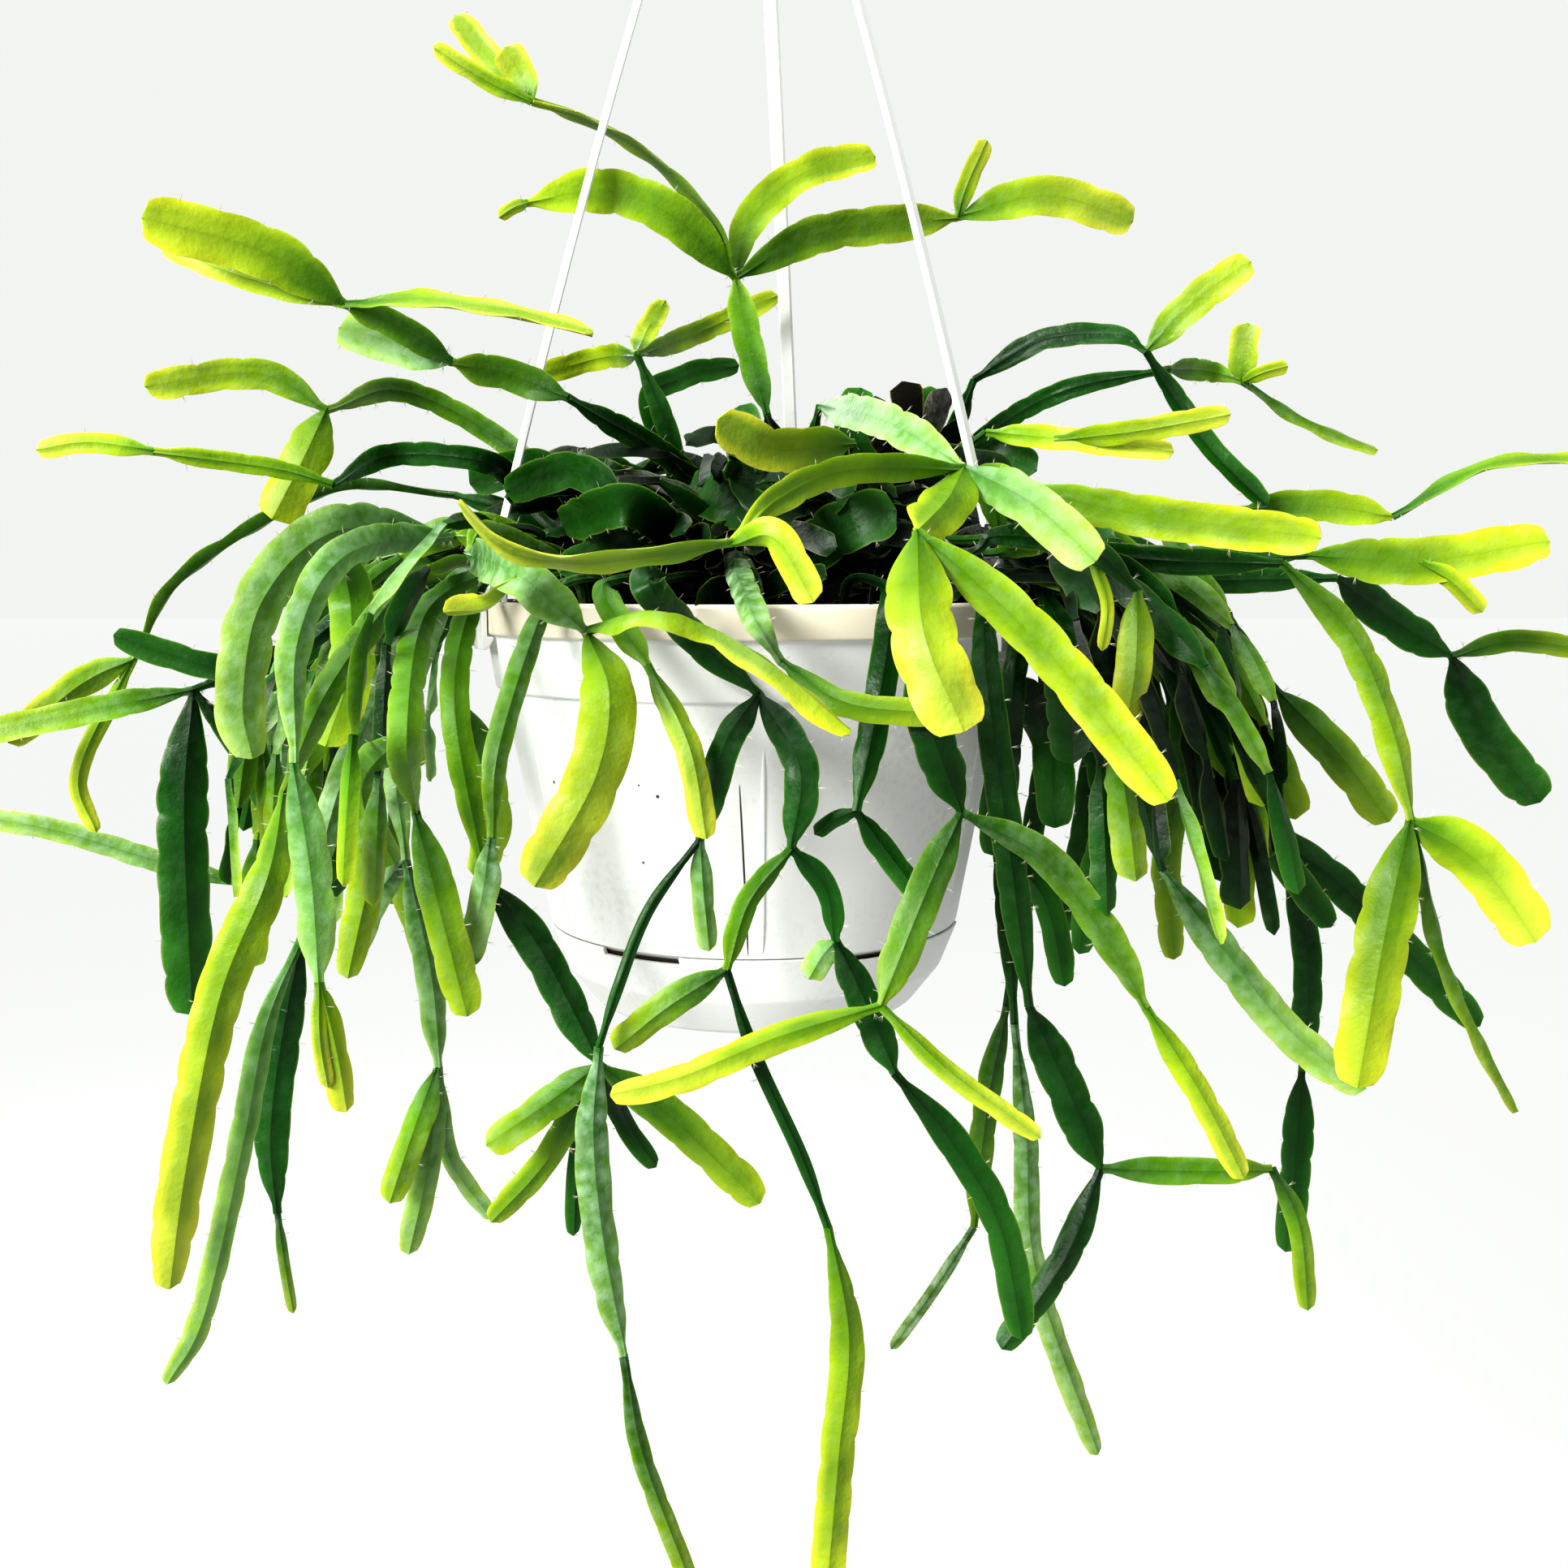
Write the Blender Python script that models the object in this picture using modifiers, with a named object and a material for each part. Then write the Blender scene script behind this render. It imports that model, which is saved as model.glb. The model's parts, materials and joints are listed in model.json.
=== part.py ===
"""A flat-stemmed rhipsalis in a round hanging pot, with its clip-on saucer and its three-legged hanger.

Metres, +Z up. The origin is the point under the hook's bend that the whole thing hangs from.
The front is towards -Y. Stems are laid out from one front view, by its picture points.
"""

import math
import random

import bmesh
import bpy
import numpy as np
from mathutils import Vector

MM = 0.001

# Hanger and pot heights, from the hang point down
RIM_Z = -0.355
HUB_Z = -0.046

# Pot, as radii and as depths below the rim
RIM_RADIUS = 0.100
RIM_BAND = 0.0114
RIM_WALL = 0.0034
RIM_EDGE = 0.0010
RIM_MOUTH = 0.0004
RIM_DRAFT = 0.0008
BAND_UNDERCUT = 0.0002
COLLAR_RADIUS = 0.0975
COLLAR_FOOT_RADIUS = 0.0945
COLLAR_DEPTH = 0.0310
COLLAR_STEP = 0.0006
BODY_TOP_RADIUS = 0.0922
BODY_FOOT_RADIUS = 0.0763
SEAM_DEPTH = 0.1180
SEAM_SHOULDER = 0.0020
PLUG_RADIUS = 0.0749
BASE_RADIUS = 0.0680
BASE_DEPTH = 0.1300
BASE_CORNER = 0.0012
POT_WALL = 0.0018
DRAIN_RADIUS = 0.0045
DRAIN_CIRCLE = 0.040
DRAIN_COUNT = 3
DRAIN_SIDES = 8
DRAIN_CUT = 0.004
RIB_COUNT = 6
RIB_AZIMUTH = 2
RIB_WIDTH = 0.0016
RIB_PROUD = 0.0007
RIB_TOP_DEPTH = 0.046
RIB_FOOT_DEPTH = 0.1155
TURN_STEPS = 30
HUB_STEPS = 12

# Saucer
SAUCER_RADIUS = 0.0770
SAUCER_FOOT_RADIUS = 0.0600
SAUCER_BASE_DEPTH = 0.1480
SAUCER_WALL = 0.0016
SAUCER_FLOOR_CORNER = 0.002
SAUCER_KNEE_DEPTH = 0.016
SAUCER_KNEE_INNER, SAUCER_KNEE_OUTER = 0.0065, 0.0063
SAUCER_BEVEL_OUT, SAUCER_BEVEL_UP = 0.0008, 0.0012
SLOT_WIDTH = 0.031
SLOT_HEIGHT = 0.0025
SLOT_CUT = 0.012
SLOT_AZIMUTH = -31

# Soil, as gaps inside the pot
SOIL_DEPTH = 0.018
SOIL_GAP = 0.0004
SOIL_TOP_INSET = 0.0017
SOIL_STEP = 0.0008
SOIL_SHOULDER = 0.0022
SOIL_SEAM_GAP = 0.0002
HOLE_RADIUS = 0.0038
HOLE_SIDES = 4
HOLE_RISE = 0.01
PEG_DEPTH = 0.012
PEG_HALF = 0.0021

# Hanger
LEG_AZIMUTHS = {"right": 58, "back": 169, "left": -70}
LEG_WIDTH = 0.0053
LEG_THICK = 0.0022
LEG_BOW = 0.0035
LEG_STATIONS = 10
LEG_FOOT_INSET, LEG_FOOT_RISE = 0.0012, 0.003
FOOT_WIDTH = 0.015
FOOT_SHOULDER = (0.012, 0.026)
FOOT_PLATE = 0.0020
FOOT_DROP = 0.0165
FOOT_INNER_DROP = 0.009
FOOT_INNER_GAP = 0.0017
FOOT_SIDE_RISE, FOOT_RISE = 0.0035, 0.005
FOOT_CORNER = 0.0012
CATCH_GAP = 0.0006
CATCH_HEIGHT = 0.001
HUB_RADIUS = 0.0125
HUB_CORE = 0.0062
HUB_FLANGE = 0.004
HUB_HEIGHT = 0.017
HUB_TOP_BEVEL_OUT, HUB_TOP_BEVEL_DOWN = 0.003, 0.0015
HUB_FOOT_BEVEL = 0.002
HUB_FLANGE_DRAFT = 0.0004
HOOK_WIRE = 0.00275
HOOK_BEND = 0.014
HOOK_ROOT = 0.003
HOOK_NECK = 0.004
HOOK_START, HOOK_SWEEP, HOOK_STEPS = -75, 262, 10
CLEARANCE = 0.0003
SMOOTH_ANGLE = math.radians(35)
WELD = 0.00001
TURN_WELD = 0.00005

# The front view: where the eye stands and what its picture measures, in picture points
EYE = Vector((0.0, -0.586, RIM_Z + 0.0087))
EYE_PITCH = math.radians(7.54)
EYE_YAW = math.radians(1.1)
PICTURE_FOCAL = 1935
PICTURE_MIDDLE = 966

# Flat stems
STATION = 15.0
ROOTED_STATION = 24.0
THIN_STATION = 20.0
THIN_WIDTH = 6.0
CRENATION = 0.13
CRENATION_START = 0.16
JOINT_HALF = 2.1
TIP_HALF = 0.9
JOINT_THICK = 1.5
BLADE_THICK = 1.15
TIP_THICK = 0.6
TIP_SHARE = 0.34
SHOULDER_SHARE = 0.34
NECK_SHARE = 0.26
ROUND_SHARE = 0.16
SHOULDER_POWER = 0.85
BACK_FACE = 0.075
BLADE_FOLD = 0.10
LIFT_SHARE = 0.8
PLAIN_LIFT = 8
LEAVE_CLEAR = 0.002

# How far apart crossing stems are pushed, along the line of sight
SETTLE_ROUNDS = 120
SETTLE_GAP = 1.6
SETTLE_STEP = 0.5
SETTLE_SPACING = 4.5
SETTLE_REACH = 45.0
BESIDE_MARGIN = 1.6
DEPTH_MARGIN = 1.5
POT_MARGIN = 1.5
LEG_HALF, FOOT_HALF, LEG_DEEP = 3.2, 8.0, 2.2
LEG_SPOTS = 70
BACK_SIDE = 20.0

# How far clear of the pot the stems stay: over the rim, under it, and beside its band
CLEAR_OVER = 0.004
BAND_FOOT = 0.008
BAND_CLEAR = 0.0028

LIME, GREEN, DARK, PALE = "lime", "green", "dark", "pale"
TONES = {
    LIME: (0.56, 0.70, 0.05),
    GREEN: (0.16, 0.33, 0.02),
    DARK: (0.02, 0.09, 0.015),
    PALE: (0.28, 0.46, 0.20),
}

# Every stem is a name, its root in the soil (azimuth from the front towards +X, radius in mm), how high
# over the rim it leaves (azimuth, mm) or None where its own points say so, and its flat joints. Each joint
# is a width in mm, a turn about its own length in degrees, a tone, and picture points with their distance
# in mm behind the pot's axis. A point without a distance is one that the stem already has.
STEMS = (
    ("stem_front_long", (-13, 62), (-15, 8), (
        (10.5, 10, DARK, (800, 722, -99), (862, 790, -113), (935, 855, -119)),
        (9.5, -15, DARK, (935, 855), (893, 920, -121), (862, 1035, -120)),
        (7, 10, PALE, (862, 1035), (866, 1100, -117), (873, 1172, -114)),
        (3.6, 0, DARK, (862, 1035), (800, 1120, -124), (762, 1215, -130), (738, 1290, -133)),
        (11, 20, PALE, (738, 1290), (730, 1400, -135), (742, 1530, -136), (768, 1670, -137)),
        (6.5, 10, GREEN, (768, 1670), (790, 1790, -137), (842, 1930, -136), (866, 2000, -135)),
        (11, -8, DARK, (935, 855), (986, 945, -120), (975, 1045, -121)),
        (7.5, 20, GREEN, (975, 1045), (922, 1110, -124), (895, 1195, -126)),
        (10, 15, GREEN, (895, 1195), (822, 1240, -128), (757, 1292, -126)),
        (4.4, 0, DARK, (895, 1195), (930, 1300, -130), (985, 1420, -134), (1020, 1512, -138)),
        (11, 12, GREEN, (1020, 1512), (1045, 1650, -140), (1032, 1800, -142), (1016, 1990, -143)),
        (7.5, -15, DARK, (975, 1045), (1018, 1095, -123), (1030, 1160, -122)),
        (8.5, 0, PALE, (1030, 1160), (1012, 1180, -120), (996, 1206, -119)),
        (10.5, 8, DARK, (1030, 1160), (1068, 1240, -125), (1102, 1322, -128)),
        (10.5, -10, DARK, (1102, 1322), (1172, 1405, -132), (1232, 1510, -136), (1260, 1650, -140)),
    )),
    ("stem_front_right", (38, 80), (37, 8), (
        (9, 0, DARK, (1136, 740, -100), (1132, 800, -110)),
        (13, 5, DARK, (1132, 800), (1148, 900, -114), (1184, 1000, -116)),
        (12, 10, GREEN, (1184, 1000), (1140, 1100, -122), (1085, 1240, -133)),
        (9, -12, LIME, (1085, 1240), (960, 1278, -138), (840, 1328, -141), (752, 1350, -142)),
        (6.5, 10, LIME, (1085, 1240), (1168, 1320, -136), (1282, 1402, -138)),
        (11, -20, GREEN, (1184, 1000), (1288, 1058, -118), (1370, 1165, -121), (1412, 1242, -123)),
        (8.5, 10, LIME, (1412, 1242), (1480, 1350, -124), (1532, 1452, -125)),
    )),
    ("stem_front_mid", (22, 80), (22, 7), (
        (9.5, 0, DARK, (1098, 745, -100), (1085, 850, -112), (1055, 1000, -115)),
        (5, 0, DARK, (1055, 1000), (1028, 1010, -115), (1004, 1028, -113)),
        (8, 12, DARK, (1055, 1000), (1098, 1058, -118), (1140, 1112, -120)),
    )),
    ("stem_front_left", (-50, 78), None, (
        (8, 0, GREEN, (604, 655, -82), (576, 682, -102)),
        (13, -12, PALE, (576, 682), (640, 708, -122), (722, 778, -130)),
        (17, 8, LIME, (722, 778), (750, 855, -134), (732, 960, -136), (658, 1092, -138)),
        (12, 66, GREEN, (722, 778), (800, 757, -140), (880, 780, -147), (962, 832, -152), (1048, 904, -155)),
        (9, 60, LIME, (640, 708), (600, 744, -127), (546, 752, -128)),
    )),
    ("stem_front_lime", (-25, 82), (-26, 7), (
        (8.5, 0, GREEN, (748, 740, -106), (798, 820, -117)),
        (8.5, 15, LIME, (798, 820), (848, 920, -124), (870, 1034, -130)),
    )),
    ("stem_front_grey", (1, 78), None, (
        (9, -10, PALE, (905, 690, -97), (930, 760, -120), (962, 815, -128)),
        (8.5, 12, GREEN, (962, 815), (1040, 866, -132), (1164, 880, -136)),
    )),
    ("stem_front_cluster", (36, 36), None, (
        (8, 0, DARK, (990, 600, -10), (1010, 500, -30)),
        (12.5, 15, PALE, (1010, 500), (1090, 520, -70), (1188, 577, -112)),
        (15, -10, LIME, (1188, 577), (1168, 615, -135), (1130, 655, -154)),
        (18.5, 5, LIME, (1130, 655), (1138, 780, -172), (1187, 902, -180)),
        (9, 20, GREEN, (1188, 577), (1050, 577, -142), (960, 612, -162), (903, 668, -172)),
        (9, -15, LIME, (903, 668), (955, 662, -180), (1002, 742, -184)),
        (12, 66, LIME, (903, 668), (800, 682, -180), (700, 690, -184), (620, 670, -182), (566, 618, -178)),
        (13.5, 10, PALE, (1188, 577), (1270, 620, -136), (1350, 692, -150)),
        (13, -6, GREEN, (1130, 655), (1205, 718, -160), (1300, 812, -168), (1440, 987, -180)),
    )),
    ("stem_right_reach", (54, 56), (50, 22), (
        (9, 0, GREEN, (1215, 590, -84), (1262, 600, -96)),
        (13, -14, GREEN, (1262, 600), (1400, 632, -112), (1628, 662, -128)),
    )),
    ("stem_right_pair", (53, 35), None, (
        (8, 0, DARK, (1130, 600, -8), (1215, 533, -14)),
        (9, 18, LIME, (1215, 533), (1300, 541, -24), (1446, 557, -40)),
        (8.5, -18, LIME, (1300, 541), (1400, 530, -44), (1516, 510, -60)),
    )),
    ("stem_crown_lime", (20, 46), None, (
        (8, 0, DARK, (1010, 600, -50), (1052, 546, -72)),
        (14, 8, LIME, (1052, 546), (955, 553, -96), (884, 517, -108)),
    )),
    ("stem_upright", (160, 14), None, (
        (11, 10, DARK, (962, 580, 14), (945, 510, 12)),
        (11, 10, GREEN, (945, 510), (925, 430, 10), (906, 342, 6)),
        (15.5, -8, GREEN, (906, 342), (830, 268, -5), (745, 236, -15), (650, 250, -22)),
        (4.5, 0, LIME, (650, 250), (632, 256, -24), (614, 268, -26)),
        (11, 68, GREEN, (906, 342), (878, 268, 0), (800, 190, -8), (720, 145, -14), (655, 125, -18)),
        (11.5, 10, LIME, (655, 125), (642, 92, -20), (622, 58, -22)),
        (7, 20, LIME, (655, 125), (600, 98, -26), (534, 56, -30)),
        (10, -12, LIME, (655, 125), (604, 74, -12), (560, 20, -8)),
        (13, 14, GREEN, (906, 342), (925, 272, 14), (990, 215, 22), (1078, 193, 30)),
        (14, -12, GREEN, (906, 342), (1000, 290, 10), (1100, 275, 14), (1180, 268, 18)),
        (14.5, 10, LIME, (1180, 268), (1290, 242, 20), (1396, 272, 24)),
        (7.5, -10, LIME, (1180, 268), (1190, 230, 16), (1215, 172, 14)),
    )),
    ("stem_back_left_tips", (-144, 48), None, (
        (8, 0, DARK, (830, 560, 44), (785, 437, 45)),
        (9.5, 15, GREEN, (785, 437), (740, 440, 40), (660, 462, 34)),
        (9, -10, GREEN, (785, 437), (870, 405, 50), (958, 364, 55)),
        (9, 12, LIME, (785, 437), (800, 402, 44), (820, 370, 42)),
    )),
    ("stem_back_dark", (-176, 44), None, (
        (9, 10, DARK, (806, 515, 54), (838, 466, 56), (910, 450, 60)),
    )),
    ("stem_left_high", (-60, 26), None, (
        (9, 0, DARK, (850, 590, -30), (700, 490, -52)),
        (11, 12, GREEN, (700, 490), (630, 462, -62), (557, 446, -70)),
        (14, -10, PALE, (557, 446), (490, 424, -66), (418, 405, -60)),
        (9, 10, GREEN, (557, 446), (490, 402, -78), (425, 375, -86)),
        (16, 6, GREEN, (425, 375), (330, 312, -94), (175, 268, -102)),
        (8, -14, LIME, (425, 375), (300, 342, -84), (200, 303, -80)),
        (10, 62, GREEN, (425, 375), (520, 372, -96), (640, 390, -104), (730, 412, -110)),
    )),
    ("stem_left_wide", (-100, 44), None, (
        (9, 0, GREEN, (640, 560, -4), (500, 482, -16), (402, 505, -25)),
        (11, 14, GREEN, (402, 505), (320, 460, -30), (178, 475, -36)),
        (16, -10, GREEN, (402, 505), (372, 570, -32), (336, 640, -36)),
    )),
    ("stem_left_arch", (-80, 58), None, (
        (9, 20, DARK, (640, 598, -26), (590, 566, -34), (480, 560, -46), (410, 597, -56)),
        (6.5, 10, GREEN, (410, 597), (340, 577, -60), (190, 556, -66)),
        (7, -15, LIME, (190, 556), (110, 546, -68), (45, 555, -70)),
    )),
    ("stem_left_fold", (-62, 58), None, (
        (9, 0, GREEN, (604, 648, -56), (540, 656, -72)),
        (16, 12, PALE, (540, 656), (410, 655, -94), (322, 740, -104), (298, 862, -110), (310, 935, -112)),
        (15, -10, GREEN, (410, 655), (432, 740, -92), (430, 830, -92), (402, 920, -92)),
    )),
    ("stem_left_ribbon", (-54, 62), None, (
        (9, 0, GREEN, (612, 668, -76), (560, 660, -92)),
        (11, 20, PALE, (560, 660), (430, 680, -114), (366, 785, -126), (362, 940, -132)),
        (11.5, -10, PALE, (362, 940), (384, 1080, -136), (393, 1210, -138)),
        (8.5, 15, LIME, (393, 1210), (412, 1290, -139), (426, 1370, -140)),
        (4.5, 0, LIME, (393, 1210), (394, 1280, -141), (404, 1340, -142)),
    )),
    ("stem_left_lime", (-79, 80), (-80, 10), (
        (9, 0, GREEN, (520, 700, -62), (410, 840, -98), (350, 975, -112)),
        (14, 6, LIME, (350, 975), (330, 1080, -116), (270, 1230, -120), (228, 1440, -124), (208, 1588, -126)),
    )),
    ("stem_left_grey", (-88, 82), (-89, 8), (
        (9, 10, PALE, (520, 760, -44), (425, 950, -76), (372, 1155, -92)),
        (8.5, 18, PALE, (372, 1155), (328, 1260, -102), (300, 1400, -106), (250, 1620, -110), (205, 1705, -112)),
        (11.5, -10, DARK, (372, 1155), (348, 1280, -88), (334, 1400, -88), (342, 1495, -90)),
        (3.6, 0, GREEN, (342, 1495), (350, 1555, -91), (361, 1618, -92)),
        (10, 20, GREEN, (425, 950), (462, 1020, -62), (500, 1100, -60), (548, 1232, -58)),
    )),
    ("stem_left_fan", (-98, 82), (-98, 8), (
        (9, 0, DARK, (500, 735, -4), (380, 795, -12), (238, 850, -22)),
        (18, 10, DARK, (238, 850), (226, 1000, -26), (236, 1250, -30)),
        (10, -14, GREEN, (238, 850), (150, 868, -28), (0, 900, -36), (-44, 906, -38)),
        (7.5, 12, DARK, (238, 850), (290, 918, -18), (330, 1000, -14)),
        (10, 10, DARK, (380, 795), (285, 822, -30), (210, 806, -34), (140, 782, -38)),
    )),
    ("stem_left_wire", (-118, 62), None, (
        (8, 0, DARK, (650, 640, 30), (560, 610, 22)),
        (11, 66, GREEN, (560, 610), (430, 600, 10), (330, 640, 0), (216, 720, -10), (165, 812, -16)),
        (11.5, 12, LIME, (165, 812), (100, 842, -22), (10, 915, -30)),
        (6.5, -10, LIME, (165, 812), (98, 950, -14), (118, 1026, -12)),
    )),
    ("stem_left_low", (-120, 82), (-118, 9), (
        (9, 0, DARK, (500, 800, 60), (400, 980, 36), (312, 1092, 20)),
        (9, 16, PALE, (312, 1092), (200, 1062, 10), (70, 1022, 2), (-36, 1005, -2)),
    )),
    ("stem_left_inner", (-44, 82), (-44, 8), (
        (10, 10, GREEN, (585, 712, -98), (522, 760, -106), (500, 900, -114), (512, 1000, -118)),
        (12, -12, GREEN, (512, 1000), (540, 1110, -120), (576, 1252, -122)),
        (11, 16, GREEN, (500, 900), (446, 965, -106), (456, 1060, -104), (428, 1205, -104)),
    )),
    ("stem_left_scar", (-35, 80), (-35, 7), (
        (8, 10, GREEN, (668, 752, -108), (614, 920, -116), (606, 1032, -118)),
        (9, -14, PALE, (606, 1032), (594, 1110, -119), (574, 1190, -120)),
    )),
    ("stem_left_spray", (-61, 82), (-60, 8), (
        (9, 0, PALE, (556, 720, -80), (490, 900, -92), (500, 1060, -98)),
        (9, 14, PALE, (500, 1060), (530, 1200, -100), (540, 1315, -102)),
        (9, -18, PALE, (500, 1060), (462, 1110, -94), (424, 1200, -92)),
        (9.5, -12, GREEN, (540, 1315), (508, 1400, -106), (480, 1482, -108)),
        (9, 12, PALE, (540, 1315), (528, 1430, -98), (503, 1545, -96)),
        (6.5, -20, PALE, (540, 1315), (552, 1420, -92), (606, 1502, -88)),
    )),
    ("stem_left_star", (-52, 82), (-52, 8), (
        (9, 0, GREEN, (588, 728, -96), (560, 860, -104), (598, 1085, -108)),
        (12, 10, DARK, (598, 1085), (662, 1165, -110), (738, 1312, -114)),
        (12, -14, GREEN, (560, 860), (590, 930, -98), (606, 1010, -96), (586, 1080, -96)),
        (11, -12, GREEN, (738, 1312), (672, 1362, -118), (600, 1412, -120)),
        (9, 14, GREEN, (738, 1312), (676, 1425, -106), (605, 1505, -102)),
        (6, 0, DARK, (738, 1312), (712, 1425, -100), (706, 1522, -96)),
        (7, 10, DARK, (738, 1312), (770, 1385, -98), (808, 1438, -96)),
        (12, -10, GREEN, (738, 1312), (832, 1382, -112), (937, 1482, -116)),
    )),
    ("stem_right_arch", (115, 42), None, (
        (8, 0, DARK, (1160, 560, 26), (1200, 468, 24)),
        (9, 22, DARK, (1200, 468), (1285, 420, 16), (1375, 414, 8), (1412, 433, 4)),
        (12.5, 10, GREEN, (1412, 433), (1470, 374, -2), (1541, 322, -8)),
        (8, -16, DARK, (1412, 433), (1442, 480, 2), (1492, 552, -4), (1562, 622, -12)),
    )),
    ("stem_right_tips", (132, 58), None, (
        (8, 0, DARK, (1190, 560, 60), (1300, 486, 66), (1440, 455, 62)),
        (9, 12, GREEN, (1440, 455), (1490, 458, 60), (1530, 470, 58)),
        (12, 10, LIME, (1530, 470), (1532, 440, 57), (1537, 398, 56)),
        (6, -10, LIME, (1530, 470), (1558, 458, 52), (1587, 451, 50)),
        (10, 64, GREEN, (1530, 470), (1610, 520, 62), (1697, 556, 60)),
    )),
    ("stem_right_thread", (100, 60), (98, 20), (
        (9, 0, DARK, (1270, 648, 16), (1400, 640, 8), (1530, 628, -2)),
        (12, 12, GREEN, (1530, 628), (1620, 624, -8), (1716, 637, -14)),
        (10, 64, GREEN, (1716, 637), (1830, 577, -22), (1932, 568, -28), (1966, 570, -30)),
    )),
    ("stem_right_broad", (78, 60), (76, 20), (
        (10, 0, DARK, (1270, 668, -34), (1430, 690, -44), (1610, 684, -52)),
        (16, 8, GREEN, (1610, 684), (1750, 692, -58), (1909, 667, -64)),
        (7, -16, LIME, (1750, 692), (1790, 716, -62), (1827, 754, -64)),
    )),
    ("stem_right_dark", (88, 72), (87, 13), (
        (10, 0, DARK, (1290, 720, 0), (1450, 716, -6), (1648, 712, -10)),
        (14, 10, DARK, (1648, 712), (1714, 762, -12), (1788, 808, -14)),
        (8.5, -12, GREEN, (1788, 808), (1860, 789, -18), (1932, 796, -22), (1968, 800, -24)),
        (17, 8, DARK, (1788, 808), (1828, 900, -14), (1898, 988, -18)),
    )),
    ("stem_right_drape", (67, 62), (66, 19), (
        (9, 0, DARK, (1280, 676, -76), (1430, 690, -92), (1580, 694, -98)),
        (10.5, 22, GREEN, (1580, 694), (1664, 782, -102), (1714, 900, -106), (1738, 1010, -108)),
        (17, 8, GREEN, (1738, 1010), (1706, 1150, -112), (1672, 1340, -116)),
        (17, -8, LIME, (1738, 1010), (1822, 1062, -112), (1893, 1160, -118)),
        (9, 62, GREEN, (1738, 1010), (1782, 1190, -100), (1868, 1370, -96)),
    )),
    ("stem_right_bank", (84, 46), (82, 27), (
        (9, 0, DARK, (1290, 640, -22), (1440, 700, -30), (1572, 850, -36)),
        (14, 12, GREEN, (1572, 850), (1650, 930, -42), (1712, 1012, -46)),
        (11, -12, DARK, (1440, 700), (1494, 790, -26), (1512, 905, -26)),
        (11, 10, DARK, (1512, 905), (1550, 1010, -26), (1640, 1142, -28)),
    )),
    ("stem_right_slope", (70, 82), (69, 9), (
        (9, 0, DARK, (1290, 740, -56), (1380, 900, -72), (1432, 1072, -80)),
        (12.5, 14, PALE, (1432, 1072), (1500, 1162, -84), (1590, 1272, -88), (1682, 1342, -92)),
        (16, 14, DARK, (1290, 740), (1316, 830, -62), (1322, 940, -64)),
        (11, -10, DARK, (1380, 900), (1372, 990, -62), (1346, 1080, -60), (1330, 1175, -58)),
    )),
    ("stem_right_stout", (97, 82), (96, 8), (
        (10, 0, DARK, (1290, 735, 16), (1400, 850, 18), (1492, 990, 18)),
        (14, 8, DARK, (1492, 990), (1622, 1066, 14), (1722, 1160, 12), (1823, 1264, 10)),
        (12, -16, DARK, (1400, 850), (1352, 930, 10), (1334, 1040, 6), (1304, 1150, 4)),
    )),
    ("stem_right_plumb", (106, 82), (105, 8), (
        (10, 0, DARK, (1300, 730, 40), (1490, 840, 44), (1588, 1058, 42)),
        (12, 12, DARK, (1588, 1058), (1612, 1180, 42), (1604, 1320, 41)),
        (13, -10, DARK, (1604, 1320), (1596, 1430, 41), (1584, 1542, 40)),
        (12, 18, GREEN, (1490, 840), (1462, 930, 42), (1440, 1050, 40), (1446, 1182, 40)),
    )),
    ("stem_right_fork", (47, 82), (46, 8), (
        (10, 0, DARK, (1215, 830, -98), (1240, 1020, -100), (1268, 1240, -102)),
        (13.5, 10, DARK, (1268, 1240), (1316, 1345, -104), (1356, 1440, -106)),
        (9, -14, GREEN, (1356, 1440), (1460, 1442, -108), (1567, 1440, -110)),
        (7, 12, GREEN, (1567, 1440), (1600, 1510, -110), (1611, 1614, -110)),
        (9.5, 10, DARK, (1356, 1440), (1312, 1550, -112), (1234, 1662, -116)),
    )),
    ("stem_right_pale", (79, 82), (78, 8), (
        (9, 0, DARK, (1250, 830, -36), (1238, 1050, -46), (1250, 1262, -52)),
        (9.5, 16, PALE, (1250, 1262), (1264, 1400, -54), (1276, 1570, -56), (1352, 1792, -58)),
        (10, -14, DARK, (1238, 1050), (1288, 1110, -46), (1312, 1215, -48)),
        (15, -12, DARK, (1250, 830), (1292, 910, -40), (1300, 1020, -42)),
    )),
    ("stem_right_fine", (88, 84), (87, 7), (
        (9, 0, DARK, (1298, 850, 0), (1268, 1050, -14), (1240, 1240, -18)),
        (10, 14, GREEN, (1240, 1240), (1216, 1360, -20), (1200, 1512, -22)),
        (4.8, 0, PALE, (1200, 1512), (1150, 1590, -24), (1098, 1662, -26)),
        (14, 18, DARK, (1298, 850), (1356, 930, -4), (1376, 1050, -8)),
    )),
    ("stem_right_leaf", (45, 62), (43, 16), (
        (8, 0, DARK, (1230, 660, -112), (1340, 676, -118), (1402, 728, -120)),
        (11, 12, LIME, (1402, 728), (1398, 820, -122), (1384, 902, -124)),
        (4, 0, LIME, (1340, 676), (1364, 742, -120), (1358, 802, -121)),
    )),
    ("crown_front_left", (-30, 58), None, (
        (9, 0, DARK, (850, 676, -62)),
        (14, 14, DARK, (850, 676), (778, 622, -66), (694, 646, -72)),
        (12, -16, DARK, (850, 676), (770, 668, -76), (690, 706, -80)),
        (13, 20, DARK, (778, 622), (706, 578, -60), (622, 604, -62)),
    )),
    ("crown_front_right", (8, 58), None, (
        (10, 0, DARK, (986, 690, -62)),
        (18, 12, DARK, (986, 690), (1040, 650, -70), (1104, 628, -78)),
        (17, -14, DARK, (986, 690), (934, 640, -60), (850, 600, -58)),
        (15, 18, DARK, (934, 640), (924, 566, -50), (912, 500, -44)),
    )),
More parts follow.
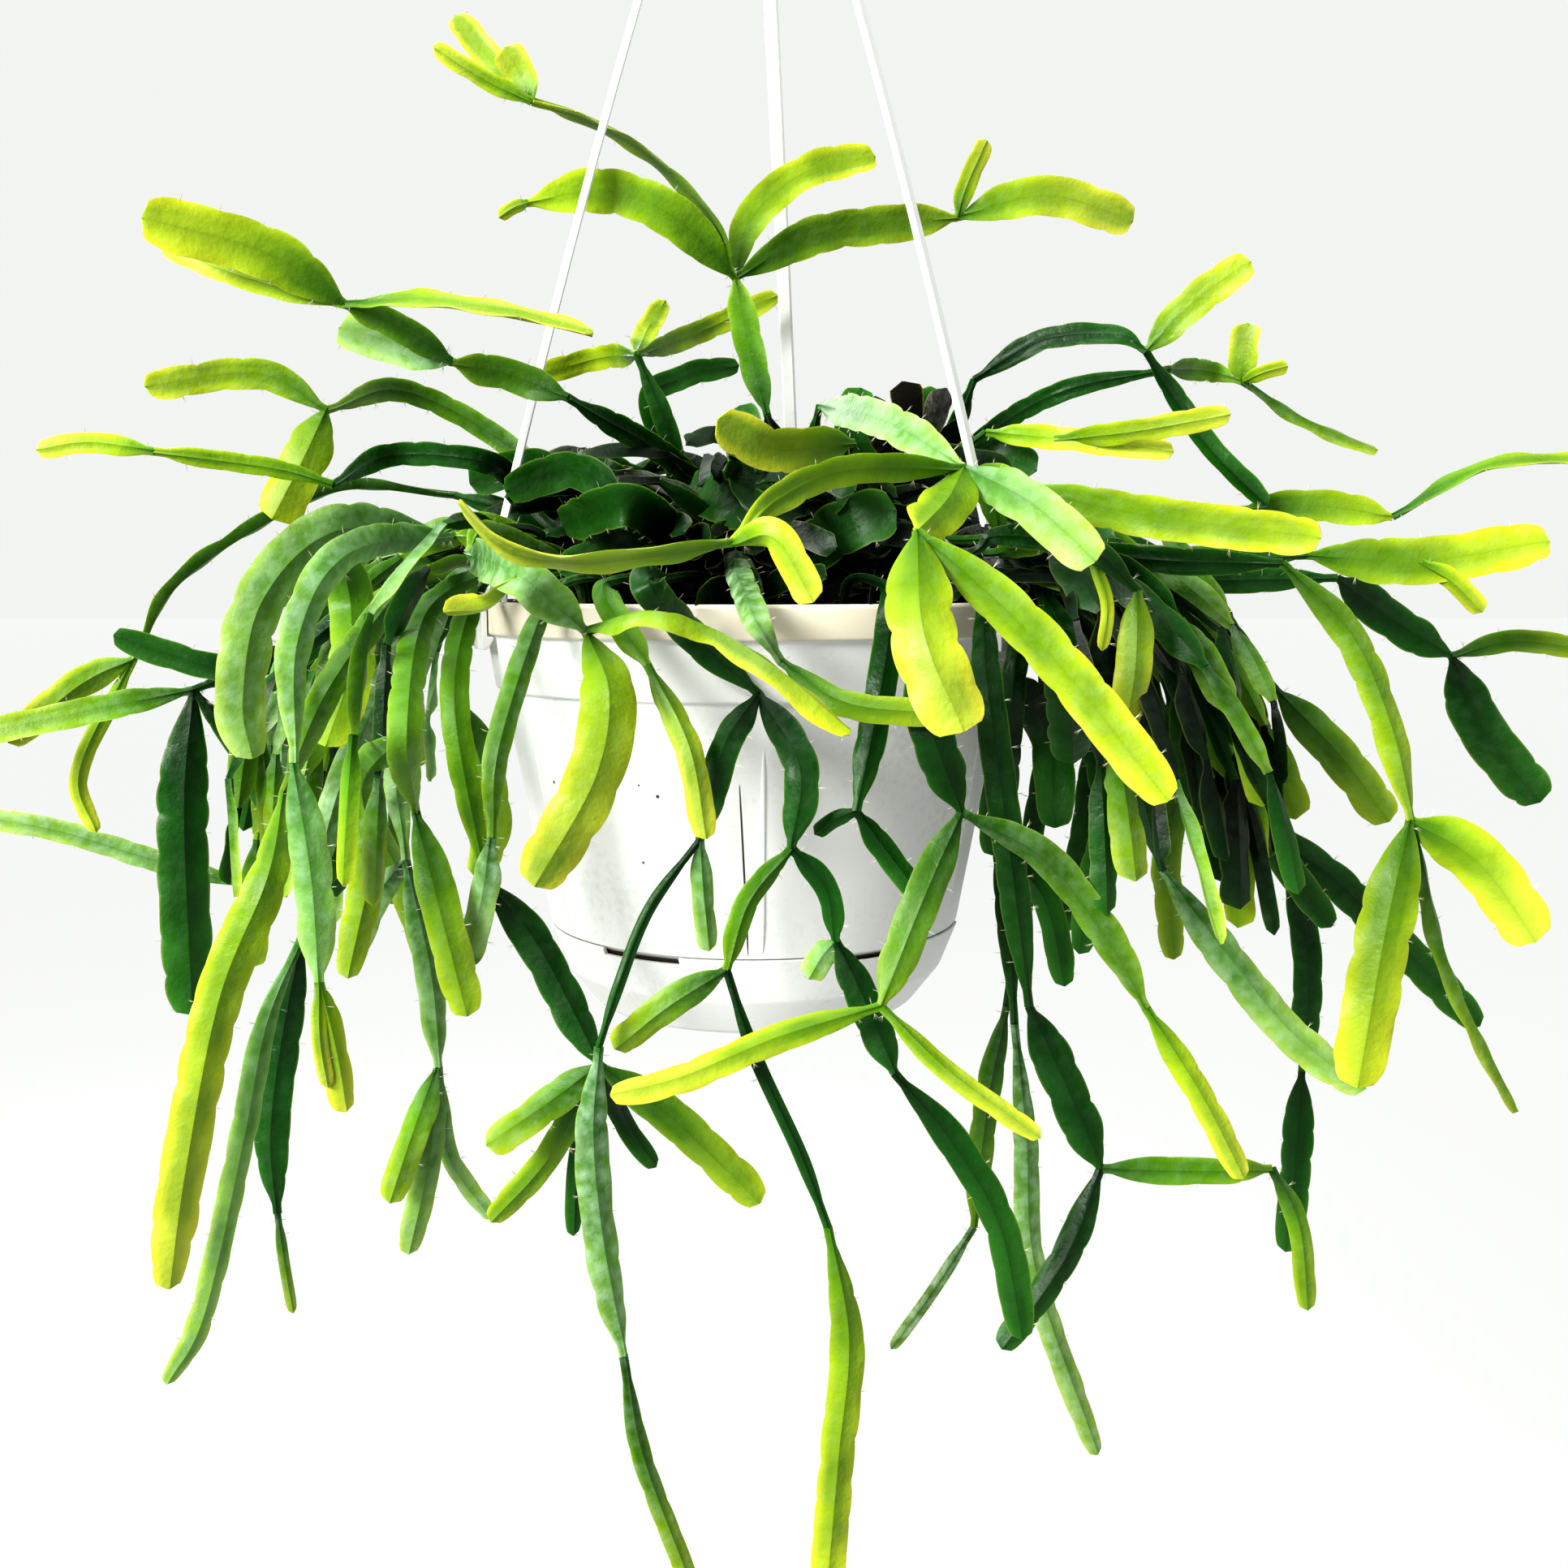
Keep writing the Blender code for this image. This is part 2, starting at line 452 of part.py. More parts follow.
    ("crown_back", (154, 50), None, (
        (10, 0, DARK, (1090, 610, 26)),
        (14, 10, DARK, (1090, 610), (1116, 545, 22), (1160, 482, 20)),
        (14, -12, DARK, (1090, 610), (1050, 545, 30), (1060, 478, 34)),
    )),
)


# Stems that the front view hides or shows as one dark mass grow by a rule: a name, the root (azimuth,
# radius in mm), how high over the rim they leave (azimuth, mm) or None, the least and most length of a
# joint in mm, each joint's climb in degrees, how many side joints it ends in, and a tone.
GROWN = (
    ("crown_left", (-78, 33), None, (28, 40), (72, 26, -10), (1, 1, 0), DARK),
    ("crown_right", (96, 34), None, (30, 42), (74, 30, -14), (1, 1, 0), DARK),
    ("stem_side_left", (-106, 80), (-106, 8), (50, 70), (0, -42, -74, -86), (0, 1, 1, 0), GREEN),
    ("stem_back_1", (130, 80), (128, 8), (48, 70), (4, -40, -72, -84), (0, 1, 1, 0), GREEN),
    ("stem_back_2", (152, 78), (150, 12), (48, 70), (10, -30, -64, -82), (0, 1, 0, 0), DARK),
    ("stem_back_3", (182, 80), (182, 8), (48, 66), (0, -46, -76, -86), (0, 1, 1, 0), GREEN),
    ("stem_back_4", (-158, 78), (-159, 10), (48, 70), (8, -34, -70, -84), (0, 1, 0, 0), DARK),
    ("stem_back_5", (-137, 80), (-136, 8), (48, 70), (2, -40, -74, -86), (0, 1, 1, 0), GREEN),
    ("stem_back_6", (116, 80), (117, 10), (48, 70), (4, -44, -76, -86), (0, 0, 1, 0), DARK),
)
GROWN_WIDTH = (10, 15)
GROWN_TURN = 24
GROWN_VEER = 14
GROWN_SIDE_VEER = (26, 50)
GROWN_SIDE_CLIMB = (-24, 10)
GROWN_ARCH = 0.07
GROWN_SEED = 7


def seen(across, down, behind):
    """The place at this picture point and this many millimetres behind the pot's axis."""
    forward = Vector((
        math.sin(EYE_YAW) * math.cos(EYE_PITCH),
        math.cos(EYE_YAW) * math.cos(EYE_PITCH),
        -math.sin(EYE_PITCH),
    ))
    right = Vector((math.cos(EYE_YAW), -math.sin(EYE_YAW), 0))
    up = right.cross(forward)
    sight = (
        forward
        + right * ((across - PICTURE_MIDDLE) / PICTURE_FOCAL)
        + up * ((PICTURE_MIDDLE - down) / PICTURE_FOCAL)
    )
    return EYE + sight * ((behind * MM - EYE.y) / sight.y)


def around(azimuth, radius, height):
    """A place round the pot's axis: azimuth in degrees from the front towards +X, the rest in metres."""
    turn = math.radians(azimuth)
    return Vector((radius * math.sin(turn), -radius * math.cos(turn), height))


class Stem:
    """One rooted stem: its control points, and its flat joints as runs of those points."""

    def __init__(self, name, root, leave):
        self.name = name
        self.points = []
        self.fixed = []
        self.blades = []
        self.keys = {}
        azimuth, radius = root
        radius *= MM
        soil = RIM_Z - SOIL_DEPTH
        lift = (leave[1] if leave else PLAIN_LIFT) * MM
        self.add("peg", around(azimuth, radius, soil - PEG_DEPTH), True)
        self.add("soil", around(azimuth, radius, soil), True)
        self.start = ["soil", "neck"]
        self.add("neck", around(azimuth, radius, RIM_Z + LIFT_SHARE * lift), True)
        if leave:
            self.add("rim", around(leave[0], RIM_RADIUS + LEAVE_CLEAR, RIM_Z + lift), True)
            self.start.append("rim")

    def add(self, key, place, fixed=False):
        self.keys[key] = len(self.points)
        self.points.append(place)
        self.fixed.append(fixed)

    def blade(self, width, turn, tone, keys):
        self.blades.append((width, turn, tone, [self.keys[key] for key in keys]))


def traced_stem(row):
    name, root, leave, joints = row
    stem = Stem(name, root, leave)
    for number, (width, turn, tone, *route) in enumerate(joints):
        keys = list(stem.start) if number == 0 else []
        for spot in route:
            if len(spot) == 3:
                stem.add(spot[:2], seen(*spot))
            keys.append(spot[:2])
        stem.blade(width, turn, tone, keys)
    return stem


def grown_stem(row):
    """A stem whose joints droop more and more, with side joints that fan out from each joint's end."""
    name, root, leave, lengths, climbs, sides, tone = row
    draw = random.Random(f"{GROWN_SEED} {name}")
    stem = Stem(name, root, leave)
    azimuth = leave[0] if leave else root[0]
    last = stem.start[-1]
    base = list(stem.start)
    for number, (climb, side) in enumerate(zip(climbs, sides)):
        heading = azimuth + draw.uniform(-GROWN_VEER, GROWN_VEER)
        shoots = [(number, heading, climb)]
        for extra in range(side):
            veer = draw.uniform(*GROWN_SIDE_VEER) * (-1) ** (extra + number)
            rise = climb + draw.uniform(*GROWN_SIDE_CLIMB)
            shoots.append((f"{number}.{extra}", heading + veer, rise))
        begin = stem.points[stem.keys[last]]
        for key, way, rise in shoots:
            length = draw.uniform(*lengths) * MM
            ahead = around(way, math.cos(math.radians(rise)), math.sin(math.radians(rise)))
            middle = begin + ahead * length / 2 + Vector((0, 0, length * GROWN_ARCH))
            stem.add((key, "middle"), middle)
            stem.add((key, "end"), begin + ahead * length)
            run = base if base else [last]
            stem.blade(
                draw.uniform(*GROWN_WIDTH), draw.uniform(-GROWN_TURN, GROWN_TURN), tone,
                [*run, (key, "middle"), (key, "end")],
            )
            base = []
        last = (number, "end")
        azimuth = heading
    return stem


def spline_steps(places, spacing):
    """Where the stations of a run of points lie: its whole-number parts are the points themselves."""
    steps = []
    for number in range(len(places) - 1):
        length = (places[number + 1] - places[number]).length / MM
        count = max(1, round(length / spacing))
        steps += [number + part / count for part in range(count)]
    return steps + [len(places) - 1.0]


def spline_weights(count, step):
    """Catmull-Rom weights of each of a run's points at this step along it."""
    number = min(int(step), count - 2)
    t = step - number
    basis = (
        (-t + 2 * t**2 - t**3) / 2,
        (2 - 5 * t**2 + 3 * t**3) / 2,
        (t + 4 * t**2 - 3 * t**3) / 2,
        (-(t**2) + t**3) / 2,
    )
    weights = [0.0] * count
    for offset, share in zip((-1, 0, 1, 2), basis):
        at = number + offset
        if at < 0:
            weights[0] += 2 * share
            weights[1] -= share
        elif at >= count:
            weights[-1] += 2 * share
            weights[-2] -= share
        else:
            weights[at] += share
    return weights


def breadth(share, tip):
    """Half width at this share of a flat joint's length, as a part of its widest."""
    rise = math.sin(math.pi / 2 * min(1.0, share / SHOULDER_SHARE)) ** SHOULDER_POWER
    if tip:
        ease = min(1.0, (1 - share) / ROUND_SHARE)
        fall = TIP_SHARE + (1 - TIP_SHARE) * math.sqrt(1 - (1 - ease) ** 2)
    else:
        fall = math.sin(math.pi / 2 * min(1.0, (1 - share) / NECK_SHARE)) ** SHOULDER_POWER
    return rise * fall


def pot_reach(height):
    """The pot's or saucer's outer radius at this height, and nothing above or under them."""
    depth = RIM_Z - height
    if depth < -CLEAR_OVER or depth > SAUCER_BASE_DEPTH + CLEAR_OVER:
        return 0.0
    if depth < RIM_BAND + BAND_FOOT:
        return RIM_RADIUS + BAND_CLEAR
    if depth < COLLAR_DEPTH:
        return COLLAR_RADIUS
    if depth < SEAM_DEPTH:
        share = (depth - COLLAR_DEPTH) / (SEAM_DEPTH - COLLAR_DEPTH)
        return BODY_TOP_RADIUS + (BODY_FOOT_RADIUS - BODY_TOP_RADIUS) * share
    share = min(1.0, (depth - SEAM_DEPTH) / (SAUCER_BASE_DEPTH - SEAM_DEPTH))
    return SAUCER_RADIUS + (SAUCER_FOOT_RADIUS - SAUCER_RADIUS) * share


def leg_line(azimuth, count):
    """Points down the middle of a hanger leg, from the hub to its foot, bowed a little outwards."""
    places = []
    for number in range(count + 1):
        share = number / count
        top, foot = HUB_CORE + LEG_THICK / 2 + CLEARANCE, RIM_RADIUS - LEG_FOOT_INSET
        radius = top + (foot - top) * share + LEG_BOW * math.sin(math.pi * share)
        height = HUB_Z + (RIM_Z + LEG_FOOT_RISE - HUB_Z) * share
        places.append(around(azimuth, radius, height))
    return places


def settle(stems):
    """Moves the stems' points along the line of sight until nothing crosses, so the view stays the same."""
    rows, owners, blades, halves, turns = [], [], [], [], []
    first = 0
    for number, stem in enumerate(stems):
        for width, turn, _, run in stem.blades:
            places = [stem.points[at] for at in run]
            steps = spline_steps(places, SETTLE_SPACING)
            for step in steps:
                row = [(first + at, share) for at, share in zip(run, spline_weights(len(run), step))]
                rows.append(row)
                owners.append(number)
                blades.append(len(turns))
                halves.append(max(JOINT_HALF, width / 2 * breadth(step / (len(run) - 1), True)))
            turns.append(math.radians(turn))
        first += len(stem.points)
    weights = np.zeros((len(rows), first))
    for at, row in enumerate(rows):
        for column, share in row:
            weights[at, column] += share
    owners, blades = np.array(owners), np.array(blades)
    halves, turn = np.array(halves), np.array(turns)[blades]
    points = np.array([place for stem in stems for place in stem.points]) / MM
    loose = ~np.array([held for stem in stems for held in stem.fixed])
    eye = np.array(EYE) / MM
    rays = (points - eye) / (points[:, 1:2] - eye[1])

    legs = [place for azimuth in LEG_AZIMUTHS.values() for place in leg_line(azimuth, LEG_SPOTS)]
    legs = np.array(legs) / MM
    leg_half = np.where(legs[:, 2] < (RIM_Z + FOOT_SHOULDER[1]) / MM, FOOT_HALF, LEG_HALF)

    spots = np.vstack((weights @ points, legs))
    owners = np.concatenate((owners, np.full(len(legs), -1)))
    blades = np.concatenate((blades, len(turns) + np.repeat(range(len(LEG_AZIMUTHS)), LEG_SPOTS + 1)))
    away = spots[:, 1] - eye[1]
    picture = (spots[:, [0, 2]] - eye[[0, 2]]) / away[:, None]
    radius = np.concatenate((halves * np.abs(np.cos(turn)) + BESIDE_MARGIN, leg_half)) / away
    deep = np.concatenate((halves * np.abs(np.sin(turn)) + DEPTH_MARGIN, np.full(len(legs), LEG_DEEP)))

    firsts, seconds = [], []
    for at in range(len(spots)):
        apart = np.hypot(*(picture[at + 1:] - picture[at]).T)
        near = np.nonzero((apart < radius[at] + radius[at + 1:]) & (owners[at + 1:] != owners[at]))[0]
        firsts += [at] * len(near)
        seconds += list(near + at + 1)
    firsts, seconds = np.array(firsts), np.array(seconds)
    pair = blades[firsts] * (blades.max() + 1) + blades[seconds]
    kinds, kind = np.unique(pair, return_inverse=True)
    lean = np.bincount(kind, spots[firsts, 1] - spots[seconds, 1])
    order = np.where(lean >= 0, 1.0, -1.0)[kind]
    need = deep[firsts] + deep[seconds] + SETTLE_GAP

    moved = np.zeros(len(points))
    count = len(rows)
    for _ in range(SETTLE_ROUNDS):
        depth = spots[:, 1]
        lack = np.maximum(0, need - order * (depth[firsts] - depth[seconds]))
        back, fore = np.zeros(len(spots)), np.zeros(len(spots))
        np.maximum.at(back, firsts, np.where(order > 0, lack, 0))
        np.maximum.at(fore, firsts, np.where(order < 0, lack, 0))
        np.maximum.at(fore, seconds, np.where(order > 0, lack, 0))
        np.maximum.at(back, seconds, np.where(order < 0, lack, 0))
        shift = (back - fore)[:count] / 2
        from_axis = np.hypot(spots[:count, 0], spots[:count, 1])
        reach = np.array([pot_reach(height * MM) for height in spots[:count, 2]]) / MM
        inside = np.maximum(0, reach + deep[:count] + POT_MARGIN - from_axis) * (reach > 0)
        side = np.where(spots[:count, 1] > BACK_SIDE, 1.0, -1.0)
        shift = np.where(inside > 0, side * inside, shift)
        pulled = weights.T @ shift
        active = np.abs(weights).T @ (shift != 0) + 1e-6
        moved = np.clip(moved + SETTLE_STEP * loose * pulled / active, -SETTLE_REACH, SETTLE_REACH)
        spots[:count] = weights @ (points + rays * moved[:, None])
    points = (points + rays * moved[:, None]) * MM
    first = 0
    for stem in stems:
        stem.points = [Vector(place) for place in points[first:first + len(stem.points)]]
        first += len(stem.points)


def sections(stem, number, tip):
    """The stations of one flat joint: place, direction, across, facing, left and right halves, thickness."""
    width, turn, _, run = stem.blades[number]
    places = [stem.points[at] for at in run]
    rooted = run[0] == stem.keys["soil"]
    spacing = THIN_STATION if width < THIN_WIDTH else ROOTED_STATION if rooted else STATION
    steps = spline_steps(places, spacing)
    middles = []
    for step in steps:
        shares = spline_weights(len(run), step)
        middles.append(sum((place * share for place, share in zip(places, shares)), Vector()))
    found = []
    start = steps.index(float(len(stem.start) - 1)) if rooted else 0
    for at, middle in enumerate(middles):
        along = (middles[min(at + 1, len(middles) - 1)] - middles[max(at - 1, 0)]).normalized()
        facing = EYE - middle
        if middle.y > BACK_FACE:
            facing = Vector((middle.x, middle.y, middle.y))
        facing = (facing - along * facing.dot(along)).normalized()
        across = along.cross(facing)
        angle = math.radians(turn)
        across, facing = (
            across * math.cos(angle) + facing * math.sin(angle),
            facing * math.cos(angle) - across * math.sin(angle),
        )
        share = max(0, at - start) / (len(middles) - 1 - start)
        wide = width / 2 * breadth(share, tip)
        body = 1.0 if CRENATION_START < share < 1 - 0.5 * CRENATION_START else 0.0
        wave = CRENATION * body * (1 if at % 2 else -1) * (width >= THIN_WIDTH)
        thin = TIP_THICK if tip and at == len(middles) - 1 else BLADE_THICK
        thick = thin if wide > JOINT_HALF else max(thin, JOINT_THICK * (share < 0.5 or not tip))
        if rooted and at <= start:
            thick = JOINT_THICK
        least = JOINT_HALF if not tip or share < 0.5 else TIP_HALF
        left = max(least, wide * (1 + wave))
        right = max(least, wide * (1 - wave))
        fold = BLADE_FOLD * (wide > JOINT_HALF) * wide
        found.append((middle, along, across, facing, left * MM, right * MM, thick * MM, fold * MM))
    return found


def loft(name, stations):
    """A closed body through the stations, four-sided, both faces split into triangles alike."""
    form = bmesh.new()
    rings = []
    for middle, _, across, facing, left, right, thick, fold in stations:
        rings.append([
            form.verts.new(middle - across * left + facing * fold),
            form.verts.new(middle + facing * thick),
            form.verts.new(middle + across * right + facing * fold),
            form.verts.new(middle - facing * thick),
        ])
    for near, far in zip(rings, rings[1:]):
        for edge in (0, 2):
            for ridge in (1, 3):
                form.faces.new((near[edge], near[ridge], far[ridge]))
                form.faces.new((near[edge], far[ridge], far[edge]))
    for ring in (rings[0], rings[-1]):
        form.faces.new((ring[0], ring[1], ring[3]))
        form.faces.new((ring[1], ring[2], ring[3]))
    bmesh.ops.recalc_face_normals(form, faces=form.faces)
    return mesh_object(name, form)


def chains_of(stem):
    """Runs of joints that continue one another, so that each run is one loft."""
    starts = {}
    for number, (_, _, _, run) in enumerate(stem.blades):
        starts.setdefault(run[0], []).append(number)
    taken, chains = set(), []
    for number in range(len(stem.blades)):
        if number in taken:
            continue
        chain = [number]
        taken.add(number)
        while True:
            follow = [n for n in starts.get(stem.blades[chain[-1]][3][-1], []) if n not in taken]
            if not follow:
                break
            chain.append(follow[0])
            taken.add(follow[0])
        chains.append(chain)
    return chains


def chain_sections(stem, chain):
    """The stations of joints end to end, narrow where two meet, with the peg first on a rooted chain."""
    stations = []
    for place, number in enumerate(chain):
        run = stem.blades[number][3]
        ends_here = all(other[3][0] != run[-1] for other in stem.blades)
        found = sections(stem, number, ends_here)
        if stations:
            _, along, across, facing, *_ = stations[-1]
            middle, ahead, *_ = found[0]
            along = (along + ahead).normalized()
            across = (across - along * across.dot(along)).normalized()
            facing = across.cross(along)
            stations[-1] = (
                middle, along, across, facing,
                JOINT_HALF * MM, JOINT_HALF * MM, JOINT_THICK * MM, 0.0,
            )
            found = found[1:]
        stations += found
    if stem.blades[chain[0]][3][0] == stem.keys["soil"]:
        across = stations[0][2]
        peg = stem.points[stem.keys["peg"]]
        upright = Vector((0, 0, 1))
        across = (across - upright * across.dot(upright)).normalized()
        ring = (upright, across, across.cross(upright), PEG_HALF, PEG_HALF, JOINT_THICK * MM, 0.0)
        stations[0] = (stations[0][0], *ring)
        stations.insert(0, (peg, *ring))
    return stations


def clear_scene():
    for old in list(bpy.data.objects):
        bpy.data.objects.remove(old, do_unlink=True)


def make_collection(name):
    made = bpy.data.collections.new(name)
    bpy.context.scene.collection.children.link(made)
    return made


def material(name, colour, rough, metal=0.0):
    made = bpy.data.materials.new(name)
    made.use_nodes = True
    shader = made.node_tree.nodes["Principled BSDF"]
    shader.inputs["Base Color"].default_value = (*colour, 1)
    shader.inputs["Roughness"].default_value = rough
    shader.inputs["Metallic"].default_value = metal
    return made


def boolean(target, operation, other, label, solver="EXACT"):
    """Cuts or joins an object or a collection; it stays live on the target."""
    modifier = target.modifiers.new(label, "BOOLEAN")
    modifier.operation = operation
    modifier.solver = solver
    if isinstance(other, bpy.types.Collection):
        modifier.operand_type = "COLLECTION"
        modifier.collection = other
    else:
        modifier.object = other
    return modifier


def applied(target):
    """The object with its modifiers made part of its mesh."""
    graph = bpy.context.evaluated_depsgraph_get()
    mesh = bpy.data.meshes.new_from_object(target.evaluated_get(graph))
    target.modifiers.clear()
    target.data = mesh
    return target


def fused(name, pieces, solver="EXACT"):
    """One body out of overlapping pieces, by one Boolean union on a collection."""
    main, others = pieces[0], pieces[1:]
    main.name = name
    bpy.context.scene.collection.objects.link(main)
    if others:
        group = make_collection(name + "_joined")
        for other in others:
            group.objects.link(other)
        boolean(main, "UNION", group, "join", solver)
        applied(main)
        for other in others:
            bpy.data.objects.remove(other, do_unlink=True)
        bpy.data.collections.remove(group)
    bpy.context.scene.collection.objects.unlink(main)
    main.data.name = name
    return main


def turned(name, profile, steps=TURN_STEPS):
    """A solid of revolution round Z from (radius, depth below the rim) points, inner side first."""
    mesh = bpy.data.meshes.new(name)
    points = [(radius, 0, RIM_Z - depth) for radius, depth in profile]
    mesh.from_pydata(points, [(at, at + 1) for at in range(len(points) - 1)], [])
    made = bpy.data.objects.new(name, mesh)
    screw = made.modifiers.new("turn", "SCREW")
    screw.steps = screw.render_steps = steps
    screw.use_merge_vertices = True
    screw.merge_threshold = TURN_WELD
    screw.use_smooth_shade = True
    return made


def mesh_object(name, form):
    mesh = bpy.data.meshes.new(name)
    form.to_mesh(mesh)
    form.free()
    return bpy.data.objects.new(name, mesh)


def block(name, size, place, azimuth, tilt=0.0):
    """A box of the given sizes: outward, sideways and up, turned to this azimuth."""
    form = bmesh.new()
    bmesh.ops.create_cube(form, size=1)
    bmesh.ops.scale(form, vec=size, verts=form.verts)
    made = mesh_object(name, form)
    made.rotation_euler = (0, tilt, math.radians(azimuth - 90))
    made.location = place
    return made


def rod(name, radius, low, high, centre, sides):
    """An upright cylinder between two heights."""
    form = bmesh.new()
    bmesh.ops.create_cone(
        form, cap_ends=True, segments=sides, radius1=radius, radius2=radius, depth=high - low
    )
    made = mesh_object(name, form)
    made.location = (centre.x, centre.y, (low + high) / 2)
    return made


def as_cutter(made, cutters):
    made.hide_render = True
    made.display_type = "WIRE"
    cutters.objects.link(made)


def make_pot(home, cutters):
    inner_top = RIM_RADIUS - RIM_WALL
    slope = (BODY_TOP_RADIUS - BODY_FOOT_RADIUS) / (SEAM_DEPTH - COLLAR_DEPTH)
    profile = (
        (0, BASE_DEPTH - POT_WALL),
        (BASE_RADIUS - BASE_CORNER, BASE_DEPTH - POT_WALL),
        (PLUG_RADIUS - POT_WALL, SEAM_DEPTH),
        (BODY_FOOT_RADIUS - POT_WALL, SEAM_DEPTH - SEAM_SHOULDER),
        (BODY_TOP_RADIUS - POT_WALL, COLLAR_DEPTH + COLLAR_STEP),
        (COLLAR_FOOT_RADIUS - POT_WALL, COLLAR_DEPTH - COLLAR_STEP),
        (inner_top - RIM_DRAFT, RIM_BAND),
        (inner_top + RIM_MOUTH, 0),
        (RIM_RADIUS - RIM_EDGE, 0),
        (RIM_RADIUS, RIM_EDGE),
        (RIM_RADIUS, RIM_BAND),
        (COLLAR_RADIUS, RIM_BAND + BAND_UNDERCUT),
        (COLLAR_FOOT_RADIUS, COLLAR_DEPTH),
        (BODY_TOP_RADIUS, COLLAR_DEPTH + COLLAR_STEP),
        (BODY_FOOT_RADIUS, SEAM_DEPTH - CLEARANCE),
        (PLUG_RADIUS, SEAM_DEPTH - CLEARANCE),
        (BASE_RADIUS, BASE_DEPTH),
        (0, BASE_DEPTH),
    )
    pot = turned("pot", profile)
    home.objects.link(pot)
    ribs = bpy.data.collections.new("pot_ribs")
    cutters.children.link(ribs)
    middle_depth = (RIB_TOP_DEPTH + RIB_FOOT_DEPTH) / 2
    middle_radius = BODY_TOP_RADIUS - slope * (middle_depth - COLLAR_DEPTH)
    for number in range(RIB_COUNT):
        azimuth = RIB_AZIMUTH + number * 360 / RIB_COUNT
        rib = block(
            "pot_rib",
            (RIB_PROUD * 2, RIB_WIDTH, RIB_FOOT_DEPTH - RIB_TOP_DEPTH),
            around(azimuth, middle_radius, RIM_Z - middle_depth),
            azimuth,
            math.atan(slope),
        )
        rib.hide_render = True
        rib.display_type = "WIRE"
        ribs.objects.link(rib)
    boolean(pot, "UNION", ribs, "ribs")
    for number in range(DRAIN_COUNT):
        centre = around(number * 360 / DRAIN_COUNT, DRAIN_CIRCLE, 0)
        base = RIM_Z - BASE_DEPTH
        low, high = base - DRAIN_CUT, base + DRAIN_CUT
        hole = rod(f"drain_{number}", DRAIN_RADIUS, low, high, centre, DRAIN_SIDES)
        as_cutter(hole, cutters)
        boolean(pot, "DIFFERENCE", hole, f"drain_{number}")
    return pot


def make_saucer(home, cutters):
    top = SEAM_DEPTH
    profile = (
        (0, SAUCER_BASE_DEPTH - SAUCER_WALL),
        (SAUCER_FOOT_RADIUS - SAUCER_FLOOR_CORNER, SAUCER_BASE_DEPTH - SAUCER_WALL),
        (SAUCER_RADIUS - SAUCER_KNEE_INNER - SAUCER_WALL, top + SAUCER_KNEE_DEPTH),
        (SAUCER_RADIUS - SAUCER_WALL, top),
        (SAUCER_RADIUS, top),
        (SAUCER_RADIUS - SAUCER_KNEE_OUTER, top + SAUCER_KNEE_DEPTH),
        (SAUCER_FOOT_RADIUS + SAUCER_BEVEL_OUT, SAUCER_BASE_DEPTH - SAUCER_BEVEL_UP),
        (SAUCER_FOOT_RADIUS - SAUCER_BEVEL_OUT, SAUCER_BASE_DEPTH),
        (0, SAUCER_BASE_DEPTH),
    )
    saucer = turned("saucer", profile)
    home.objects.link(saucer)
    for number in range(RIB_COUNT):
        azimuth = SLOT_AZIMUTH + number * 360 / RIB_COUNT
        slot = block(
            f"overflow_slot_{number}",
            (SLOT_CUT, SLOT_WIDTH, SLOT_HEIGHT * 2),
            around(azimuth, SAUCER_RADIUS, RIM_Z - top),
            azimuth,
        )
        as_cutter(slot, cutters)
        boolean(saucer, "DIFFERENCE", slot, f"slot_{number}")
    return saucer


def make_soil(home, cutters, stems):
    """Potting soil that fills the pot, with one plain hole for each stem's foot."""
    gap = SOIL_GAP + POT_WALL
    low = BASE_DEPTH - POT_WALL - SOIL_GAP
    share = (SOIL_DEPTH - RIM_BAND) / (COLLAR_DEPTH - RIM_BAND)
    taper = (COLLAR_RADIUS - COLLAR_FOOT_RADIUS) * share
    top_radius = COLLAR_RADIUS - SOIL_TOP_INSET - taper - gap
    profile = (
        (0, SOIL_DEPTH),
        (top_radius, SOIL_DEPTH),
        (COLLAR_FOOT_RADIUS - gap, COLLAR_DEPTH - SOIL_STEP),
        (BODY_TOP_RADIUS - gap, COLLAR_DEPTH + SOIL_STEP),
        (BODY_FOOT_RADIUS - gap, SEAM_DEPTH - SOIL_SHOULDER),
        (PLUG_RADIUS - gap, SEAM_DEPTH - SOIL_SEAM_GAP),
        (BASE_RADIUS - SOIL_SHOULDER, low),
        (0, low),
    )
    soil = turned("soil", profile)
    home.objects.link(soil)
    holes = bpy.data.collections.new("stem_holes")
    cutters.children.link(holes)
    surface = RIM_Z - SOIL_DEPTH
    bottom, mouth = surface - PEG_DEPTH - CLEARANCE, surface + HOLE_RISE
    for stem in stems:
        foot = stem.points[stem.keys["peg"]]
        hole = rod("hole_" + stem.name, HOLE_RADIUS, bottom, mouth, foot, HOLE_SIDES)
        hole.hide_render = True
        hole.display_type = "WIRE"
        holes.objects.link(hole)
    boolean(soil, "DIFFERENCE", holes, "stem_holes")
    return soil


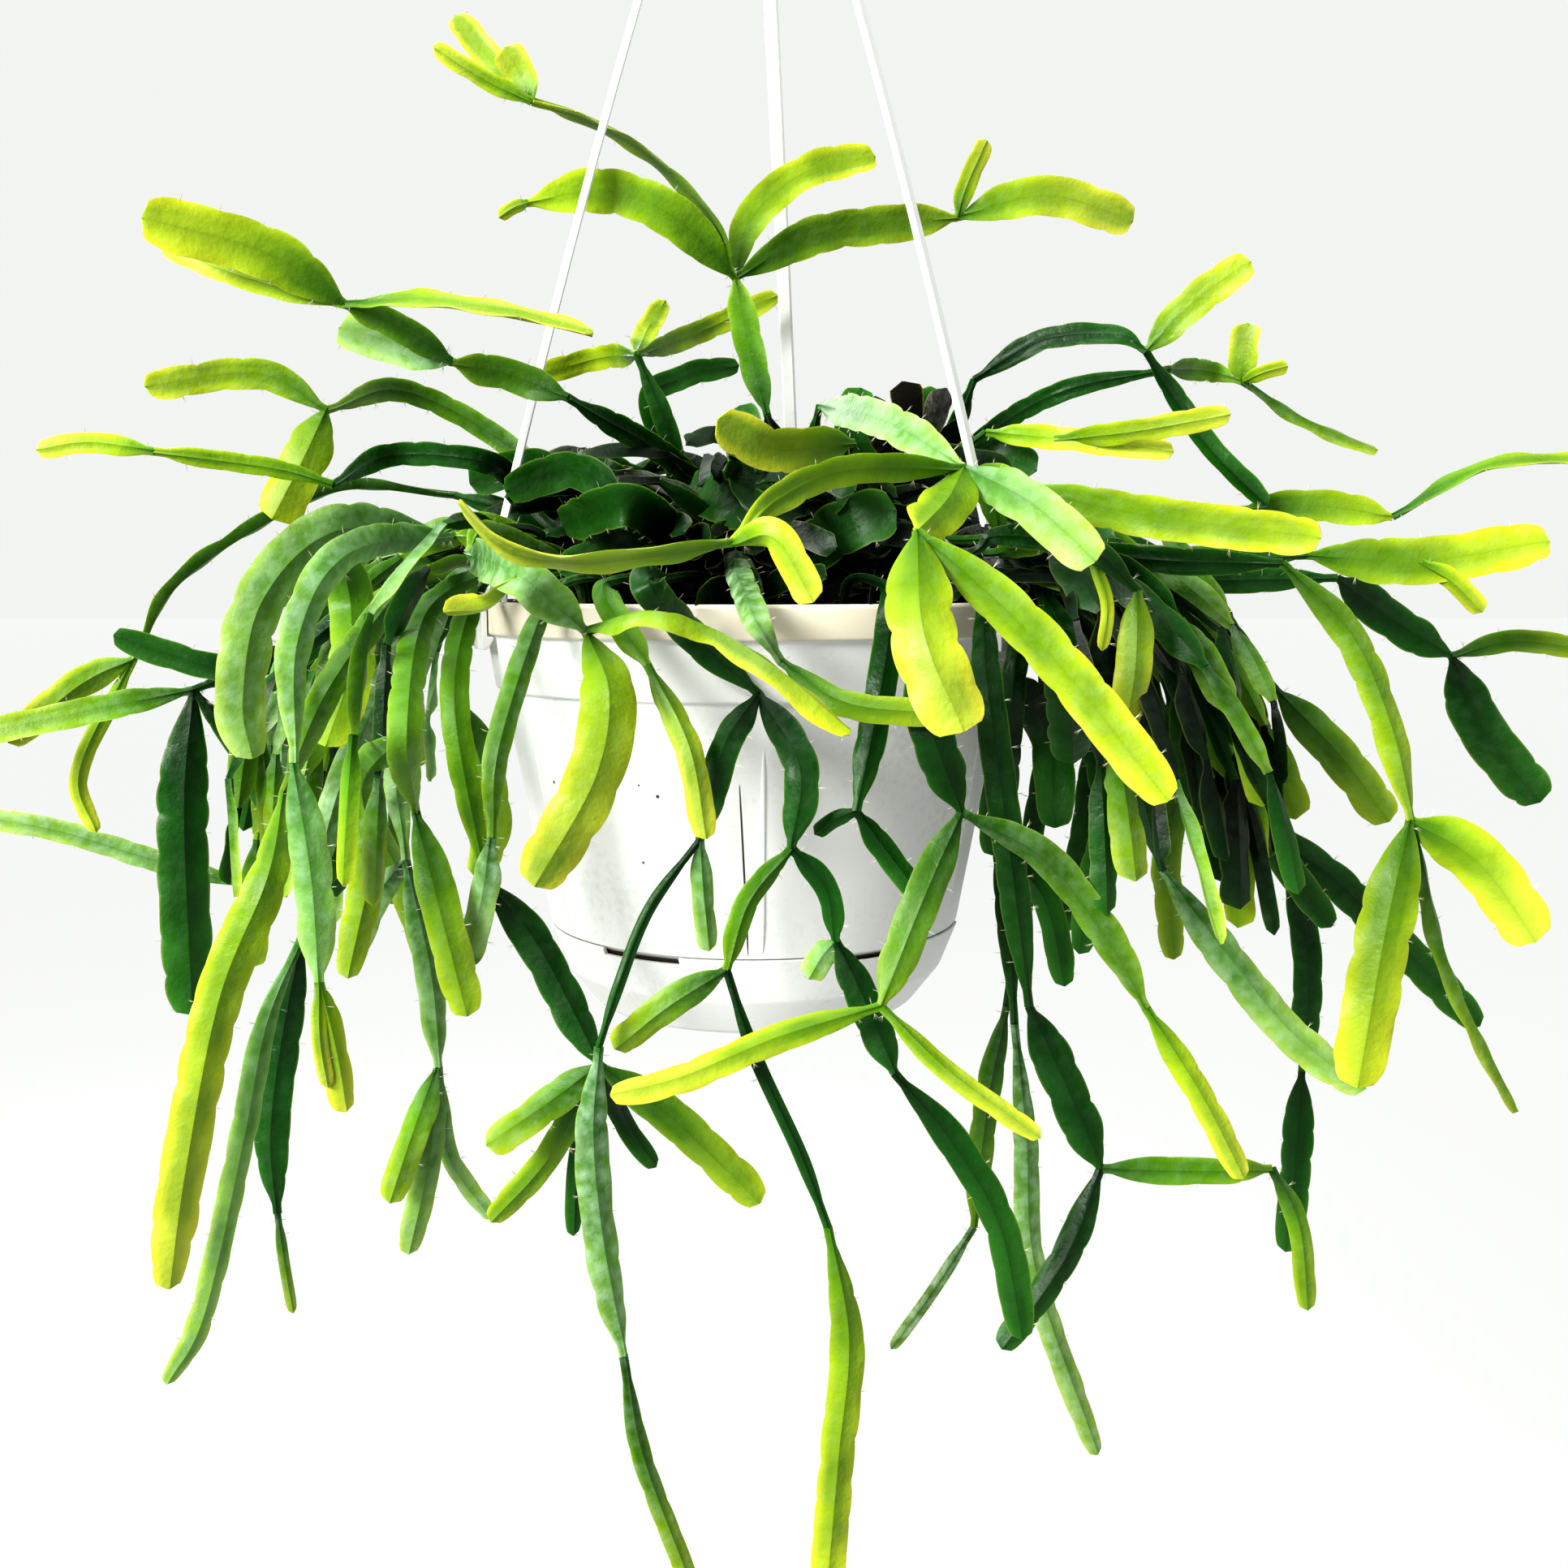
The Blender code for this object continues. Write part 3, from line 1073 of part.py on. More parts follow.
def curve_solid(name, curve, places, closed=False):
    """The closed mesh of a curve through these places, its caps welded to its sides."""
    spline = curve.splines.new("POLY")
    spline.points.add(len(places) - 1)
    for point, place in zip(spline.points, places):
        point.co = (*place, 1)
    spline.use_cyclic_u = closed
    drawn = bpy.data.objects.new(name, curve)
    bpy.context.scene.collection.objects.link(drawn)
    graph = bpy.context.evaluated_depsgraph_get()
    mesh = bpy.data.meshes.new_from_object(drawn.evaluated_get(graph))
    bpy.data.objects.remove(drawn, do_unlink=True)
    form = bmesh.new()
    form.from_mesh(mesh)
    bpy.data.meshes.remove(mesh)
    bmesh.ops.remove_doubles(form, verts=form.verts, dist=WELD)
    bmesh.ops.recalc_face_normals(form, faces=form.faces)
    return mesh_object(name, form)


def plate(name, outline, thickness):
    """A flat closed shape of this thickness, its outline in the XY plane."""
    curve = bpy.data.curves.new(name, "CURVE")
    curve.dimensions = "2D"
    curve.fill_mode = "BOTH"
    curve.extrude = thickness / 2
    return curve_solid(name, curve, [(x, y, 0) for x, y in outline], closed=True)


def make_leg(home, side):
    """A flat strap from the hub that widens into a clip over the pot's rim."""
    azimuth = LEG_AZIMUTHS[side]
    count = LEG_STATIONS
    middles = leg_line(azimuth, count)
    sideways = around(azimuth + 90, 1, 0)
    form = bmesh.new()
    rings = []
    low, high = FOOT_SHOULDER
    for at, middle in enumerate(middles):
        near = middles[max(at - 1, 0)]
        far = middles[min(at + 1, count)]
        along = (far - near).normalized()
        outward = along.cross(sideways).normalized()
        over = middle.z - RIM_Z
        flare = min(1.0, max(0.0, (high - over) / (high - low)))
        half = (LEG_WIDTH + (FOOT_WIDTH - LEG_WIDTH) * flare) / 2
        rings.append([
            form.verts.new(middle + sideways * (half * across) + outward * (LEG_THICK / 2 * out))
            for across, out in ((-1, -1), (1, -1), (1, 1), (-1, 1))
        ])
    for near, far in zip(rings, rings[1:]):
        for at in range(4):
            form.faces.new((near[at], near[(at + 1) % 4], far[(at + 1) % 4], far[at]))
    form.faces.new(rings[0])
    form.faces.new(rings[-1])
    bmesh.ops.recalc_face_normals(form, faces=form.faces)
    strap = mesh_object("strap", form)

    outer = RIM_RADIUS + CLEARANCE
    inner = RIM_RADIUS - RIM_WALL - FOOT_INNER_GAP
    catch = -RIM_BAND - CATCH_GAP
    catch_radius = COLLAR_RADIUS + CATCH_GAP
    face, back = outer + FOOT_PLATE, inner - FOOT_PLATE
    outline = (
        (inner, -FOOT_INNER_DROP), (inner, CLEARANCE), (outer, CLEARANCE), (outer, catch),
        (catch_radius, catch), (catch_radius, catch - CATCH_HEIGHT),
        (outer, -FOOT_DROP), (face, -FOOT_DROP),
        (face, FOOT_SIDE_RISE), (face - FOOT_CORNER, FOOT_RISE),
        (back + FOOT_CORNER, FOOT_RISE), (back, FOOT_SIDE_RISE),
        (back, -FOOT_INNER_DROP),
    )
    clip = plate("clip", outline, FOOT_WIDTH)
    clip.rotation_euler = (math.pi / 2, 0, math.radians(azimuth - 90))
    clip.location = (0, 0, RIM_Z)
    leg = fused("hanger_leg_" + side, [strap, clip])
    home.objects.link(leg)
    return leg


def make_hook(home):
    """The hub that holds the three straps, with the open hook above it."""
    top = HUB_Z + HUB_HEIGHT / 2
    low = HUB_Z - HUB_HEIGHT / 2
    profile = (
        (0, RIM_Z - top),
        (HUB_RADIUS - HUB_TOP_BEVEL_OUT, RIM_Z - top),
        (HUB_RADIUS, RIM_Z - top + HUB_TOP_BEVEL_DOWN),
        (HUB_RADIUS, RIM_Z - top + HUB_FLANGE),
        (HUB_CORE, RIM_Z - top + HUB_FLANGE + HUB_FLANGE_DRAFT),
        (HUB_CORE, RIM_Z - low - HUB_FOOT_BEVEL),
        (HUB_CORE - HUB_FOOT_BEVEL, RIM_Z - low),
        (0, RIM_Z - low),
    )
    hub = turned("hub", profile, HUB_STEPS)
    bpy.context.scene.collection.objects.link(hub)
    applied(hub)
    bpy.context.scene.collection.objects.unlink(hub)

    bend = HOOK_BEND + HOOK_WIRE
    places = [Vector((0, 0, top - HOOK_ROOT)), Vector((0, 0, -HOOK_BEND - bend - HOOK_NECK))]
    for number in range(HOOK_STEPS + 1):
        turn = math.radians(HOOK_START + HOOK_SWEEP * number / HOOK_STEPS)
        places.append(Vector((bend * math.cos(turn), 0, -HOOK_BEND + bend * math.sin(turn))))
    curve = bpy.data.curves.new("hook_wire", "CURVE")
    curve.dimensions = "3D"
    curve.bevel_depth = HOOK_WIRE
    curve.bevel_resolution = 2
    curve.use_fill_caps = True
    wire = curve_solid("hook_wire", curve, places)
    hook = fused("hanger_hook", [hub, wire])
    hook.data.shade_smooth()
    hook.data.set_sharp_from_angle(angle=SMOOTH_ANGLE)
    home.objects.link(hook)
    return hook


def make_stem(home, stem):
    pieces = []
    for chain in chains_of(stem):
        pieces.append(loft(stem.name, chain_sections(stem, chain)))
    # EXACT leaves loose scraps where several thin joints meet in one point
    made = fused(stem.name, pieces, "MANIFOLD")
    home.objects.link(made)
    return made


clear_scene()
plant = make_collection("potted_rhipsalis")
helpers = make_collection("cutters")
stems = [traced_stem(row) for row in STEMS] + [grown_stem(row) for row in GROWN]
settle(stems)

white = material("pot_white", (0.86, 0.87, 0.86), 0.38)
white_hanger = material("hanger_white", (0.88, 0.89, 0.89), 0.4)
white_saucer = material("saucer_white", (0.85, 0.86, 0.86), 0.38)
peat = material("soil_dark", (0.03, 0.02, 0.015), 0.95)
greens = {tone: material("stem_" + tone, colour, 0.5) for tone, colour in TONES.items()}

for stem in stems:
    made = make_stem(plant, stem)
    tones = [blade[2] for blade in stem.blades]
    made.data.materials.clear()
    made.data.materials.append(greens[max(TONES, key=tones.count)])
for side in LEG_AZIMUTHS:
    make_leg(plant, side).data.materials.append(white_hanger)
make_hook(plant).data.materials.append(white_hanger)
make_saucer(plant, helpers).data.materials.append(white_saucer)
make_pot(plant, helpers).data.materials.append(white)
make_soil(plant, helpers, stems).data.materials.append(peat)
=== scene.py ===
"""A flat-stemmed rhipsalis in a round hanging pot: the finish of its hanger, pot, saucer, soil and stems.

Metres, +Z up. The origin is the point under the hook's bend that the whole thing hangs from.
"""

import json
import math
import random

import bmesh
import bpy
import numpy as np
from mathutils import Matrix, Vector

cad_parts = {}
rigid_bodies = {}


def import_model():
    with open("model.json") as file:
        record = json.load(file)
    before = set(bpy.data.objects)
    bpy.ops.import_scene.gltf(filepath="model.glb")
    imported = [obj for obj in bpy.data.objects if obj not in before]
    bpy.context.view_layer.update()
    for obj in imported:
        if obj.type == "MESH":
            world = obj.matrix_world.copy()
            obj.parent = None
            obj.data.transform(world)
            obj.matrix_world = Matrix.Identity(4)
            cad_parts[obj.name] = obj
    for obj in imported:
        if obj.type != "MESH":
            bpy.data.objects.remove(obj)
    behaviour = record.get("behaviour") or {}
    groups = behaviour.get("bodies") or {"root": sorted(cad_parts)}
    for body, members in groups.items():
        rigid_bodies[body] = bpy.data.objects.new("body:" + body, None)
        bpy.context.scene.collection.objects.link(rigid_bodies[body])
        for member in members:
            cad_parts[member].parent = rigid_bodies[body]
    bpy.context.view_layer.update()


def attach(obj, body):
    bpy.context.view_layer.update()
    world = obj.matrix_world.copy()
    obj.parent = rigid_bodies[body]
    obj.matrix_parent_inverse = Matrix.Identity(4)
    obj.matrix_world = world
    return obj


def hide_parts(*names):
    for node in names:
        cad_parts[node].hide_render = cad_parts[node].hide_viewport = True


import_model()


# The eye and the studio. The picture was taken from just over the rim, a good half metre in front of
# the pot, looking a little down. A white room lights the plant: a window on the left and a soft ceiling.
MM = 0.001
RIM_Z = -0.355
EYE = Vector((0.0, -0.586, RIM_Z + 0.0087))
EYE_PITCH = math.radians(7.54)
EYE_YAW = math.radians(1.1)
PICTURE_FOCAL = 1935
PICTURE_MIDDLE = 966
SENSOR = 36.0
FLOOR_Z = -1.15
FLOOR_SIZE = 60.0
WALL_WHITE = (0.75, 0.76, 0.75)
FLOOR_GREY = (0.12, 0.12, 0.12)
ROOM_LIGHT = 0.60
FLOOR_GLOW = 0.88
WINDOW = {"place": (-1.3, -1.35, 0.45), "size": 0.9, "power": 80, "tint": (1.0, 0.99, 0.96)}
CEILING = {"place": (-0.15, -0.15, 1.25), "size": 1.0, "power": 20, "tint": (1.0, 1.0, 1.0)}
BACK_WINDOW = {"place": (-0.9, 1.5, 0.6), "size": 1.0, "power": 18, "tint": (1.0, 1.0, 0.97)}

camera = bpy.data.objects.new("camera", bpy.data.cameras.new("camera"))
camera.data.sensor_width = SENSOR
camera.data.lens = PICTURE_FOCAL / (2 * PICTURE_MIDDLE) * SENSOR
camera.data.clip_start = 0.01
camera.location = EYE
camera.rotation_euler = (math.pi / 2 - EYE_PITCH, 0, -EYE_YAW)
bpy.context.scene.collection.objects.link(camera)
bpy.context.scene.camera = camera

room = bpy.data.worlds.new("white_room")
room.use_nodes = True
sky = room.node_tree
sky.nodes.clear()
light_path = sky.nodes.new("ShaderNodeLightPath")
seen_wall = sky.nodes.new("ShaderNodeBackground")
seen_wall.inputs["Color"].default_value = (*WALL_WHITE, 1)
lit_wall = sky.nodes.new("ShaderNodeBackground")
lit_wall.inputs["Color"].default_value = (1, 1, 1, 1)
lit_wall.inputs["Strength"].default_value = ROOM_LIGHT
either = sky.nodes.new("ShaderNodeMixShader")
wall_out = sky.nodes.new("ShaderNodeOutputWorld")
sky.links.new(light_path.outputs["Is Camera Ray"], either.inputs["Fac"])
sky.links.new(lit_wall.outputs["Background"], either.inputs[1])
sky.links.new(seen_wall.outputs["Background"], either.inputs[2])
sky.links.new(either.outputs["Shader"], wall_out.inputs["Surface"])
bpy.context.scene.world = room
bpy.context.scene.view_settings.view_transform = "Standard"
bpy.context.scene.view_settings.look = "Medium High Contrast"

for name, lamp in {"window": WINDOW, "ceiling": CEILING, "back_window": BACK_WINDOW}.items():
    light = bpy.data.lights.new(name, "AREA")
    light.energy = lamp["power"]
    light.size = lamp["size"]
    light.color = lamp["tint"]
    stand = bpy.data.objects.new(name, light)
    stand.location = lamp["place"]
    stand.rotation_euler = (Vector((0, 0, RIM_Z)) - stand.location).to_track_quat("-Z", "Y").to_euler()
    bpy.context.scene.collection.objects.link(stand)

bpy.ops.mesh.primitive_plane_add(size=FLOOR_SIZE, location=(0, 0, FLOOR_Z))
floor = bpy.context.object
floor.name = "floor"
floor_paint = bpy.data.materials.new("floor_white")
floor_paint.use_nodes = True
floor_paint.node_tree.nodes["Principled BSDF"].inputs["Base Color"].default_value = (*FLOOR_GREY, 1)
floor_paint.node_tree.nodes["Principled BSDF"].inputs["Roughness"].default_value = 0.9
floor_paint.node_tree.nodes["Principled BSDF"].inputs["Emission Color"].default_value = (*WALL_WHITE, 1)
floor_paint.node_tree.nodes["Principled BSDF"].inputs["Emission Strength"].default_value = FLOOR_GLOW
floor.data.materials.append(floor_paint)
floor.visible_diffuse = floor.visible_glossy = False


# The hook and its hub. One moulding in white plastic: a collar that the straps clip round, with the open
# hook that goes over a nail or a rail standing out of its top.
HUB_Z = -0.046
HUB_RADIUS = 0.0125
HUB_CORE = 0.0062
HUB_FLANGE = 0.004
HUB_HEIGHT = 0.017
HUB_ROUND = 0.0008
HOOK_WIRE = 0.00275
HOOK_BEND = 0.014
HOOK_START, HOOK_SWEEP = -75, 262
HOOK_STEPS = 40
HOOK_SIDES = 6
TURN_STEPS = 180
PLASTIC_WHITE = (0.88, 0.89, 0.87)
PLASTIC_DUST = (0.66, 0.65, 0.60)


def around(azimuth, radius, height):
    """A place round the pot's axis: azimuth in degrees from the front towards +X, the rest in metres."""
    turn = math.radians(azimuth)
    return Vector((radius * math.sin(turn), -radius * math.cos(turn), height))


def rounded(profile, radius, steps=4):
    """The same open outline with its inner corners turned into short arcs of about this radius."""
    found = [Vector(profile[0])]
    for before, corner, after in zip(profile, profile[1:], profile[2:]):
        before, corner, after = Vector(before), Vector(corner), Vector(after)
        reach = min(radius, (before - corner).length * 0.45, (after - corner).length * 0.45)
        start = corner + (before - corner).normalized() * reach
        end = corner + (after - corner).normalized() * reach
        for number in range(steps + 1):
            share = number / steps
            found.append(start.lerp(corner, share).lerp(corner.lerp(end, share), share))
    return found + [Vector(profile[-1])]


def finished(made):
    """The object's modifiers made part of a plain mesh, as one object at the origin."""
    if not made.users_collection:
        bpy.context.scene.collection.objects.link(made)
    graph = bpy.context.evaluated_depsgraph_get()
    mesh = bpy.data.meshes.new_from_object(made.evaluated_get(graph), depsgraph=graph)
    made.modifiers.clear()
    made.data = mesh
    mesh.transform(made.matrix_world)
    made.matrix_world.identity()
    return made


def turned(name, profile, corner, steps=TURN_STEPS):
    """A solid of revolution round the pot's axis from (radius, height) points, its corners eased."""
    points = rounded([Vector((radius, height)) for radius, height in profile], corner)
    mesh = bpy.data.meshes.new(name)
    mesh.from_pydata([(p.x, 0, p.y) for p in points], [(at, at + 1) for at in range(len(points) - 1)], [])
    made = bpy.data.objects.new(name, mesh)
    screw = made.modifiers.new("turn", "SCREW")
    screw.steps = screw.render_steps = steps
    screw.use_merge_vertices = True
    screw.merge_threshold = 0.00001
    finished(made)
    outward(made.data)
    return made


def outward(mesh):
    """Welds closed bodies, points their faces outwards and smooths them, with sharp turns kept."""
    form = bmesh.new()
    form.from_mesh(mesh)
    bmesh.ops.remove_doubles(form, verts=form.verts, dist=0.000005)
    bmesh.ops.recalc_face_normals(form, faces=form.faces)
    waiting = set(form.faces)
    while waiting:
        body, front = [], [waiting.pop()]
        while front:
            face = front.pop()
            body.append(face)
            for near in (other for edge in face.edges for other in edge.link_faces):
                if near in waiting:
                    waiting.remove(near)
                    front.append(near)
        if sum(face.calc_center_median().dot(face.normal) * face.calc_area() for face in body) < 0:
            bmesh.ops.reverse_faces(form, faces=body)
    form.to_mesh(mesh)
    form.free()
    mesh.shade_smooth()
    mesh.set_sharp_from_angle(angle=math.radians(38))


def joined(name, pieces):
    """One object out of several closed ones."""
    form = bmesh.new()
    for piece in pieces:
        form.from_mesh(piece.data)
        bpy.data.objects.remove(piece, do_unlink=True)
    mesh = bpy.data.meshes.new(name)
    form.to_mesh(mesh)
    form.free()
    mesh.shade_smooth()
    mesh.set_sharp_from_angle(angle=math.radians(38))
    made = bpy.data.objects.new(name, mesh)
    bpy.context.scene.collection.objects.link(made)
    return made


def add(tree, kind, *sockets, settings=None, **named):
    """One new node: its settings, then its sockets by place or name, each linked or given a value."""
    made = tree.nodes.new(kind)
    for key, value in (settings or {}).items():
        setattr(made, key, value)
    for key, value in (dict(enumerate(sockets)) | named).items():
        socket = made.inputs[key.replace("_", " ") if isinstance(key, str) else key]
        if isinstance(value, bpy.types.NodeSocket):
            tree.links.new(value, socket)
        elif value is not None:
            socket.default_value = value
    return made


def new_finish(name, rough):
    """A node material with its shader, and the place on the object that its patterns follow."""
    made = bpy.data.materials.new(name)
    made.use_nodes = True
    shader = made.node_tree.nodes["Principled BSDF"]
    shader.inputs["Roughness"].default_value = rough
    place = made.node_tree.nodes.new("ShaderNodeTexCoord").outputs["Object"]
    return made, made.node_tree, shader, place


def noise(tree, place, scale, detail=2.0):
    return add(tree, "ShaderNodeTexNoise", Vector=place, Scale=scale, Detail=detail).outputs["Fac"]


def spread(tree, value, low, high, least=0.0, most=1.0):
    """The value from low to high, drawn out to run from least to most."""
    return add(tree, "ShaderNodeMapRange", value, low, high, least, most).outputs["Result"]


def sums(tree, operation, *values):
    return add(tree, "ShaderNodeMath", *values, settings={"operation": operation}).outputs[0]


def blended(tree, share, first, second, blend="MIX"):
    """Two colours mixed by a share; either may be a colour or another node's output."""
    mix = tree.nodes.new("ShaderNodeMix")
    mix.data_type = "RGBA"
    mix.blend_type = blend
    for socket, value in (("Factor", share), ("A", first), ("B", second)):
        if isinstance(value, bpy.types.NodeSocket):
            tree.links.new(value, mix.inputs[socket])
        else:
            mix.inputs[socket].default_value = value if socket == "Factor" else (*value, 1)
    return mix.outputs["Result"]


def moulded_plastic(name, colour, dust, dust_share, rough):
    """Matt moulded plastic: an even colour, faint clouds and dust, and the fine orange peel of its mould."""
    made, tree, shader, place = new_finish(name, rough)
    shader.inputs["Specular IOR Level"].default_value = 0.35
    cloud, speck = noise(tree, place, 22, 6), noise(tree, place, 420)
    share = spread(tree, sums(tree, "MULTIPLY", cloud, speck), 0.28, 0.48, 0, dust_share)
    tree.links.new(blended(tree, share, colour, dust), shader.inputs["Base Color"])
    tree.links.new(spread(tree, cloud, 0, 1, rough - 0.06, rough + 0.1), shader.inputs["Roughness"])
    peel = add(tree, "ShaderNodeBump", Strength=0.12, Distance=0.0002, Height=noise(tree, place, 900))
    tree.links.new(peel.outputs["Normal"], shader.inputs["Normal"])
    return made


def wire(name, places, radius, sides):
    """A round bar through these places, its ends closed."""
    curve = bpy.data.curves.new(name, "CURVE")
    curve.dimensions = "3D"
    curve.bevel_depth = radius
    curve.bevel_resolution = sides
    curve.use_fill_caps = True
    spline = curve.splines.new("POLY")
    spline.points.add(len(places) - 1)
    for point, place in zip(spline.points, places):
        point.co = (*place, 1)
    drawn = bpy.data.objects.new(name, curve)
    bpy.context.scene.collection.objects.link(drawn)
    graph = bpy.context.evaluated_depsgraph_get()
    mesh = bpy.data.meshes.new_from_object(drawn.evaluated_get(graph))
    bpy.data.objects.remove(drawn, do_unlink=True)
    outward(mesh)
    made = bpy.data.objects.new(name, mesh)
    bpy.context.scene.collection.objects.link(made)
    return made


hub_top = HUB_Z + HUB_HEIGHT / 2
hub_low = HUB_Z - HUB_HEIGHT / 2
hub = turned("hub", (
    (0, hub_top), (HUB_RADIUS - 0.003, hub_top), (HUB_RADIUS, hub_top - 0.0015),
    (HUB_RADIUS, hub_top - HUB_FLANGE), (HUB_CORE, hub_top - HUB_FLANGE - 0.0004),
    (HUB_CORE, hub_low + 0.002), (HUB_CORE - 0.002, hub_low), (0, hub_low),
), HUB_ROUND, 72)
bend = HOOK_BEND + HOOK_WIRE
hook_way = [Vector((0, 0, hub_top - 0.003)), Vector((0, 0, -HOOK_BEND - bend - 0.004))]
for number in range(HOOK_STEPS + 1):
    turn = math.radians(HOOK_START + HOOK_SWEEP * number / HOOK_STEPS)
    hook_way.append(Vector((bend * math.cos(turn), 0, -HOOK_BEND + bend * math.sin(turn))))
hook = joined("hook_and_hub", [hub, wire("hook_wire", hook_way, HOOK_WIRE, HOOK_SIDES)])
white_hanger = moulded_plastic("hanger_plastic", PLASTIC_WHITE, PLASTIC_DUST, 0.35, 0.40)
hook.data.materials.append(white_hanger)
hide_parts("hanger_hook")
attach(hook, "root")


# The three hanging straps. Each is a flat white plastic strap, bowed a little outwards, which widens into
# a clip: it goes over the pot's rim, and its lower edge catches under the rim's band.
RIM_RADIUS = 0.100
RIM_BAND = 0.0114
RIM_WALL = 0.0034
COLLAR_RADIUS = 0.0975
LEG_AZIMUTHS = {"right": 58, "back": 169, "left": -70}
LEG_WIDTH = 0.0053
LEG_THICK = 0.0022
LEG_BOW = 0.0035
LEG_STATIONS = 48
LEG_EDGE = 0.0006
FOOT_WIDTH = 0.015
FOOT_SHOULDER = (0.012, 0.026)
FOOT_PLATE = 0.0020
FOOT_DROP = 0.0165
FOOT_INNER_DROP = 0.009
CLEARANCE = 0.0003


def leg_line(azimuth, count):
    """Points down the middle of a hanger leg, from the hub to its foot, bowed a little outwards."""
    places = []
    for number in range(count + 1):
        share = number / count
        top, foot = HUB_CORE + LEG_THICK / 2 + CLEARANCE, RIM_RADIUS - 0.0012
        radius = top + (foot - top) * share + LEG_BOW * math.sin(math.pi * share)
        height = HUB_Z + (RIM_Z + 0.003 - HUB_Z) * share
        places.append(around(azimuth, radius, height))
    return places


def strap(azimuth):
    """The strap itself: a flat bar with eased edges, a gentle flare at its foot."""
    middles = leg_line(azimuth, LEG_STATIONS)
    sideways = around(azimuth + 90, 1, 0)
    low, high = FOOT_SHOULDER
    form = bmesh.new()
    rings = []
    for at, middle in enumerate(middles):
        along = (middles[min(at + 1, LEG_STATIONS)] - middles[max(at - 1, 0)]).normalized()
        out = along.cross(sideways).normalized()
        flare = min(1.0, max(0.0, (high - (middle.z - RIM_Z)) / (high - low)))
        half = (LEG_WIDTH + (FOOT_WIDTH - LEG_WIDTH) * flare * flare * (3 - 2 * flare)) / 2
        deep = LEG_THICK / 2
        rings.append([form.verts.new(middle + sideways * x + out * y) for x, y in (
            (-half, -deep + LEG_EDGE), (-half + LEG_EDGE, -deep), (half - LEG_EDGE, -deep),
            (half, -deep + LEG_EDGE), (half, deep - LEG_EDGE), (half - LEG_EDGE, deep),
            (-half + LEG_EDGE, deep), (-half, deep - LEG_EDGE),
        )])
    for near, far in zip(rings, rings[1:]):
        for at in range(len(near)):
            after = (at + 1) % len(near)
            form.faces.new((near[at], near[after], far[after], far[at]))
    form.faces.new(rings[0])
    form.faces.new(rings[-1])
    mesh = bpy.data.meshes.new("strap")
    form.to_mesh(mesh)
    form.free()
    outward(mesh)
    return bpy.data.objects.new("strap", mesh)


def clip(azimuth):
    """The clip over the rim: its cross-section drawn out to the clip's width, then eased all round."""
    outer = RIM_RADIUS + CLEARANCE
    inner = RIM_RADIUS - RIM_WALL - 0.0017
    catch = RIM_BAND + 0.0006
    outline = (
        (inner, -FOOT_INNER_DROP), (inner, CLEARANCE), (outer, CLEARANCE), (outer, -catch),
        (COLLAR_RADIUS + 0.0006, -catch), (COLLAR_RADIUS + 0.0006, -catch - 0.001),
        (outer, -FOOT_DROP), (outer + FOOT_PLATE, -FOOT_DROP),
        (outer + FOOT_PLATE, 0.0035), (outer + FOOT_PLATE - 0.0012, 0.005),
        (inner - FOOT_PLATE + 0.0012, 0.005), (inner - FOOT_PLATE, 0.0035),
        (inner - FOOT_PLATE, -FOOT_INNER_DROP),
    )
    form = bmesh.new()
    rings = []
    for side in (-0.5, 0.5):
        rings.append([form.verts.new((x, side * FOOT_WIDTH, RIM_Z + y)) for x, y in outline])
    form.faces.new(rings[0])
    form.faces.new(rings[1])
    for at in range(len(outline)):
        after = (at + 1) % len(outline)
        form.faces.new((rings[0][at], rings[0][after], rings[1][after], rings[1][at]))
    bmesh.ops.recalc_face_normals(form, faces=form.faces)
    mesh = bpy.data.meshes.new("clip")
    form.to_mesh(mesh)
    form.free()
    made = bpy.data.objects.new("clip", mesh)
    ease = made.modifiers.new("ease", "BEVEL")
    ease.width = 0.0005
    ease.segments = 3
    made.rotation_euler = (0, 0, math.radians(azimuth - 90))
    finished(made)
    outward(made.data)
    return made


for side, azimuth in LEG_AZIMUTHS.items():
    leg = joined("strap_" + side, [strap(azimuth), clip(azimuth)])
    leg.data.materials.append(white_hanger)
    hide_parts("hanger_leg_" + side)
    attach(leg, "root")


# The pot. A thin shell moulded in white plastic: a rolled band round its rim, a tapered collar, a body
# with six fine ribs, and a plug at its foot that the saucer snaps onto. Its floor has three drain holes.
COLLAR_FOOT_RADIUS = 0.0945
COLLAR_DEPTH = 0.0310
BODY_TOP_RADIUS = 0.0922
BODY_FOOT_RADIUS = 0.0763
SEAM_DEPTH = 0.1180
PLUG_RADIUS = 0.0749
BASE_RADIUS = 0.0680
BASE_DEPTH = 0.1300
POT_WALL = 0.0018
POT_ROUND = 0.0011
DRAIN_RADIUS = 0.0045
DRAIN_CIRCLE = 0.040
DRAIN_COUNT = 3
RIB_COUNT = 6
RIB_AZIMUTH = 2
RIB_WIDTH = 0.0016
RIB_PROUD = 0.0007
RIB_TOP_DEPTH = 0.046
RIB_FOOT_DEPTH = 0.1155
BAND_CREAM = (0.70, 0.63, 0.47)
# A near-black brown, used for real dirt specks and for painted shade in the seam and the slit.
DIRT_AND_SHADE_DARK = (0.035, 0.028, 0.022)
SLIT_AZIMUTH, SLIT_LEAN = -2.4, 1.6
SLIT_TOP_DEPTH, SLIT_FOOT_DEPTH, SLIT_WIDTH = 0.052, 0.1165, 0.0007

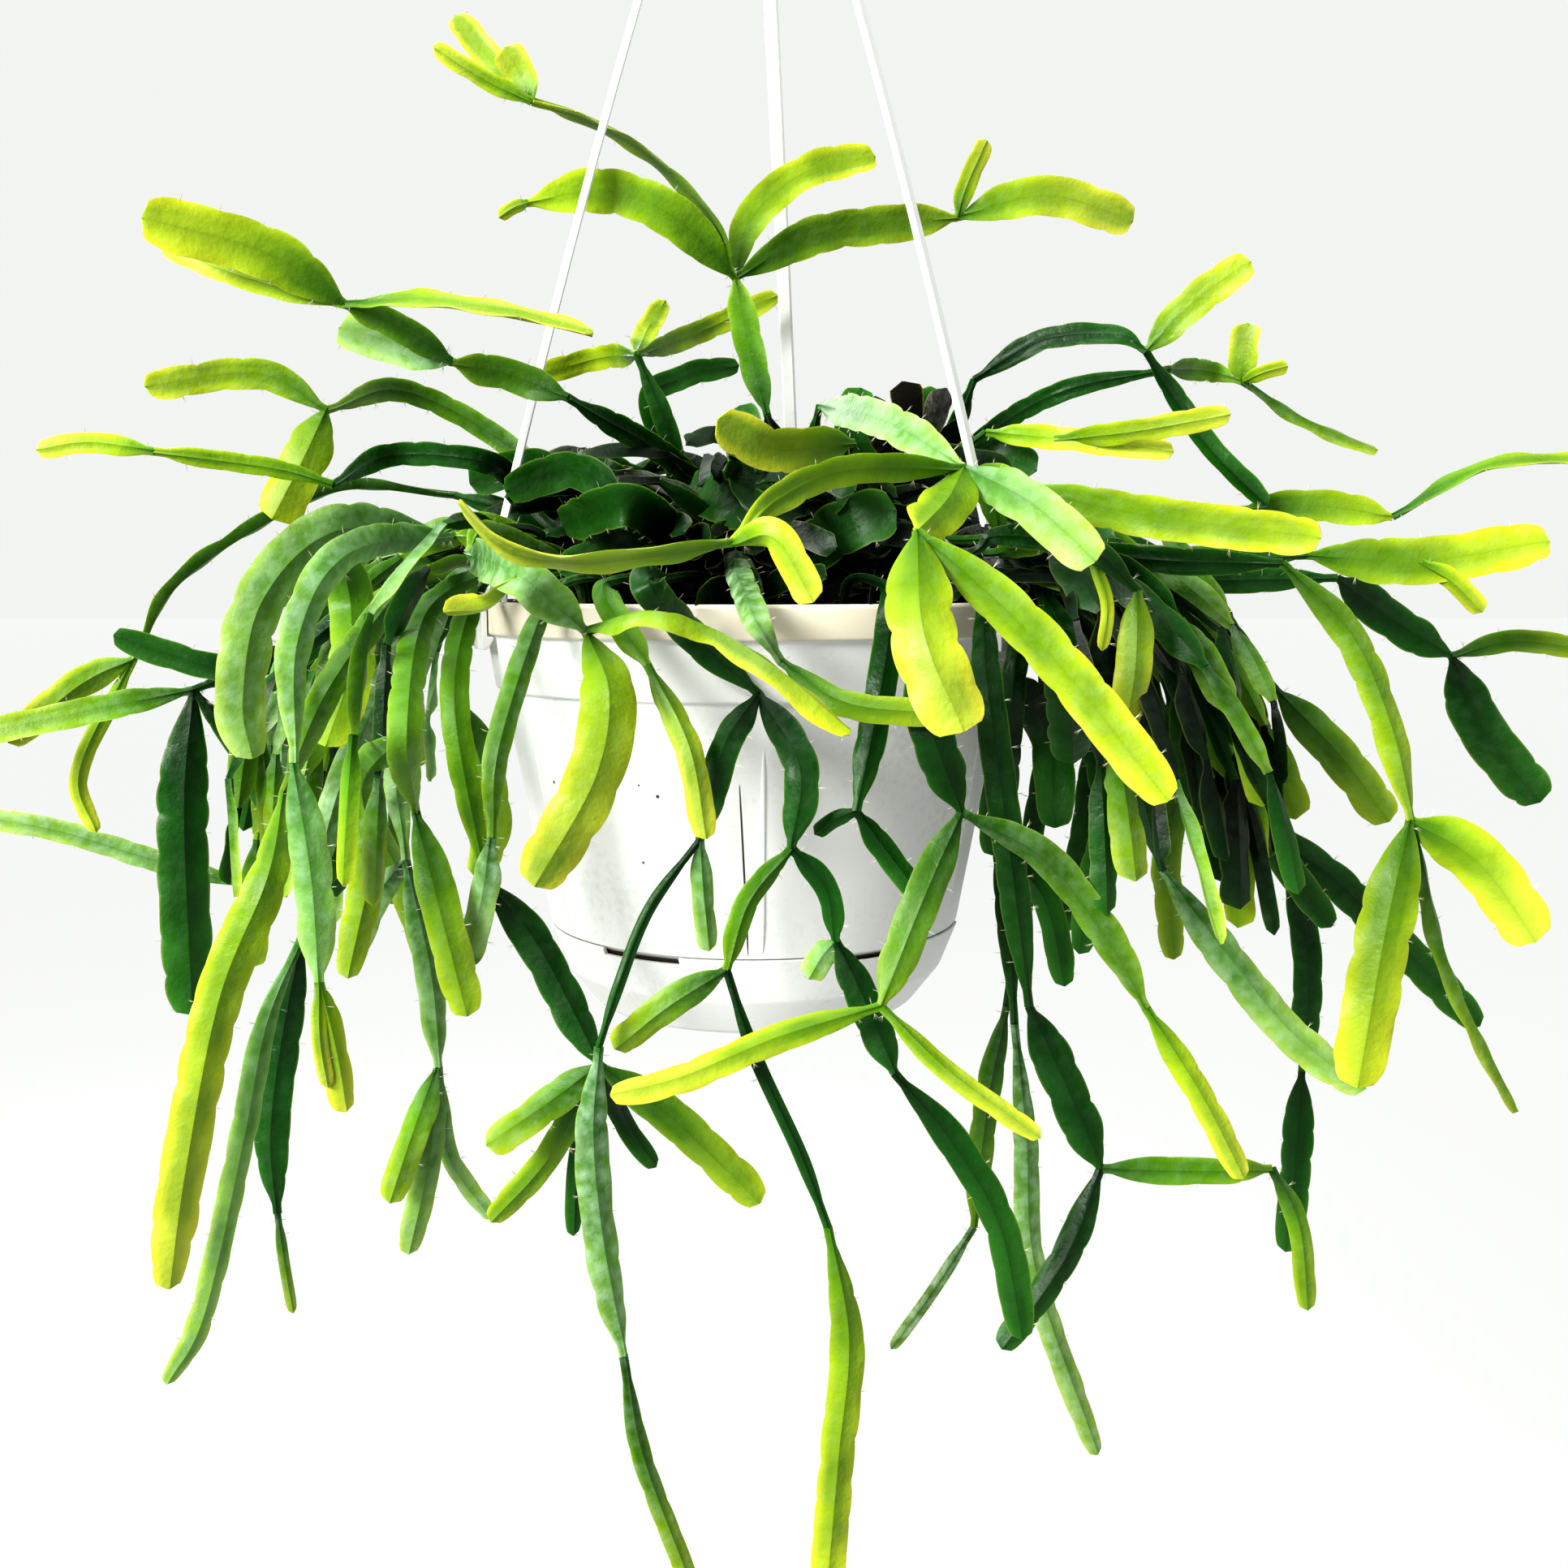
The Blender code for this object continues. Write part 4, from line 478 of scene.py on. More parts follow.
inner_top = RIM_RADIUS - RIM_WALL
slope = (BODY_TOP_RADIUS - BODY_FOOT_RADIUS) / (SEAM_DEPTH - COLLAR_DEPTH)
shell = turned("shell", [(radius, RIM_Z - depth) for radius, depth in (
    (0, BASE_DEPTH - POT_WALL),
    (BASE_RADIUS - 0.0012, BASE_DEPTH - POT_WALL),
    (PLUG_RADIUS - POT_WALL, SEAM_DEPTH),
    (BODY_FOOT_RADIUS - POT_WALL, SEAM_DEPTH - 0.002),
    (BODY_TOP_RADIUS - POT_WALL, COLLAR_DEPTH + 0.0006),
    (COLLAR_FOOT_RADIUS - POT_WALL, COLLAR_DEPTH - 0.0006),
    (inner_top - 0.0008, RIM_BAND),
    (inner_top + 0.0004, 0),
    (RIM_RADIUS - 0.0010, 0),
    (RIM_RADIUS, 0.0010),
    (RIM_RADIUS, RIM_BAND),
    (COLLAR_RADIUS, RIM_BAND + 0.0002),
    (COLLAR_FOOT_RADIUS, COLLAR_DEPTH),
    (BODY_TOP_RADIUS, COLLAR_DEPTH + 0.0006),
    (BODY_FOOT_RADIUS, SEAM_DEPTH - CLEARANCE),
    (PLUG_RADIUS, SEAM_DEPTH - CLEARANCE),
    (BASE_RADIUS, BASE_DEPTH),
    (0, BASE_DEPTH),
)], POT_ROUND)
for number in range(DRAIN_COUNT):
    bpy.ops.mesh.primitive_cylinder_add(
        vertices=32, radius=DRAIN_RADIUS, depth=0.02,
        location=around(number * 360 / DRAIN_COUNT, DRAIN_CIRCLE, RIM_Z - BASE_DEPTH),
    )
    drain = bpy.context.object
    cut = shell.modifiers.new("drain", "BOOLEAN")
    cut.object = drain
    finished(shell)
    bpy.data.objects.remove(drain, do_unlink=True)


def upright_bead(name, middle_radius, lean, top, foot, wide, proud, azimuth):
    """A slim bead down the pot's side, pointed at both ends, which follows the wall's slope."""
    form = bmesh.new()
    bmesh.ops.create_uvsphere(form, u_segments=12, v_segments=24, radius=1)
    for vert in form.verts:
        share = (1 - vert.co.z) / 2
        full = min(1.0, 8 * share, 8 * (1 - share)) ** 0.5 / max(1e-6, math.hypot(vert.co.x, vert.co.y))
        flat = 0 if math.hypot(vert.co.x, vert.co.y) < 1e-6 else full
        depth = top + (foot - top) * share
        radius = middle_radius(depth) + proud * vert.co.x * flat
        turn = math.radians(azimuth + lean * (share - 0.5))
        tangent = Vector((math.cos(turn), math.sin(turn), 0))
        vert.co = around(math.degrees(turn), radius, RIM_Z - depth) + tangent * (wide / 2 * vert.co.y * flat)
    bmesh.ops.recalc_face_normals(form, faces=form.faces)
    mesh = bpy.data.meshes.new(name)
    form.to_mesh(mesh)
    form.free()
    mesh.shade_smooth()
    return bpy.data.objects.new(name, mesh)


def wall_radius(depth):
    return BODY_TOP_RADIUS - slope * (depth - COLLAR_DEPTH)


def pot_plastic():
    """The pot's white plastic, yellowed on its sunlit rim band, darkened inside the seam by dirt and painted
    shade, with a few specks.
    """
    made = moulded_plastic("pot_plastic", PLASTIC_WHITE, PLASTIC_DUST, 0.4, 0.40)
    tree = made.node_tree
    shader = tree.nodes["Principled BSDF"]
    plain = shader.inputs["Base Color"].links[0].from_socket
    place = tree.nodes["Texture Coordinate"].outputs["Object"]
    height = add(tree, "ShaderNodeSeparateXYZ", place).outputs["Z"]
    stain = sums(tree, "MULTIPLY", noise(tree, place, 30, 4), 0.35)
    band = spread(tree, height, RIM_Z - RIM_BAND - 0.0002, RIM_Z - RIM_BAND + 0.0002)
    stained = sums(tree, "MULTIPLY", stain, band)
    cream = blended(tree, sums(tree, "SUBTRACT", band, stained), plain, BAND_CREAM)
    # Below the seam the plug, seen only through the slots, is darkened: partly dirt, partly painted shade for
    # the slots' dark inside.
    seam_dirt_and_shade = spread(tree, height, RIM_Z - SEAM_DEPTH, RIM_Z - SEAM_DEPTH - 0.0012)
    dirty_and_shaded = blended(tree, seam_dirt_and_shade, cream, DIRT_AND_SHADE_DARK)
    spots = add(tree, "ShaderNodeTexVoronoi", Vector=place, Scale=58.0).outputs["Distance"]
    dirt = spread(tree, spots, 0.045, 0.03)
    tree.links.new(blended(tree, dirt, dirty_and_shaded, DIRT_AND_SHADE_DARK), shader.inputs["Base Color"])
    return made


class Tree:
    """Geometry nodes written as calls, with named sizes as inputs of the tree."""

    def __init__(self, name, **sizes):
        self.group = bpy.data.node_groups.new(name, "GeometryNodeTree")
        self.group.interface.new_socket("Geometry", in_out="INPUT", socket_type="NodeSocketGeometry")
        for size in sizes:
            self.group.interface.new_socket(size, in_out="INPUT", socket_type="NodeSocketFloat")
        self.group.interface.new_socket("Geometry", in_out="OUTPUT", socket_type="NodeSocketGeometry")
        self.sizes = sizes
        self.given = self.group.nodes.new("NodeGroupInput").outputs
        self.out = self.group.nodes.new("NodeGroupOutput")

    def node(self, kind, *sockets, settings=None, **named):
        return add(self.group, kind, *sockets, settings=settings, **named)

    def maths(self, operation, *values):
        return sums(self.group, operation, *values)

    def product(self, first, *others):
        for other in others:
            first = self.maths("MULTIPLY", first, other)
        return first

    def scaled(self, direction, amount):
        return self.node(
            "ShaderNodeVectorMath", settings={"operation": "SCALE"}, Vector=direction, Scale=amount
        ).outputs[0]

    def plus(self, first, second):
        return self.node("ShaderNodeVectorMath", first, second, settings={"operation": "ADD"}).outputs[0]

    def read(self, name, kind="FLOAT"):
        return self.node(
            "GeometryNodeInputNamedAttribute", settings={"data_type": kind}, Name=name
        ).outputs["Attribute"]

    def store(self, geometry, name, value, kind="FLOAT"):
        return self.node(
            "GeometryNodeStoreNamedAttribute", geometry, Name=name, Value=value,
            settings={"data_type": kind},
        ).outputs[0]

    def ends(self, result, finish):
        """Makes every instance real, gives all of it the finish, and leaves it as the tree's result."""
        real = self.node("GeometryNodeRealizeInstances", result).outputs[0]
        done = self.node("GeometryNodeSetMaterial", real, Material=finish).outputs[0]
        self.group.links.new(done, self.out.inputs[0])

    def run(self, made):
        """The object's mesh put through the tree, as a plain mesh."""
        step = made.modifiers.new("nodes", "NODES")
        step.node_group = self.group
        for socket in self.group.interface.items_tree:
            if socket.in_out == "INPUT" and socket.name in self.sizes:
                step[socket.identifier] = self.sizes[socket.name]
        finished(made)


rib = upright_bead("rib", wall_radius, 0, RIB_TOP_DEPTH, RIB_FOOT_DEPTH, RIB_WIDTH, RIB_PROUD, 0)
bpy.context.scene.collection.objects.link(rib)
ribs = Tree("pot_ribs", Ribs=RIB_COUNT, Turn=math.radians(RIB_AZIMUTH))
axis = ribs.node("GeometryNodeMeshLine", Count=ribs.given["Ribs"], Offset=(0, 0, 0)).outputs[0]
spot = ribs.node("GeometryNodeInputIndex").outputs[0]
step = ribs.maths("DIVIDE", 2 * math.pi, ribs.given["Ribs"])
angle = ribs.maths("ADD", ribs.product(step, spot), ribs.given["Turn"])
ring = ribs.node(
    "GeometryNodeInstanceOnPoints", axis,
    Instance=ribs.node("GeometryNodeObjectInfo", Object=rib).outputs["Geometry"],
    Rotation=ribs.node("ShaderNodeCombineXYZ", Z=angle).outputs[0],
).outputs[0]
both = ribs.node("GeometryNodeJoinGeometry").inputs[0]
ribs.group.links.new(ring, both)
ribs.group.links.new(ribs.given["Geometry"], both)
pot_white = pot_plastic()
ribs.ends(both.node.outputs[0], pot_white)
ribs.run(shell)
bpy.data.objects.remove(rib, do_unlink=True)
shell.name = "pot_shell"
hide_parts("pot")
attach(shell, "root")

# The slit is a thin near-black sliver laid on the wall: a painted shadow for the dark inside of a hairline
# slit.
slit_shade = upright_bead(
    "pot_slit", wall_radius, SLIT_LEAN, SLIT_TOP_DEPTH, SLIT_FOOT_DEPTH, SLIT_WIDTH, 0.00006, SLIT_AZIMUTH
)
bpy.context.scene.collection.objects.link(slit_shade)
slit_shade.data.materials.append(moulded_plastic("slit_shadow", DIRT_AND_SHADE_DARK, PLASTIC_DUST, 0.2, 0.8))
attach(slit_shade, "root")


# The saucer. A shallow cup in the same white plastic that clips round the pot's plug. Six slots in its
# upper edge let surplus water run out, and show as dark lines in the seam.
SAUCER_RADIUS = 0.0770
SAUCER_FOOT_RADIUS = 0.0600
SAUCER_BASE_DEPTH = 0.1480
SAUCER_WALL = 0.0016
SLOT_WIDTH = 0.031
SLOT_HEIGHT = 0.0025
SLOT_AZIMUTH = -31
saucer = turned("saucer_shell", [(radius, RIM_Z - depth) for radius, depth in (
    (0, SAUCER_BASE_DEPTH - SAUCER_WALL),
    (SAUCER_FOOT_RADIUS - 0.002, SAUCER_BASE_DEPTH - SAUCER_WALL),
    (SAUCER_RADIUS - 0.0065 - SAUCER_WALL, SEAM_DEPTH + 0.016),
    (SAUCER_RADIUS - SAUCER_WALL, SEAM_DEPTH),
    (SAUCER_RADIUS, SEAM_DEPTH),
    (SAUCER_RADIUS - 0.0063, SEAM_DEPTH + 0.016),
    (SAUCER_FOOT_RADIUS + 0.0008, SAUCER_BASE_DEPTH - 0.0012),
    (SAUCER_FOOT_RADIUS - 0.0008, SAUCER_BASE_DEPTH),
    (0, SAUCER_BASE_DEPTH),
)], POT_ROUND)
for number in range(RIB_COUNT):
    bpy.ops.mesh.primitive_cube_add(
        size=1, location=around(SLOT_AZIMUTH + number * 360 / RIB_COUNT, SAUCER_RADIUS, RIM_Z - SEAM_DEPTH),
        rotation=(0, 0, math.radians(SLOT_AZIMUTH + number * 360 / RIB_COUNT - 90)),
        scale=(0.012, SLOT_WIDTH, SLOT_HEIGHT * 2),
    )
    slot = bpy.context.object
    cut = saucer.modifiers.new("slot", "BOOLEAN")
    cut.object = slot
    finished(saucer)
    bpy.data.objects.remove(slot, do_unlink=True)
saucer.data.shade_smooth()
saucer.data.set_sharp_from_angle(angle=math.radians(38))
saucer.data.materials.clear()
saucer.data.materials.append(moulded_plastic("saucer_plastic", PLASTIC_WHITE, PLASTIC_DUST, 0.45, 0.40))
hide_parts("saucer")
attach(saucer, "root")


# The potting soil. Dark peat, heaped a little in the middle, with crumbs of bark and a few white grains
# of perlite worked into it. It fills the pot up to a finger's breadth under the rim.
SOIL_DEPTH = 0.018
SOIL_GAP = 0.0004
PEG_DEPTH = 0.012
SOIL_HEAP = 0.010
SOIL_RINGS, SOIL_TURNS = 24, 72
CRUMB_SIZE = 0.0011
CRUMB_DENSITY = 95000
CRUMB_SEED = 3
PEAT, BARK, PERLITE = (0.016, 0.011, 0.008), (0.075, 0.042, 0.022), (0.62, 0.60, 0.55)


def peat_finish():
    """Crumbly peat: each crumb has its own brown, and one in thirty is white perlite."""
    made, tree, shader, place = new_finish("peat", 0.92)
    shader.inputs["Specular IOR Level"].default_value = 0.15
    own = add(tree, "ShaderNodeAttribute", settings={"attribute_name": "crumb"}).outputs["Fac"]
    rough = noise(tree, place, 420, 4)
    brown = blended(tree, sums(tree, "MULTIPLY", own, rough), PEAT, BARK)
    colour = blended(tree, spread(tree, own, 0.965, 0.97), brown, PERLITE)
    tree.links.new(colour, shader.inputs["Base Color"])
    lumps = add(tree, "ShaderNodeBump", Strength=0.9, Distance=0.002, Height=rough)
    tree.links.new(lumps.outputs["Normal"], shader.inputs["Normal"])
    return made


soil_gap = SOIL_GAP + POT_WALL
soil_low = BASE_DEPTH - POT_WALL - SOIL_GAP
soil_share = (SOIL_DEPTH - RIM_BAND) / (COLLAR_DEPTH - RIM_BAND)
soil_radius = COLLAR_RADIUS - 0.0017 + (COLLAR_FOOT_RADIUS - COLLAR_RADIUS) * soil_share - soil_gap
heap = [
    (soil_radius * (1 - share), SOIL_DEPTH - SOIL_HEAP * math.sin(math.pi / 2 * share) ** 2)
    for share in (ring / SOIL_RINGS for ring in range(SOIL_RINGS + 1))
]
soil = turned("soil_body", [(radius, RIM_Z - depth) for radius, depth in (
    (0, soil_low),
    (BASE_RADIUS - 0.0022, soil_low),
    (PLUG_RADIUS - soil_gap, SEAM_DEPTH - 0.0002),
    (BODY_FOOT_RADIUS - soil_gap, SEAM_DEPTH - 0.0022),
    (BODY_TOP_RADIUS - soil_gap, COLLAR_DEPTH + 0.0008),
    (COLLAR_FOOT_RADIUS - soil_gap, COLLAR_DEPTH - 0.0008),
    *heap,
)], 0.0004, SOIL_TURNS)
bpy.ops.mesh.primitive_ico_sphere_add(subdivisions=1, radius=1)
crumb = bpy.context.object
crumbs = Tree("soil_crumbs", Density=CRUMB_DENSITY, Size=CRUMB_SIZE)
level = crumbs.node("ShaderNodeSeparateXYZ", crumbs.node("GeometryNodeInputPosition").outputs[0]).outputs["Z"]
up = crumbs.node("ShaderNodeSeparateXYZ", crumbs.node("GeometryNodeInputNormal").outputs[0]).outputs["Z"]
top = crumbs.product(
    crumbs.maths("GREATER_THAN", up, 0.5), crumbs.maths("GREATER_THAN", level, RIM_Z - SOIL_DEPTH - 0.001)
)
spots = crumbs.node(
    "GeometryNodeDistributePointsOnFaces", crumbs.given["Geometry"], Selection=top,
    Density=crumbs.given["Density"], Seed=CRUMB_SEED,
).outputs["Points"]
spots = crumbs.store(spots, "crumb", crumbs.node(
    "FunctionNodeRandomValue", settings={"data_type": "FLOAT"}, Seed=CRUMB_SEED
).outputs[1])
turn = crumbs.node(
    "FunctionNodeRandomValue", Max=(6.28, 6.28, 6.28), settings={"data_type": "FLOAT_VECTOR"}
).outputs[0]
sizes = crumbs.node(
    "FunctionNodeRandomValue", Min=(0.4, 0.4, 0.3), Max=(1.9, 1.5, 0.9), Seed=CRUMB_SEED + 1,
    settings={"data_type": "FLOAT_VECTOR"},
).outputs[0]
scattered = crumbs.node(
    "GeometryNodeInstanceOnPoints", spots, Rotation=turn, Scale=crumbs.scaled(sizes, crumbs.given["Size"]),
    Instance=crumbs.node("GeometryNodeObjectInfo", Object=crumb).outputs["Geometry"],
).outputs[0]
both = crumbs.node("GeometryNodeJoinGeometry").inputs[0]
crumbs.group.links.new(scattered, both)
crumbs.group.links.new(crumbs.given["Geometry"], both)
crumbs.ends(both.node.outputs[0], peat_finish())
crumbs.run(soil)
bpy.data.objects.remove(crumb, do_unlink=True)
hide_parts("soil")
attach(soil, "root")


# The plant. Flat, leaf-like joints that grow end to end out of the soil, hang over the rim all round and
# branch from each joint's tip. Each has a raised middle vein, a scalloped edge and a narrow woody neck.
THIN_WIDTH = 6.0
JOINT_HALF = 2.1
JOINT_THICK = 1.5
BLADE_THICK = 1.15
TIP_THICK = 0.6
TIP_SHARE = 0.34
SHOULDER_SHARE = 0.34
NECK_SHARE = 0.26
ROUND_SHARE = 0.16
SHOULDER_POWER = 0.85
BACK_FACE = 0.075
LIFT_SHARE = 0.8

SETTLE_ROUNDS = 120
SETTLE_GAP = 1.6
SETTLE_STEP = 0.5
SETTLE_SPACING = 4.5
SETTLE_REACH = 45.0
BESIDE_MARGIN = 1.6
DEPTH_MARGIN = 1.5
POT_MARGIN = 1.5
LEG_HALF, FOOT_HALF, LEG_DEEP = 3.2, 8.0, 2.2
LEG_SPOTS = 70
BACK_SIDE = 20.0
CLEAR_OVER = 0.004
BAND_FOOT = 0.008
BAND_CLEAR = 0.0028

LIME, FRESH, GREEN, DARK, PALE = "lime", "fresh", "green", "dark", "pale"
# Each tone runs from a joint's neck through its middle to its tip: lighter new growth at the tips, and necks
# darkened partly by older skin and partly as painted shade.
TONES = {
    LIME: ((0.07, 0.20, 0.003), (0.24, 0.38, 0.008), (0.44, 0.50, 0.040)),
    FRESH: ((0.045, 0.15, 0.003), (0.18, 0.31, 0.006), (0.38, 0.47, 0.018)),
    GREEN: ((0.014, 0.080, 0.003), (0.085, 0.22, 0.005), (0.25, 0.37, 0.012)),
    DARK: ((0.001, 0.020, 0.001), (0.005, 0.055, 0.003), (0.020, 0.11, 0.008)),
    # The pale tone's greyer green is painted reflection: glossy joints that mirror the window.
    PALE: ((0.035, 0.14, 0.020), (0.13, 0.29, 0.055), (0.27, 0.44, 0.07)),
}

